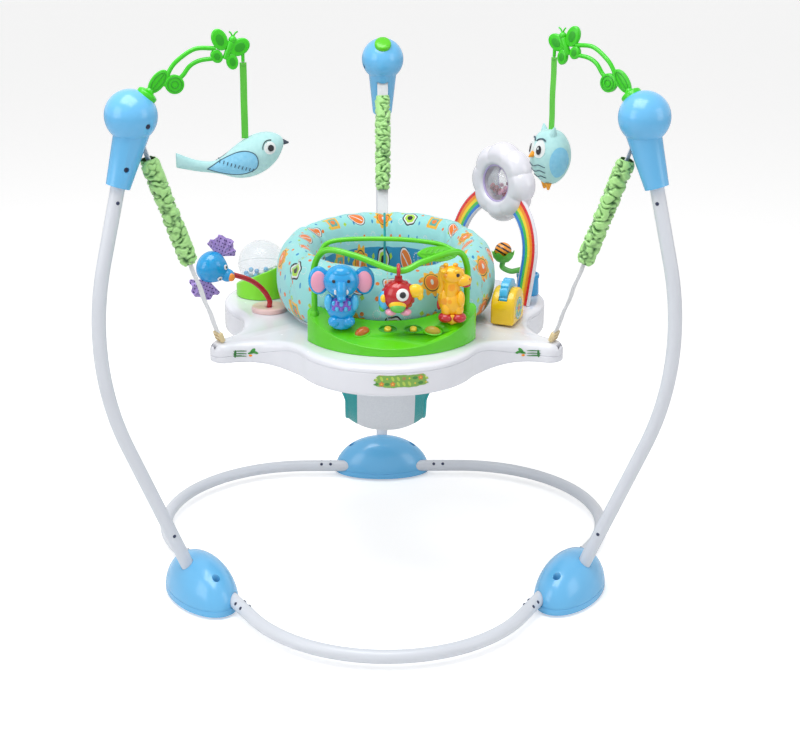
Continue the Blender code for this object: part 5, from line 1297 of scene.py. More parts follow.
BUTTONS = {"button_left": 0.0, "button_right": 0.040}
LENSES = (("lens_orange", -0.040, -0.215, 35.0, ORANGE_LENS), ("lens_amber", 0.070, -0.213, -15.0, AMBER_LENS))
body = slab("console_moulding", console_outline(), 0.055, Matrix.Translation(at(0, 0, 0.4478 + 0.0275)), LIME)
carved(body, block("above", (0.6, 0.6, 0.2), deck_frame(0.0, CONSOLE[1] - CONSOLE_R, 0.1), None))
rounded(body, 0.0052, 6, 40)
cutters = []
for x in BUTTONS.values():
    cutters.append(slab("recess", oval((0, 0), (0.0130, 0.0080), 0, 48), 0.02, deck_frame(x, -0.207, 0.0075), None))
    cutters.append(rod("hole", deck_at(x, -0.207, -0.012), deck_at(x, -0.207, 0.01), 0.0060, None))
for _, x, y, spin, _ in LENSES:
    cutters.append(ball("seat", deck_at(x, y), (0.0129, 0.0082, 0.0064), None, deck_frame(x, y, 0, spin).to_3x3()))
for x, y in (ELEPHANT_AT, GIRAFFE_AT):
    cutters.append(rod("hole", at(x, y, deck_z(y) - 0.0125), at(x, y, deck_z(y) + 0.02), 0.0047, None))
for way in (-1, 1):
    x = CONSOLE[0] + way * 0.120
    cutters.append(rod("hole", at(x, ARCH_Y, deck_z(ARCH_Y) - 0.0103), at(x, ARCH_Y, deck_z(ARCH_Y) + 0.02), 0.0054, None))
carved(body, *cutters)
fit(shaded(body, 35), "tray", "lime", "console_base")
trims = []
for x in BUTTONS.values():
    # Recess floor and rim in the darker green, which is painted shade
    floor = slab("floor", oval((0, 0), (0.0128, 0.0078), 0, 48), 0.0006, deck_frame(x, -0.207, -0.0022), RECESS_SHADE)
    carved(floor, rod("hole", deck_at(x, -0.207, -0.012), deck_at(x, -0.207, 0.01), 0.0061, None))
    trims.append(floor)
    rim = [deck_frame(x, -0.207, 0.0002) @ Vector((px, py, 0)) for px, py in oval((0, 0), (0.0137, 0.0087), 0, 48)]
    trims.append(run_of("rim", rim, 0.0008, RECESS_SHADE, 3, closed=True))
for _, x, y, spin, _ in LENSES:
    rim = [deck_frame(x, y, 0.0004, spin) @ Vector((px, py, 0)) for px, py in oval((0, 0), (0.0138, 0.0091), 0, 48)]
    trims.append(run_of("rim", rim, 0.0013, LIME, 3, closed=True))
fit(joined("console_rims", *trims), "tray", "lime")
for name, x in BUTTONS.items():
    made = turned(name + "_cap", [(0.0055, -0.005), (0.0055, 0.0008), (0.0051, 0.0019), (0.0042, 0.0026), (0.0026, 0.0029),
                                  (0.0010, 0.0030)], deck_frame(x, -0.207), BUTTON)
    fit(made, name, "button_yellow", name)
for name, x, y, spin, finish in LENSES:
    lens = ball(name + "_glass", deck_at(x, y), (0.0128, 0.0081, 0.0090), finish, deck_frame(x, y, 0, spin).to_3x3(), 48, 24)
    fit(lens, "tray", name, name)

left, right = CONSOLE[0] - 0.120, CONSOLE[0] + 0.120
low = deck_z(ARCH_Y) - 0.010
front = [(left, ARCH_Y, low), (left, ARCH_Y, 0.530), (left + 0.001, ARCH_Y - 0.001, 0.573), (left + 0.020, ARCH_Y - 0.010, 0.599),
         (left + 0.065, ARCH_Y - 0.030, 0.595), ARCH_LOW, (right - 0.070, ARCH_Y - 0.032, 0.587),
         (right - 0.018, ARCH_Y - 0.008, 0.596), (right - 0.001, ARCH_Y - 0.001, 0.573), (right, ARCH_Y, 0.530),
         (right, ARCH_Y, low)]
rear = [(left + 0.006, ARCH_Y, 0.588), (left + 0.030, ARCH_Y + 0.004, 0.610), (CONSOLE[0], ARCH_Y + 0.006, 0.613),
        (right - 0.050, ARCH_Y + 0.002, 0.607), (right - 0.020, ARCH_Y - 0.006, 0.597)]
parts = [run_of("front", [at(*spot) for spot in smooth_path(front, 10)], 0.0050, LIME, 6),
         run_of("rear", [at(*spot) for spot in smooth_path(rear, 10)], 0.0038, LIME, 6)]
for x in (left, right):
    parts.append(rod("post_foot", at(x, ARCH_Y, deck_z(ARCH_Y) - 0.004), at(x, ARCH_Y, deck_z(ARCH_Y) + 0.0050), 0.0078, LIME,
                     0.0064, soft=0.001))
leaf_x = Vector((0.93, 0.35, -0.10))
leaf_place = frame_of(at(right - 0.048, ARCH_Y - 0.018, 0.595), leaf_x, leaf_x.cross(Vector((0.0, 0.42, 0.90))))
shape = []
for step in range(72):
    angle = 2 * math.pi * step / 72
    shape.append((0.034 * math.cos(angle), 0.012 * math.sin(angle) * (1.0 - 0.25 * abs(math.cos(angle)) ** 3)))
parts.append(slab("leaf", shape, 0.0060, leaf_place, LIME, 0.0012))
for side in (1, -1):
    for index in range(6):
        start = Vector((-0.024 + index * 0.009, 0.0, side * 0.0032))
        end = start + Vector((0.0070, 0.0078 - abs(index - 2.5) * 0.0006, 0))
        for way in (1, -1):
            parts.append(run_of("vein", [leaf_place @ Vector((start.x, 0, start.z)),
                                         leaf_place @ Vector((end.x, end.y * way, start.z))], 0.0009, LIME, 2))
    parts.append(run_of("spine", [leaf_place @ Vector((-0.030, 0, side * 0.0032)), leaf_place @ Vector((0.031, 0, side * 0.0032))],
                        0.0011, LIME, 3))
fit(joined("console_arch_rails", *parts), "tray", "lime", "console_arch")


# Figures on the console

def eye(spot, way, radius, white=True):
    turn = Vector(way).to_track_quat("Z", "Y").to_matrix()
    parts = []
    if white:
        parts.append(ball("white", spot, (radius, radius, radius * 0.35), EYE_WHITE, turn, 24, 12))
    pupil = radius * (0.55 if white else 1.0)
    parts.append(ball("pupil", spot + Vector(way).normalized() * radius * (0.22 if white else 0.0),
                      (pupil, pupil, pupil * 0.4), BLACK, turn, 20, 10))
    return parts


PURPLE = moulded("toy_purple_plastic", (0.22, 0.10, 0.60), 0.22, 0.4)
TOY_LIGHT = moulded("toy_light_blue_plastic", (0.06, 0.50, 0.85), 0.22, 0.4)
TOY_GREEN = moulded("toy_green_plastic", (0.12, 0.55, 0.08), 0.25, 0.3)
x, y = ELEPHANT_AT
deck = deck_z(y)


def near(dx, dy, dz):
    return at(x + dx, y + dy, deck + dz)


parts = [ball("body", near(0, 0, 0.033), (0.0235, 0.0190, 0.0220), TOY_BLUE, segments=48, rings=24),
         ball("head", near(0, -0.003, 0.077), (0.0280, 0.0215, 0.0255), TOY_BLUE, segments=48, rings=24),
         ball("brow", near(0, -0.009, 0.091), (0.0170, 0.0130, 0.0110), TOY_BLUE),
         ball("cheeks", near(0, -0.010, 0.066), (0.0205, 0.0150, 0.0120), TOY_BLUE),
         rod("seat", near(0, 0, 0.0006), near(0, 0, 0.020), 0.0150, TOY_BLUE, 0.0185, soft=0.003),
         rod("spigot", near(0, 0, -0.012), near(0, 0, 0.012), 0.0040, TOY_BLUE),
         ball("chest", near(0, -0.009, 0.041), (0.0165, 0.0125, 0.0115), PURPLE, segments=48, rings=24)]
for way in (-1, 1):
    parts.append(ball("ear", near(way * 0.035, 0.002, 0.076), (0.0165, 0.0055, 0.0225), TOY_BLUE, segments=40, rings=20))
    parts.append(ball("inner_ear", near(way * 0.0355, -0.0026, 0.075), (0.0118, 0.0038, 0.0172), PINK))
    parts.append(ball("arm", near(way * 0.0200, -0.007, 0.043), (0.0070, 0.0085, 0.0135), TOY_LIGHT))
    parts.append(ball("toe", near(way * 0.0110, -0.010, 0.0135), (0.0100, 0.0100, 0.0090), TOY_BLUE))
    parts.append(ball("tusk", near(way * 0.0090, -0.0225, 0.064), (0.0022, 0.0022, 0.0042), EYE_WHITE, None, 20, 12))
    parts += eye(near(way * 0.0115, -0.0225, 0.081), (way * 0.35, -1, 0.1), 0.0027, False)
for row, height in enumerate((0.036, 0.044)):
    for index in range(-2, 3):
        angle = math.radians(-90 + index * 26)
        spot = near(0.0150 * math.cos(angle), -0.009 + 0.0115 * math.sin(angle), height)
        parts.append(ball("facet", spot, (0.0034, 0.0030, 0.0042), (PURPLE, TOY_LIGHT)[(index + row) % 2], None, 8, 6))
trunk = smooth_path([near(0, -0.021, 0.077), near(0, -0.027, 0.068), near(0, -0.0285, 0.059), near(0.001, -0.0320, 0.053)], 6)
parts.append(run_of("trunk", trunk, 0.0088, TOY_BLUE, 8, radii=[1.0 - 0.30 * i / (len(trunk) - 1) for i in range(len(trunk))]))
fit(joined("elephant_figure", *parts), "elephant", "elephant_blue", "elephant")


def spotted(name, colour, spots, scale):
    made = Finish(name, 0.22)
    cells = made.tree.nodes.new("ShaderNodeTexVoronoi")
    cells.inputs["Scale"].default_value = scale
    made.put(cells.inputs["Vector"], made.coords.outputs["Object"])
    made.colour(made.mix(made.under(cells.outputs["Distance"], 0.34), colour, spots))
    made.shader.inputs["Coat Weight"].default_value = 0.35
    made.bump(made.noise(500.0), 0.05, 0.0003)
    return made.material


HIDE = spotted("giraffe_spotted_plastic", (0.96, 0.50, 0.01), (0.93, 0.36, 0.005), 60.0)
x, y = GIRAFFE_AT
deck = deck_z(y)
parts = [ball("body", near(0.001, 0, 0.035), (0.0185, 0.0150, 0.0225), HIDE, segments=48, rings=24),
         ball("back", near(-0.011, 0.002, 0.038), (0.0120, 0.0125, 0.0190), HIDE, segments=40, rings=20),
         rod("neck", near(-0.001, 0, 0.044), near(-0.001, 0, 0.076), 0.0135, HIDE, 0.0125, soft=0.003),
         ball("head", near(0.000, -0.001, 0.078), (0.0190, 0.0150, 0.0150), HIDE, segments=48, rings=24),
         ball("muzzle", near(0.0165, -0.004, 0.070), (0.0130, 0.0115, 0.0100), YELLOW, segments=40, rings=20),
         ball("lip", near(0.0200, -0.004, 0.0635), (0.0085, 0.0090, 0.0045), RED),
         ball("nostril", near(0.0255, -0.0105, 0.0735), (0.0016, 0.0012, 0.0016), RED, None, 16, 8),
         ball("brow", near(0.0065, -0.0125, 0.0865), (0.0062, 0.0040, 0.0034), YELLOW),
         rod("seat", near(0, 0, 0.0006), near(0, 0, 0.016), 0.0105, YELLOW, 0.0135, soft=0.003),
         rod("spigot", near(0, 0, -0.012), near(0, 0, 0.012), 0.0040, YELLOW)]
mane = smooth_path([near(-0.0150, 0.000, 0.090), near(-0.0185, 0.001, 0.076), near(-0.0160, 0.001, 0.062),
                    near(-0.0195, 0.002, 0.048)], 6)
parts.append(run_of("mane", mane, 0.0050, YELLOW, 5))
for dx, lean in ((-0.009, -0.002), (0.003, 0.001)):
    parts.append(rod("horn", near(dx, 0, 0.085), near(dx + lean, 0, 0.0935), 0.0034, YELLOW, 0.0030))
    parts.append(ball("knob", near(dx + lean, 0, 0.0940), (0.0042, 0.0042, 0.0032), HIDE))
for way in (-1, 1):
    parts.append(ball("ear", near(-0.0145, way * 0.012, 0.087), (0.0050, 0.0070, 0.0034), YELLOW))
    parts.append(ball("leg", near(way * 0.0095, -0.004, 0.024), (0.0085, 0.0100, 0.0125), HIDE))
    parts.append(ball("hoof", near(way * 0.0105, -0.005, 0.0105), (0.0118, 0.0125, 0.0085), RED))
parts += eye(near(0.0075, -0.0145, 0.081), (0.4, -1, 0.15), 0.0030, False)
parts.append(ball("arm", near(0.0125, -0.011, 0.042), (0.0065, 0.0075, 0.0130), HIDE))
parts.append(ball("tail", near(-0.0205, 0.001, 0.030), (0.0038, 0.0038, 0.0090), RED))
fit(joined("giraffe_figure", *parts), "giraffe", "giraffe_yellow", "giraffe")

x, y, z = ARCH_LOW
deck = z
parts = [ball("body", near(0, 0, -0.040), (0.0240, 0.0190, 0.0245), RED, segments=56, rings=28),
         block("strap", (0.0115, 0.0044, 0.0170), Matrix.Translation(near(0, 0, -0.0160)), RED, 0.0014)]
ring = [near(0, 0.0086 * math.cos(math.radians(8 * step - 70)), 0.0086 * math.sin(math.radians(8 * step - 70)))
        for step in range(41)]
parts.append(run_of("loop", ring, 0.0030, RED, 4))
teeth = []
for step in range(120):
    angle = 2 * math.pi * step / 120
    reach = 0.0248 + 0.0020 * abs(math.cos(angle * 9))
    teeth.append((reach * math.cos(angle), reach * math.sin(angle)))
parts.append(slab("crest", teeth, 0.0070, frame_of(near(0, 0.002, -0.040), (1, 0, 0), (0, -1, 0)), RED, 0.0014))
parts.append(ball("belly", near(-0.001, -0.0080, -0.0500), (0.0150, 0.0120, 0.0120), HOUSING))
parts.append(ball("bib", near(-0.001, -0.0105, -0.0550), (0.0125, 0.0110, 0.0095), TOY_GREEN))
parts += eye(near(0.0060, -0.0170, -0.0340), (0.15, -1, 0.15), 0.0100)
parts.append(ball("beak", near(0.0265, -0.004, -0.031), (0.0125, 0.0085, 0.0110), HOUSING, segments=40, rings=20))
parts.append(ball("beak_tip", near(0.0335, -0.005, -0.0375), (0.0050, 0.0056, 0.0085), HOUSING))
parts.append(ball("wing", near(-0.0215, 0.000, -0.047), (0.0095, 0.0080, 0.0160), TOY_LIGHT))
parts.append(ball("wing_tip", near(-0.0245, 0.001, -0.058), (0.0056, 0.0056, 0.0080), TOY_GREEN))
parts.append(ball("wing_spot", near(-0.0225, -0.005, -0.043), (0.0056, 0.0050, 0.0070), HOUSING))
for way in (-1, 1):
    parts.append(ball("foot", near(way * 0.0115, -0.006, -0.0645), (0.0090, 0.0090, 0.0058), PINK))
fit(joined("parrot_figure", *parts), "parrot", "parrot_red", "parrot")


# Stalk toy

x, y = STALK_AT
foot_z = 0.4546
cup = turned("stalk_cup_moulding", [(0.0300, 0.0), (0.0300, 0.0055), (0.0292, 0.0070), (0.0265, 0.0078), (0.0160, 0.0066),
             (0.0110, 0.0062), (0.0076, 0.0062), (0.0064, 0.0052), (0.0062, 0.0020)],
             Matrix.Translation(at(x, y, 0.4478)), CUP_PINK, 64)
fit(cup, "tray", "parrot_red", "stalk_cup")
line = [(x, y, foot_z), (x, y, foot_z + 0.0110), (x - 0.012, y - 0.007, foot_z + 0.0330),
        (x - 0.034, y - 0.020, foot_z + 0.0530), (x - 0.078, y - 0.044, foot_z + 0.0730)]
path = [at(x, y, foot_z - 0.0045 * down) for down in (0.98, 0.85, 0.50)] + [at(*spot) for spot in smooth_path(line, 10)]
stalk = run_of("stalk_bar", path, 0.0045, RED, 6, radii=[0.20, 0.52, 0.87] + [1.0] * (len(path) - 3))
fit(stalk, "stalk_toy", "parrot_red", "stalk")

along = Vector((0.74, 0.0, -0.40)).normalized()
face = heading(300.0)
turn = frame_of(at(*BUG_AT), along, along.cross(face).cross(along)).to_3x3()
bug = ball("bug_shell", (0, 0, 0), (1.0, 1.0, 1.0), TOY_BLUE, None, 64, 32)
for vertex in bug.data.vertices:
    x, y, z = vertex.co
    taper = 1.0 - 0.22 * x - 0.10 * x * x
    vertex.co = (x * 0.0275, y * 0.0262 * taper, z * 0.0225 * taper)
settle(bug, Matrix.Translation(at(*BUG_AT)) @ turn.to_4x4())
spots = [shaded(bug, 180)]
nose_at = at(*BUG_AT) + along * 0.026
spots.append(ball("snout", nose_at, (0.0120, 0.0120, 0.0110), TOY_BLUE, segments=40, rings=20))
spots.append(ball("mouth", nose_at + along * 0.0035 + face * 0.0080, (0.0062, 0.0050, 0.0070), ORANGE))
side_way = turn @ Vector((0, 1, 0))
up_way = turn @ Vector((0, 0, 1))
for way in (-1, 1):
    spot = at(*BUG_AT) + along * 0.0175 + side_way * way * 0.0105 + up_way * 0.0125
    spots += eye(spot, along * 0.6 + side_way * way * 0.4 + up_way * 0.5, 0.0044)
fit(joined("bug_figure", *spots), "stalk_toy", "elephant_blue", "bug_body")

out = heading(0.0) * math.cos(math.radians(58)) + Vector((0, 0, math.sin(math.radians(58))))
out = (out - face * out.dot(face)).normalized()
wing_place = frame_of(at(*BUG_AT), out, face)


def dotted(name, colour, dots, pitch, radius):
    made = Print(name, colour)
    spot, number = made.cell(pitch)
    made.lay(made.disc(spot, radius), dots)
    return made.done(0.0008)


WING_CLOTH = dotted("lilac_dotted_cloth", (0.50, 0.34, 0.78), (0.05, 0.01, 0.20), 0.0058, 0.0012)
for way, side in ((1, "upper"), (-1, "lower")):
    rows = []
    for layer in (0.0008, -0.0008):
        part = []
        for row in range(15):
            share = row / 14
            ring = []
            for step in range(49):
                spread = math.radians(-78 + 156 * step / 48)
                reach = (0.0265 + 0.0045 * abs(math.sin(3.6 * spread))) * (0.10 + 0.90 * share)
                fold = 0.0034 * share * share * math.sin(spread * 11.0) + 0.0012 * share * math.sin(spread * 23)
                root = 0.0215 + 0.0045 * share
                ring.append(wing_place @ Vector((way * (root + reach * math.cos(spread)), way * reach * math.sin(spread) * 0.96,
                                                 fold + layer)))
            part.append(ring)
        rows += part if layer > 0 else part[::-1]
    wing = skin("bug_wing_" + side, rows, WING_CLOTH, closed=True, loop=False)
    pick(wing)
    bpy.ops.object.mode_set(mode="EDIT")
    bpy.ops.mesh.select_all(action="SELECT")
    bpy.ops.mesh.fill_holes(sides=0)
    bpy.ops.mesh.normals_make_consistent(inside=False)
    bpy.ops.object.mode_set(mode="OBJECT")
    layer = wing.data.uv_layers.new(name="cloth")
    flat = wing_place.inverted()
    for loop in wing.data.loops:
        spot = flat @ wing.data.vertices[loop.vertex_index].co
        layer.data[loop.index].uv = (spot.x, spot.y)
    fit(shaded(wing, 60), "stalk_toy", "wing_purple", "bug_wings")


# Bead dome

centre = at(*DOME_AT)


def clear_ball(name, middle, radius, wall, body, slot, *nodes):
    shell = ball(name, middle, (radius,) * 3, CLEAR, segments=64, rings=32)
    carved(shell, ball("hollow", middle, (radius - wall,) * 3, None, segments=64, rings=32))
    return fit(shaded(shell, 180), body, slot, *nodes)


clear_ball("bead_dome_shell", centre, DOME_R, 0.0014, "bead_dome", "clear_plastic", "bead_dome")
band = [centre + heading(step * 5.0) * (DOME_R + 0.0001) + Vector((0, 0, -0.002)) for step in range(72)]
fit(run_of("bead_dome_seam", band, 0.0007, CLEAR, 3, closed=True), "bead_dome", "clear_plastic")
beads = []
reach = DOME_R - 0.0014 - 0.0044 - 0.0008
for index in range(38):
    down = math.radians(90 - 62 * math.sqrt((index + 0.5) / 38))
    spot = centre + heading(index * 137.5) * reach * math.cos(down) - Vector((0, 0, reach * math.sin(down)))
    beads.append(ball("bead", spot, (0.0044,) * 3, (TOY_BLUE, EYE_WHITE, TOY_LIGHT)[index % 3], None, 20, 10))
fit(joined("dome_bead_set", *beads), "bead_dome", "bead_blue", "dome_beads")

outward_way = Vector((DOME_AT[0], DOME_AT[1], 0)).normalized()
wedge = turned("dome_wedge", [(0.0455, 0.0), (0.0452, 0.0030), (0.0450, 0.080)], Matrix.Translation(
    Vector((centre.x, centre.y, 0.4478))), PALE_LIME, 96)
slope = outward_way * 0.090 + Vector((0, 0, 0.466 - 0.507))
side = Vector((0, 0, 1)).cross(outward_way)
normal = slope.cross(side).normalized()
normal = normal if normal.z > 0 else -normal
middle = Vector((centre.x, centre.y, 0.4865))
above = frame_of(middle + normal * 0.1, slope - normal * slope.dot(normal), normal)
slope_low = Vector((0, 0, 0.507 - 0.466))
carved(wedge, block("above", (0.4, 0.4, 0.2), above, None))
rounded(wedge, 0.0024, 4, 35)
carved(wedge, ball("seat", centre, (DOME_R + 0.0006,) * 3, None, segments=64, rings=32))
fit(shaded(wedge, 35), "tray", "lime", "dome_base")


# Clicker

axle = heading(-22.0)
click_place = frame_of(polar(0.210, -17.0, 0.4478), axle.cross(Vector((0, 0, -1))), axle)
shape = [(-0.031, 0.0), (0.031, 0.0)] + arc((0, 0.054 - 0.031 * 0.86), 0.031, -8, 188, 48)
house = slab("clicker_housing", shape, 0.040, click_place, HOUSING, 0.0045, 5)
hub = click_place @ Vector((0, 0.046, 0))
pocket = rod("pocket", hub - axle * 0.0076, hub + axle * 0.0076, 0.0285, None, sides=96)
slit = block("slit", (0.050, 0.0016, 0.060), click_place @ Matrix.Translation((0, 0.012, 0)), None)
core = slab("core", [(px * 0.955, py) for px, py in shape], 0.0385, click_place, None, 0.0040, 5)
carved(slit, core)
carved(house, pocket, slit)
fit(shaded(house, 35), "tray", "button_yellow", "clicker_body")
shape = []
for step in range(160):
    angle = 2 * math.pi * step / 160
    notch = max(0.0, math.cos(angle * 10)) ** 4
    shape.append(((0.0268 - 0.0024 * notch) * math.cos(angle), (0.0268 - 0.0024 * notch) * math.sin(angle)))
wheel_place = click_place @ Matrix.Translation((0, 0.046, 0))
wheel = [slab("wheel", shape, 0.0138, wheel_place, TOY_LIGHT, 0.0012)]
for way in (-1, 1):
    wheel.append(rod("hub", hub + axle * way * 0.0064, hub + axle * way * 0.0072, 0.0110, RED, soft=0.0002))
wheel.append(rod("axle", hub - axle * 0.0158, hub + axle * 0.0158, 0.0030, TOY_BLUE))
fit(joined("clicker_gear", *wheel), "clicker_wheel", "elephant_blue", "clicker_wheel")


def dial_print(name):
    made = Print(name, (0.02, 0.30, 0.62), 0.35)
    spot = made.uv
    angle = made.sum("ARCTAN2", *reversed(made.split(spot)))
    rays = made.sum("SINE", made.sum("MULTIPLY", angle, 8.0))
    made.lay(made.sum("GREATER_THAN", rays, 0.0), (0.25, 0.70, 0.10))
    made.lay(made.disc(spot, 0.0075), HOUSING_INK)
    made.lay(made.disc(spot, 0.0040), RED_INK)
    made.lay(made.ring(spot, 0.0155, 0.0009), WHITE_INK)
    return made.done(0.0006)


HOUSING_INK = (0.95, 0.60, 0.02)
RED_INK = (0.60, 0.02, 0.02)
DIAL = dial_print("dial_sticker")


def sticker(name, outline, place, finish, body, slot):
    # Thin printed label with its UV map in metres from its own middle
    label = slab(name, outline, 0.0003, place, finish)
    flat = place.inverted()
    layer = label.data.uv_layers.active
    for loop in label.data.loops:
        spot = flat @ label.data.vertices[loop.vertex_index].co
        layer.data[loop.index].uv = (spot.x, spot.y)
    return fit(label, body, slot)


for way, side in ((-1, "inner"), (1, "outer")):
    spot = click_place @ Matrix.Translation((0, 0.024, way * 0.02015)) @ Matrix.Rotation(0 if way > 0 else math.pi, 4, "Y")
    sticker("clicker_dial_" + side, oval((0, 0), (0.0185, 0.0185), 0, 48), spot, DIAL, "tray", "button_yellow")


# Flower in its pot

x, y = POT_AT
pot = [turned("pot", [(0.0195, 0.0), (0.0200, 0.0020), (0.0188, 0.0290), (0.0200, 0.0300), (0.0202, 0.0350), (0.0194, 0.0370),
                      (0.0168, 0.0372), (0.0160, 0.0350), (0.0040, 0.0345)], Matrix.Translation(at(x, y, 0.4478)),
              TOY_BLUE, 56)]
fx, fy, fz = FLOWER_AT
stem = smooth_path([(x, y, 0.4778), (x - 0.010, y - 0.003, 0.4918), (fx + 0.016, fy + 0.004, fz - 0.018),
                    (fx, fy, fz - 0.010), (fx, fy, fz - 0.001)], 8)
pot.append(run_of("stem", [at(*spot) for spot in stem], 0.0048, TOY_GREEN, 5))
pot.append(rod("spindle", at(fx, fy, fz - 0.004), at(fx, fy, fz + 0.009), 0.0028, TOY_BLUE))
fit(joined("flower_pot", *pot), "tray", "elephant_blue", "flower_base")
leafy = Finish("flower_leaf_plastic", 0.28)
leafy.colour(leafy.mix(leafy.noise(40.0), (0.08, 0.42, 0.03), (0.14, 0.62, 0.05)))
leafy.bump(leafy.noise(400.0), 0.05, 0.0003)
cup = turned("cup", [(0.0070, 0.0), (0.0110, 0.0015), (0.0170, 0.0080), (0.0198, 0.0160), (0.0200, 0.0180), (0.0188, 0.0178),
                     (0.0160, 0.0120), (0.0110, 0.0060), (0.0030, 0.0050)], Matrix.Translation(at(fx, fy, fz)),
             leafy.material, 96)
for vertex in cup.data.vertices:
    away = vertex.co - at(fx, fy, fz)
    if away.z > 0.010:
        vertex.co.z += 0.0030 * math.cos(6 * math.atan2(away.y, away.x)) * (away.z - 0.010) / 0.008
striped = Finish("striped_ball_plastic", 0.22)
spot = striped.vector("SUBTRACT", striped.coords.outputs["Object"], tuple(at(fx, fy, fz + 0.021)))
bands = striped.sum("SINE", striped.sum("MULTIPLY", striped.vector("DOT_PRODUCT", spot, (0.5, 0.2, 0.84)), 900.0))
striped.colour(striped.mix(striped.sum("GREATER_THAN", bands, 0.25), (0.95, 0.32, 0.02), (0.015, 0.012, 0.015)))
striped.shader.inputs["Coat Weight"].default_value = 0.35
bud = ball("bud", at(fx, fy, fz + 0.021), (0.0148, 0.0148, 0.0141), striped.material, segments=48, rings=24)
fit(joined("flower_bloom", cup, bud), "flower_spinner", "giraffe_yellow", "flower_spinner")


# Rainbow, cloud and rattle

outward_way = heading(RAINBOW_AZ)
lean = math.radians(RAINBOW_LEAN)
rise = Vector((0, 0, 1)) * math.cos(lean) + outward_way * math.sin(lean)
span = heading(RAINBOW_AZ + 90.0)
rainbow_place = frame_of(polar(0.215, RAINBOW_AZ, TRAY_TOP), span, span.cross(rise))
crown = (0.618 - TRAY_TOP) / math.cos(lean)
arch_z = crown - 0.102
cloud_at = polar(0.215 + (CLOUD_Z - TRAY_TOP) * math.tan(lean), RAINBOW_AZ, CLOUD_Z)
cloud_axis = heading(CLOUD_AZ)
cloud_place = frame_of(cloud_at, Vector((0, 0, 1)).cross(cloud_axis), cloud_axis)


def arch_band(name, inner, outer, thick, depth, finish, soft=0.0):
    shape = [(-outer, 0.0003), (-inner, 0.0003)] + arc((0, arch_z), inner, 180, 0, 64)
    shape += [(inner, 0.0003), (outer, 0.0003)] + arc((0, arch_z), outer, 0, 180, 64)
    made = slab(name, shape, thick, rainbow_place @ Matrix.Translation((0, 0, depth)), finish, soft, 2)
    window = rod("window", cloud_at - cloud_axis * 0.06, cloud_at + cloud_axis * 0.06, 0.0345, None, sides=48)
    return shaded(carved(made, window), 35)


arch = [arch_band("arch", 0.0840, 0.1200, 0.0060, 0.0, CLOUD, 0.0012)]
inks = (("blue", (0.03, 0.22, 0.70)), ("green", (0.06, 0.55, 0.10)), ("yellow", (0.98, 0.72, 0.02)),
        ("orange", (0.96, 0.30, 0.01)), ("red", (0.78, 0.015, 0.02)))
for index, (hue, ink) in enumerate(inks):
    low = 0.0868 + index * 0.0061
    finish = moulded("rainbow_" + hue + "_print", ink, 0.28, 0.25)
    for face in (1, -1):
        arch.append(arch_band("band", low, low + 0.0061, 0.0006, face * 0.0031, finish))
fit(joined("rainbow_bands", *arch), "tray", "cloud_white", "rainbow_arch")

half = 0.0250
profile = smooth_path([(0.0, -half * 0.62, 0), (0.10, -half * 0.86, 0), (0.30, -half * 0.93, 0), (0.62, -half * 0.90, 0),
                       (0.90, -half * 0.52, 0), (1.0, 0.0, 0), (0.90, half * 0.52, 0), (0.62, half * 0.90, 0),
                       (0.30, half * 0.93, 0), (0.10, half * 0.86, 0), (0.0, half * 0.62, 0)], 4)
rings = []
for point in profile:
    ring = []
    for step in range(160):
        angle = 2 * math.pi * step / 160
        scallop = 0.0050 * abs(math.cos(4 * angle)) ** 0.8
        dent = 0.10 * (1 - abs(math.cos(4 * angle))) ** 2
        rim = 0.0700 - 0.0050 + scallop
        share = point.x
        radius = 0.0310 + (rim - 0.0310) * share
        ring.append(cloud_place @ Vector((radius * math.cos(angle), radius * math.sin(angle),
                                          point.y * (1.0 - dent * share))))
    rings.append(ring)
cloud = lofted("cloud_ring", rings, CLOUD, closed=True)
fit(shaded(cloud, 60), "tray", "cloud_white")
LAVENDER = moulded("lavender_rim_plastic", (0.52, 0.42, 0.72), 0.25, 0.3)
trims = []
for face in (-1, 1):
    ring = [cloud_place @ Vector((0.0318 * math.cos(a), 0.0318 * math.sin(a), face * 0.0168))
            for a in (2 * math.pi * step / 96 for step in range(96))]
    trims.append(run_of("rim", ring, 0.0021, LAVENDER, 4, closed=True))
for way in (-1, 1):
    trims.append(rod("pin", cloud_at + Vector((0, 0, way * 0.0255)), cloud_at + Vector((0, 0, way * 0.0345)), 0.0024, LAVENDER))
for index in range(4):
    angle = math.radians(45 + 90 * index)
    spot = cloud_place @ Vector((0.0560 * math.cos(angle), 0.0560 * math.sin(angle), -0.0212))
    trims.append(ball("screw", spot, (0.0022, 0.0022, 0.0022), DARK, None, 16, 8))
fit(joined("cloud_trim", *trims), "tray", "cloud_white")
clear_ball("rattle_shell", cloud_at, 0.0280, 0.0014, "rattle", "clear_plastic", "rattle_ball")
BURGUNDY = moulded("burgundy_bead", (0.30, 0.01, 0.04), 0.18, 0.4)
beads = []
reach = 0.0280 - 0.0014 - 0.0039 - 0.0007
for index in range(26):
    down = math.radians(90 - 74 * math.sqrt((index + 0.5) / 26))
    spot = cloud_at + heading(index * 137.5) * reach * math.cos(down) - Vector((0, 0, reach * math.sin(down)))
    beads.append(ball("bead", spot, (0.0039,) * 3, (BURGUNDY, BURGUNDY, RED, PINK)[index % 4], None, 20, 10))
fit(joined("rattle_bead_set", *beads), "rattle", "bead_mix", "rattle_beads")


# Toy arms

def arm_frame(side):
    way = heading(ARM_AZ[side])
    return frame_of(leg_point(LEG_AZ[side], *HEAD_AT), way, way.cross(Vector((0, 0, 1))))


# Darker green for the lines and inner panels on the toy arms: painted shade in their moulded grooves
GROOVE_SHADE = moulded("dark_green_groove", (0.015, 0.36, 0.004), 0.4, 0.0)


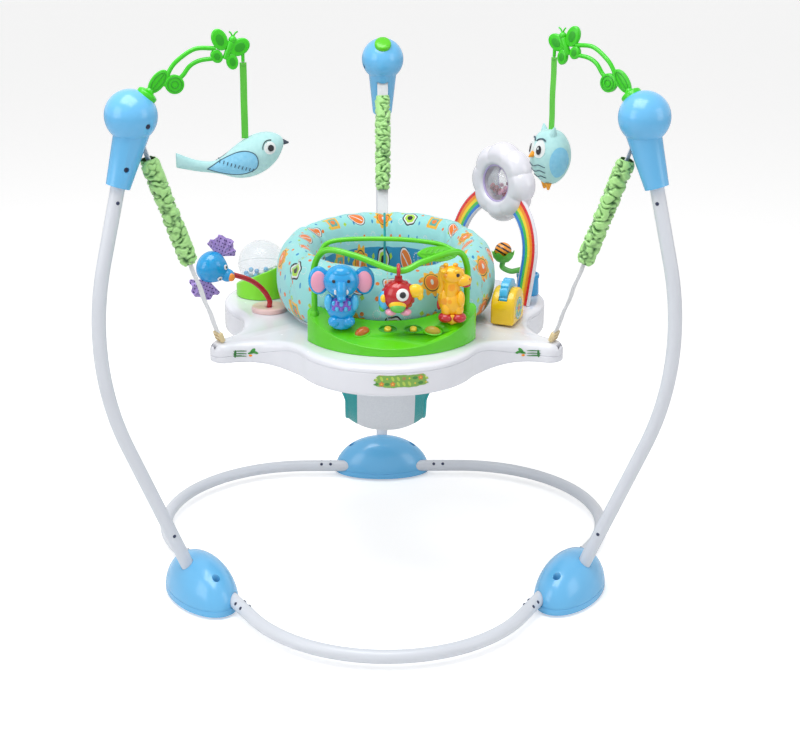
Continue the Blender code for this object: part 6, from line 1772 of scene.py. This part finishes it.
def on_arm(place, points, radius, finish, closed=False, sides=4):
    return run_of("line", [place @ Vector(point) for point in points], radius, finish, sides, closed)


def toy_arm(side):
    place = arm_frame(side)
    flat = place.to_3x3()
    middle = leg_point(LEG_AZ[side], *HEAD_AT)
    way = heading(ARM_AZ[side]) * math.cos(math.radians(50)) + Vector((0, 0, math.sin(math.radians(50))))
    turn = way.to_track_quat("Z", "Y").to_matrix().to_4x4()
    parts = [turned("plug", [(0.0158, 0.0), (0.0158, 0.0075), (0.0150, 0.0090), (0.0118, 0.0108), (0.0070, 0.0125),
                             (0.0050, 0.0160)], Matrix.Translation(middle + way * 0.0335) @ turn, VINE, 48)]
    parts.append(slab("leaf", oval((0.0420, 0.0490), (0.0205, 0.0105), 50, 48), 0.0060, place, VINE, 0.0012))
    disc = slab("disc", oval((0.0661, 0.0442), (0.0143, 0.0143), 0, 56), 0.0078, place, VINE, 0.0012)
    parts.append(disc)
    for face in (-1, 1):
        parts.append(on_arm(place, [(px, py, face * 0.0030) for px, py in oval((0.0420, 0.0490), (0.0160, 0.0066), 50, 40)],
                            0.0009, GROOVE_SHADE, True))
        spine = [(0.0420 + t * math.cos(math.radians(50)), 0.0490 + t * math.sin(math.radians(50)), face * 0.0030)
                 for t in (-0.013, 0.0, 0.013)]
        parts.append(on_arm(place, spine, 0.0008, GROOVE_SHADE))
        for radius in (0.0105, 0.0052):
            parts.append(on_arm(place, [(px, py, face * 0.0039) for px, py in oval((0.0661, 0.0442), (radius, radius), 0, 40)],
                                0.0009, GROOVE_SHADE, True))
    upper = [(0.0500, 0.0420), (0.0540, 0.0500), (0.0600, 0.0650), (0.0727, 0.0795), (0.0983, 0.0948), (0.1290, 0.0950)]
    lower = [(0.0735, 0.0520), (0.0800, 0.0580), (0.0900, 0.0703), (0.1051, 0.0779), (0.1290, 0.0805)]
    for run in (upper, lower):
        parts.append(on_arm(place, smooth_path([(*spot, 0) for spot in run], 10), 0.0034, VINE, sides=6))
    wings = (((0.1350, 0.1075), (0.0165, 0.0118), 112), ((0.1645, 0.0960), (0.0165, 0.0122), 30),
             ((0.1300, 0.0835), (0.0105, 0.0090), 120), ((0.1530, 0.0750), (0.0120, 0.0090), 100))
    for spot, size, tilt in wings:
        parts.append(slab("wing", oval(spot, size, tilt, 48), 0.0078, place, VINE, 0.0026, 4))
        for face in (-1, 1):
            inner = slab("inner", oval(spot, (size[0] * 0.52, size[1] * 0.50), tilt, 32), 0.0014,
                         place @ Matrix.Translation((0, 0, face * 0.0038)), GROOVE_SHADE, 0.0004)
            parts.append(inner)
    parts.append(rod("body", place @ Vector((0.1425, 0.0785, 0)), place @ Vector((0.1530, 0.1040, 0)), 0.0046, VINE, 0.0056,
                     soft=0.0015))
    parts.append(ball("crown", place @ Vector((0.1545, 0.1070, 0)), (0.0062, 0.0058, 0.0058), VINE, flat))
    for way_x in (-1, 1):
        feeler = [(0.1550, 0.1100, 0), (0.1555 + way_x * 0.003, 0.1160, 0), (0.1560 + way_x * 0.0065, 0.1190, 0)]
        parts.append(on_arm(place, smooth_path(feeler, 5), 0.0013, VINE))
    parts.append(rod("hook", place @ Vector((0.1692, 0.0899, 0)), place @ Vector((0.1692, 0.0741, 0)), 0.0026, VINE))
    return fit(joined("toy_arm_" + side + "_vine", *parts), "frame", "lime", "toy_arm_" + side)


toy_arm("left")
toy_arm("right")


# Hanging toys

RIBBON = satin("ribbon_satin", (0.12, 0.62, 0.05), (0.06, 0.42, 0.02))


def hanging_ribbon(side, body):
    place = arm_frame(side) @ Matrix.Translation((HOOK_AT[0], HOOK_AT[1] - 0.0006, 0.0))
    rows = []
    for row in range(61):
        share = row / 60
        up = -0.1137 * share
        sway = 0.0007 * math.sin(share * 9.0) * math.sin(math.pi * share)
        rows.append([place @ Vector((px, up, pz + sway)) for px, pz in
                     ((-0.0052, -0.0003), (-0.0045, -0.0005), (0.0, -0.0004), (0.0045, -0.0005), (0.0052, -0.0003),
                      (0.0052, 0.0003), (0.0045, 0.0005), (0.0, 0.0004), (-0.0045, 0.0005), (-0.0052, 0.0003))])
    tape = skin("ribbon_" + side + "_tape", rows, RIBBON)
    pick(tape)
    bpy.ops.object.mode_set(mode="EDIT")
    bpy.ops.mesh.select_all(action="SELECT")
    bpy.ops.mesh.fill_holes(sides=0)
    bpy.ops.mesh.normals_make_consistent(inside=False)
    bpy.ops.object.mode_set(mode="OBJECT")
    knot = [ball("knot", place @ Vector((0, -0.0022, 0)), (0.0050, 0.0026, 0.0022), RIBBON, place.to_3x3(), 24, 12)]
    made = joined("ribbon_" + side + "_tape", shaded(tape, 50), *knot)
    fit(made, body, "ribbon_green", "ribbon_" + side)


hanging_ribbon("left", "bird")
hanging_ribbon("right", "owl")


def plush(name, deep, pale):
    # Short soft pile
    made = Finish(name, 0.9)
    made.colour(made.mix(made.noise(160.0, 4.0), deep, pale))
    made.shader.inputs["Sheen Weight"].default_value = 0.45
    made.bump(made.noise(900.0, 4.0), 0.5, 0.0006)
    return made.material


PLUSH = plush("mint_plush", (0.34, 0.63, 0.65), (0.50, 0.77, 0.76))
WING_BLUE = plush("light_blue_plush", (0.16, 0.50, 0.74), (0.30, 0.64, 0.84))
STITCH = woven("dark_stitching", (0.04, 0.10, 0.16), (0.02, 0.05, 0.09), 0.0006)
FELT_WHITE = woven("white_felt", (0.82, 0.86, 0.86), (0.74, 0.79, 0.80), 0.0007)
FELT_BLACK = woven("black_felt", (0.02, 0.02, 0.03), (0.01, 0.01, 0.015), 0.0007)
FELT_ORANGE = woven("orange_felt", (0.93, 0.42, 0.03), (0.85, 0.30, 0.02), 0.0007)
FELT_DARK = woven("dark_beak_felt", (0.05, 0.07, 0.10), (0.03, 0.04, 0.07), 0.0007)


def stuffed(name, place, stations, finish):
    # Stuffed tube through (along, up, half height, half depth) stations, with a puckered seam down its middle
    path = smooth_path([(a, u, t) for a, u, t, d in stations], 8)
    deeps = smooth_path([(d, 0.0, 0.0) for a, u, t, d in stations], 8)
    rows = []
    for index, (point, deep) in enumerate(zip(path, deeps)):
        ring = []
        for step in range(48):
            angle = 2 * math.pi * step / 48
            seam = math.exp(-(math.cos(angle) / 0.07) ** 2)
            pucker = 1.0 - seam * (0.035 + 0.015 * math.sin(index * 1.9))
            ring.append(place @ Vector((point.x, point.y + point.z * math.sin(angle) * pucker,
                                        deep.x * math.cos(angle) * pucker)))
        rows.append(ring)
    obj = skin(name, rows, finish)
    pick(obj)
    bpy.ops.object.mode_set(mode="EDIT")
    bpy.ops.mesh.select_all(action="SELECT")
    bpy.ops.mesh.fill_holes(sides=0)
    bpy.ops.mesh.normals_make_consistent(inside=False)
    bpy.ops.object.mode_set(mode="OBJECT")
    return shaded(obj, 60)


hang = HOOK_AT[1] - 0.1146
place = arm_frame("left") @ Matrix.Translation((HOOK_AT[0], hang, 0.0))
stations = [(-0.1055, -0.0285, 0.0100, 0.0015), (-0.1035, -0.0290, 0.0112, 0.0050), (-0.0900, -0.0335, 0.0098, 0.0066),
            (-0.0720, -0.0385, 0.0086, 0.0078), (-0.0504, -0.0412, 0.0090, 0.0088), (-0.0340, -0.0395, 0.0142, 0.0130),
            (-0.0177, -0.0355, 0.0232, 0.0205), (0.0000, -0.0300, 0.0295, 0.0262), (0.0177, -0.0242, 0.0312, 0.0275),
            (0.0340, -0.0189, 0.0280, 0.0250), (0.0477, -0.0140, 0.0200, 0.0185), (0.0560, -0.0095, 0.0100, 0.0095),
            (0.0590, -0.0085, 0.0020, 0.0020)]
body = stuffed("bird_plush", place, stations, PLUSH)
fit(body, "bird", "plush_mint", "bird")
wing = [(-0.0600, -0.0422), (-0.0470, -0.0350), (-0.0340, -0.0278), (-0.0150, -0.0180), (0.0000, -0.0158),
        (0.0109, -0.0208), (0.0144, -0.0318), (0.0109, -0.0420), (-0.0041, -0.0490), (-0.0232, -0.0505),
        (-0.0422, -0.0475)]
wing = [(p.x, p.y) for p in smooth_path([(*spot, 0) for spot in wing + [wing[0]]], 4)][:-1]


def on_side(surface, spot, face, lift):
    # Point of the stuffed body's side over a place on its middle plane
    start = place @ Vector((spot[0], spot[1], face * 0.08))
    hit, point, normal, _ = surface.ray_cast(start, (place.to_3x3() @ Vector((0, 0, -face))).normalized())
    if not hit:
        return None
    return point + normal * lift


def side_patch(name, surface, outline, lift, finish):
    # Cloth patch sewn to both sides of a stuffed body
    made = []
    for face in (-1, 1):
        piece = slab(name, outline, 0.0010, Matrix.Identity(4), finish)
        pick(piece)
        bpy.ops.object.mode_set(mode="EDIT")
        bpy.ops.mesh.select_all(action="SELECT")
        bpy.ops.mesh.quads_convert_to_tris()
        bpy.ops.mesh.subdivide(number_cuts=3)
        bpy.ops.object.mode_set(mode="OBJECT")
        for vertex in piece.data.vertices:
            x, y, z = vertex.co
            vertex.co = on_side(surface, (x, y), face, lift + z) or place @ Vector((x, y, face * 0.004))
        made.append(outward_only(shaded(piece, 60)))
    return made


felts = side_patch("wing", body, wing, 0.0005, WING_BLUE)
for face in (-1, 1):
    edge = [on_side(body, spot, face, 0.0009) for spot in wing]
    felts.append(run_of("wing_piping", [spot for spot in edge if spot], 0.0007, STITCH, 3, closed=True))
    for step in range(10):
        x = -0.0400 + 0.0470 * step / 9
        y = -0.0318 - 0.0118 * step / 9
        ends = [on_side(body, (x + way * 0.0008, y + way * 0.0022), face, 0.0015) for way in (-1, 0, 1)]
        felts.append(run_of("stitch", ends, 0.0006, STITCH, 2))
felts += side_patch("white", body, oval((0.0335, -0.0118), (0.0092, 0.0092), 0, 40), 0.0002, FELT_WHITE)
felts += side_patch("pupil", body, oval((0.0345, -0.0120), (0.0046, 0.0046), 0, 32), 0.0012, FELT_BLACK)
lash = arc((0.0335, -0.0118), 0.0118, 75, 190, 20) + arc((0.0335, -0.0118), 0.0108, 190, 75, 20)
felts += side_patch("lash", body, lash, 0.0006, FELT_BLACK)
felts.append(rod("beak", place @ Vector((0.0545, -0.0070, 0)), place @ Vector((0.0672, -0.0088, 0)), 0.0062, FELT_DARK,
                 0.0012, soft=0.0006))
fit(joined("bird_felts", *felts), "bird", "plush_mint")

place = arm_frame("right") @ Matrix.Translation((HOOK_AT[0], hang, 0.0))
stations = [(0.002, 0, 0.0020, 0.0020), (0.0000, 0, 0.0135, 0.0120), (-0.007, 0, 0.0230, 0.0200), (-0.022, 0, 0.0315, 0.0275),
            (-0.040, 0, 0.0340, 0.0300), (-0.057, 0, 0.0310, 0.0270), (-0.071, 0, 0.0235, 0.0200), (-0.081, 0, 0.0130, 0.0110),
            (-0.0858, 0, 0.0020, 0.0020)]
upright_place = place @ Matrix(((0, 1, 0, 0), (1, 0, 0, 0), (0, 0, -1, 0), (0, 0, 0, 1)))
body = stuffed("owl_plush", upright_place, stations, PLUSH)
fit(body, "owl", "plush_mint", "owl")
FACING = -62.0


def owl_spot(spin, up, lift):
    # Place on the owl's body, turned about its upright from the way it faces, and the way out there
    angle = math.radians(FACING + spin)
    out_way = (place.to_3x3() @ Vector((math.cos(angle), 0, math.sin(angle)))).normalized()
    start = place @ Vector((0, up, 0)) + out_way * 0.08
    _, point, normal, _ = body.ray_cast(start, -out_way)
    return point + normal * lift, normal


def owl_patch(name, outline, lift, finish):
    # Felt patch in (turn in degrees, height) laid on the owl
    piece = slab(name, [(spin / 1000, up) for spin, up in outline], 0.0010, Matrix.Identity(4), finish)
    pick(piece)
    bpy.ops.object.mode_set(mode="EDIT")
    bpy.ops.mesh.select_all(action="SELECT")
    bpy.ops.mesh.quads_convert_to_tris()
    bpy.ops.mesh.subdivide(number_cuts=3)
    bpy.ops.object.mode_set(mode="OBJECT")
    for vertex in piece.data.vertices:
        x, y, z = vertex.co
        vertex.co = owl_spot(x * 1000, y, lift + z)[0]
    return outward_only(shaded(piece, 60))


felts = []
side_way = math.radians(FACING + 90)
for across in (-1, 1):
    out = Vector((math.cos(side_way), 0, math.sin(side_way))) * across
    ahead = Vector((math.cos(math.radians(FACING)), 0, math.sin(math.radians(FACING))))
    tuft = [place @ (ahead * 0.004 + out * reach + Vector((0, up, 0))) for reach, up in
            ((0.012, -0.012), (0.0165, 0.000), (0.0195, 0.0085))]
    felts.append(run_of("tuft", smooth_path(tuft, 5), 0.0090, PLUSH, 6, radii=[1.0 - 0.085 * i for i in range(11)]))
    foot = place @ (ahead * 0.005 + out * 0.007 + Vector((0, -0.0855, 0)))
    felts.append(rod("foot", foot + Vector((0, 0, 0.004)), foot - Vector((0, 0, 0.0075)), 0.0058, FELT_ORANGE, 0.0018, soft=0.001))
    felts.append(owl_patch("wing", oval((across * 92, -0.0455), (30, 0.0240), 0, 40), 0.0006, WING_BLUE))
    felts.append(owl_patch("eye_patch", oval((across * 24, -0.0255), (23, 0.0140), 0, 40), 0.0002, FELT_WHITE))
    felts.append(owl_patch("pupil", oval((across * 25, -0.0275), (9, 0.0068), 0, 32), 0.0012, FELT_BLACK))
    felts.append(owl_patch("glint", oval((across * 25 + 2, -0.0250), (2.4, 0.0018), 0, 20), 0.0020, FELT_WHITE))
    brow = [owl_spot(across * (25 + turn), up, 0.0014)[0] for turn, up in ((-20, -0.0142), (-8, -0.0112), (8, -0.0106), (20, -0.0132))]
    felts.append(run_of("brow", smooth_path(brow, 5), 0.0011, STITCH, 3))
start, way = owl_spot(0, -0.0345, -0.0015)
felts.append(rod("beak", start, start + way * 0.0090 - Vector((0, 0, 0.0050)), 0.0056, FELT_ORANGE, 0.0012, soft=0.0004))
for row in range(3):
    line = [owl_spot(turn, -0.052 - row * 0.009 - 0.0015 * math.cos(turn / 8), 0.0008)[0] for turn in range(-48, 49, 6)]
    felts.append(run_of("stitch", line, 0.0006, STITCH, 3))
fit(joined("owl_felts", *felts), "owl", "plush_mint")


# Printed labels on the tray's ears and front

def garden_print(name):
    made = Print(name, (0.22, 0.46, 0.06), 0.35)
    spot, number = made.cell(0.0085)
    made.lay(made.both(made.disc(spot, 0.0040, (1.0, 0.6)), made.chosen(number, 0.0, 0.35)), (0.05, 0.26, 0.03))
    made.lay(made.both(made.disc(made.turned(spot, 1.1), 0.0040, (1.0, 0.5)), made.chosen(number, 0.35, 0.60)), (0.50, 0.68, 0.08))
    made.lay(made.both(made.flower(spot, 0.0034, 5.0, 0.0008), made.chosen(number, 0.60, 0.80)), (0.80, 0.20, 0.03))
    made.lay(made.both(made.disc(spot, 0.0013), made.chosen(number, 0.60, 1.0)), (0.98, 0.65, 0.03))
    made.lay(made.both(made.square(spot, 0.0024), made.chosen(number, 0.80, 0.90)), (0.45, 0.25, 0.08))
    return made.done(0.0006)


GARDEN = garden_print("garden_label")
FENCE = moulded("fence_green_print", (0.03, 0.20, 0.04), 0.35, 0.1)
LEAF = moulded("leaf_green_print", (0.05, 0.33, 0.05), 0.35, 0.1)
tray_top_mesh = bpy.data.objects["tray_top_moulding"]
tray_base_mesh = bpy.data.objects["tray_base_moulding"]


def on_tray(start, way, lift):
    # Point of the tray's skin met on the way in, lifted a little
    best = None
    for mesh in (tray_top_mesh, tray_base_mesh):
        hit, point, normal, _ = mesh.ray_cast(start, way)
        if hit and (best is None or (point - start).length < (best[0] - start).length):
            best = (point, normal)
    return best[0] + best[1] * lift


def tray_label(piece, spot, right, up, way, wide=1.0):
    # Lays a flat print on the tray: its x to the right, its y upwards, cast along the way in
    for vertex in piece.data.vertices:
        x, y, z = vertex.co
        vertex.co = on_tray(spot + right * x * wide + up * y - way * 0.06, way, 0.0003 + z)
    return outward_only(shaded(piece, 60))


def cut_fine(piece):
    pick(piece)
    bpy.ops.object.mode_set(mode="EDIT")
    bpy.ops.mesh.select_all(action="SELECT")
    bpy.ops.mesh.quads_convert_to_tris()
    bpy.ops.mesh.subdivide(number_cuts=4)
    bpy.ops.object.mode_set(mode="OBJECT")
    return piece


edge = []
for step in range(72):
    angle = 2 * math.pi * step / 72
    square = (abs(math.cos(angle)) ** 5 + abs(math.sin(angle)) ** 5) ** -0.2
    wave = 1.0 + 0.05 * math.sin(angle * 9) + 0.03 * math.sin(angle * 23)
    edge.append((0.0400 * math.cos(angle) * square * wave, 0.0098 * math.sin(angle) * square * wave))
strip = cut_fine(slab("front_label", edge, 0.0003, Matrix.Identity(4), GARDEN))
map_layer = strip.data.uv_layers.active
for loop in strip.data.loops:
    spot = strip.data.vertices[loop.vertex_index].co
    map_layer.data[loop.index].uv = (spot.x, spot.y)
tray_label(strip, at(0.019, -0.300, 0.4240), Vector((1, 0, 0)), Vector((0, 0, 1)), Vector((0, 1, 0)))
fit(strip, "tray", "tray_white")

for side, way in (("left", 1), ("right", -1)):
    azimuth = LEG_AZ[side] + way * 6.0
    inward = -heading(azimuth)
    right = Vector((-inward.y, inward.x, 0)) * -1
    if right.x < 0:
        right = -right
    marks = [slab("leaf", oval((way * 0.0075, 0.0040), (0.0046, 0.0026), way * 55, 24), 0.0003, Matrix.Identity(4), LEAF),
             slab("leaf", oval((way * 0.0110, 0.0010), (0.0042, 0.0022), way * -20, 24), 0.0003, Matrix.Identity(4), LEAF),
             slab("leaf", oval((way * 0.0050, 0.0005), (0.0038, 0.0020), way * 20, 24), 0.0003, Matrix.Identity(4), LEAF),
             slab("dot", oval((way * 0.0045, -0.0040), (0.0022, 0.0018), 0, 20), 0.0003, Matrix.Identity(4), ORANGE)]
    for bar in (-1, 0, 1):
        marks.append(slab("bar", oval((way * -0.0060, bar * 0.0042), (0.0062, 0.0009), way * -6, 16), 0.0003, Matrix.Identity(4),
                          FENCE))
    marks.append(slab("post", oval((way * -0.0105, 0.0), (0.0010, 0.0062), 0, 16), 0.0003, Matrix.Identity(4), FENCE))
    spot = polar(0.285, azimuth, 0.4245)
    marks = [tray_label(cut_fine(mark), spot, right, Vector((0, 0, 1)), inward, 0.72) for mark in marks]
    fit(joined("ear_label_" + side, *marks), "tray", "tray_white")


# Floor, light and camera

bpy.ops.mesh.primitive_plane_add(size=60.0, location=(0, 0, 0))
floor = named("studio_floor")
paper = Finish("studio_paper", 0.75)
paper.colour((0.93, 0.93, 0.93))
paper.bump(paper.noise(30.0), 0.02, 0.0005)
seen_paper = paper.tree.nodes.new("ShaderNodeLightPath")
paper.shader.inputs["Emission Color"].default_value = (1.0, 1.0, 1.0, 1.0)
paper.put(paper.shader.inputs["Emission Strength"], paper.sum("MULTIPLY", seen_paper.outputs["Is Camera Ray"], 0.42))
floor.data.materials.append(paper.material)

world = bpy.data.worlds.new("studio")
bpy.context.scene.world = world
world.use_nodes = True
tree = world.node_tree
tree.nodes["Background"].inputs["Color"].default_value = (1.0, 1.0, 1.0, 1.0)
tree.nodes["Background"].inputs["Strength"].default_value = 0.46
path = tree.nodes.new("ShaderNodeLightPath")
white = tree.nodes.new("ShaderNodeBackground")
white.inputs["Strength"].default_value = 1.0
white.inputs["Color"].default_value = (1.0, 1.0, 1.0, 1.0)
seen = tree.nodes.new("ShaderNodeMath")
seen.operation = "MAXIMUM"
seen_through = tree.nodes.new("ShaderNodeMath")
seen_through.operation = "MAXIMUM"
either = tree.nodes.new("ShaderNodeMixShader")
tree.links.new(path.outputs["Is Camera Ray"], seen.inputs[0])
tree.links.new(path.outputs["Is Glossy Ray"], seen.inputs[1])
tree.links.new(seen.outputs[0], seen_through.inputs[0])
tree.links.new(path.outputs["Is Transmission Ray"], seen_through.inputs[1])
tree.links.new(seen_through.outputs[0], either.inputs[0])
tree.links.new(tree.nodes["Background"].outputs[0], either.inputs[1])
tree.links.new(white.outputs[0], either.inputs[2])
tree.links.new(either.outputs[0], tree.nodes["World Output"].inputs["Surface"])


def softbox(name, spot, target, size, power):
    bpy.ops.object.light_add(type="AREA", location=spot)
    lamp = bpy.context.object
    lamp.name = name
    lamp.data.shape = "RECTANGLE"
    lamp.data.size, lamp.data.size_y = size
    lamp.data.energy = power
    lamp.rotation_euler = (Vector(target) - Vector(spot)).to_track_quat("-Z", "Y").to_euler()


softbox("overhead_softbox", (-0.4, -0.6, 2.6), (0, 0, 0.4), (1.8, 1.5), 40.0)
softbox("left_softbox", (-2.2, -1.6, 1.5), (0, 0, 0.4), (1.4, 1.8), 16.0)
softbox("right_softbox", (2.2, -1.2, 1.3), (0, 0, 0.4), (1.2, 1.6), 10.0)

bpy.ops.object.camera_add(location=at(-0.0416, -2.448, 1.1824))
camera = bpy.context.object
camera.name = "photo_camera"
view_way = at(0.0252, 0.0, 0.3486) - camera.location
camera.rotation_euler = (view_way.to_track_quat("-Z", "Y").to_matrix()
                         @ Matrix.Rotation(math.radians(0.407), 3, "Z")).to_euler()
camera.data.lens = 67.6
camera.data.sensor_width = 36.0
scene = bpy.context.scene
scene.camera = camera
scene.render.resolution_x = 800
scene.render.resolution_y = 730
scene.view_settings.view_transform = "Standard"
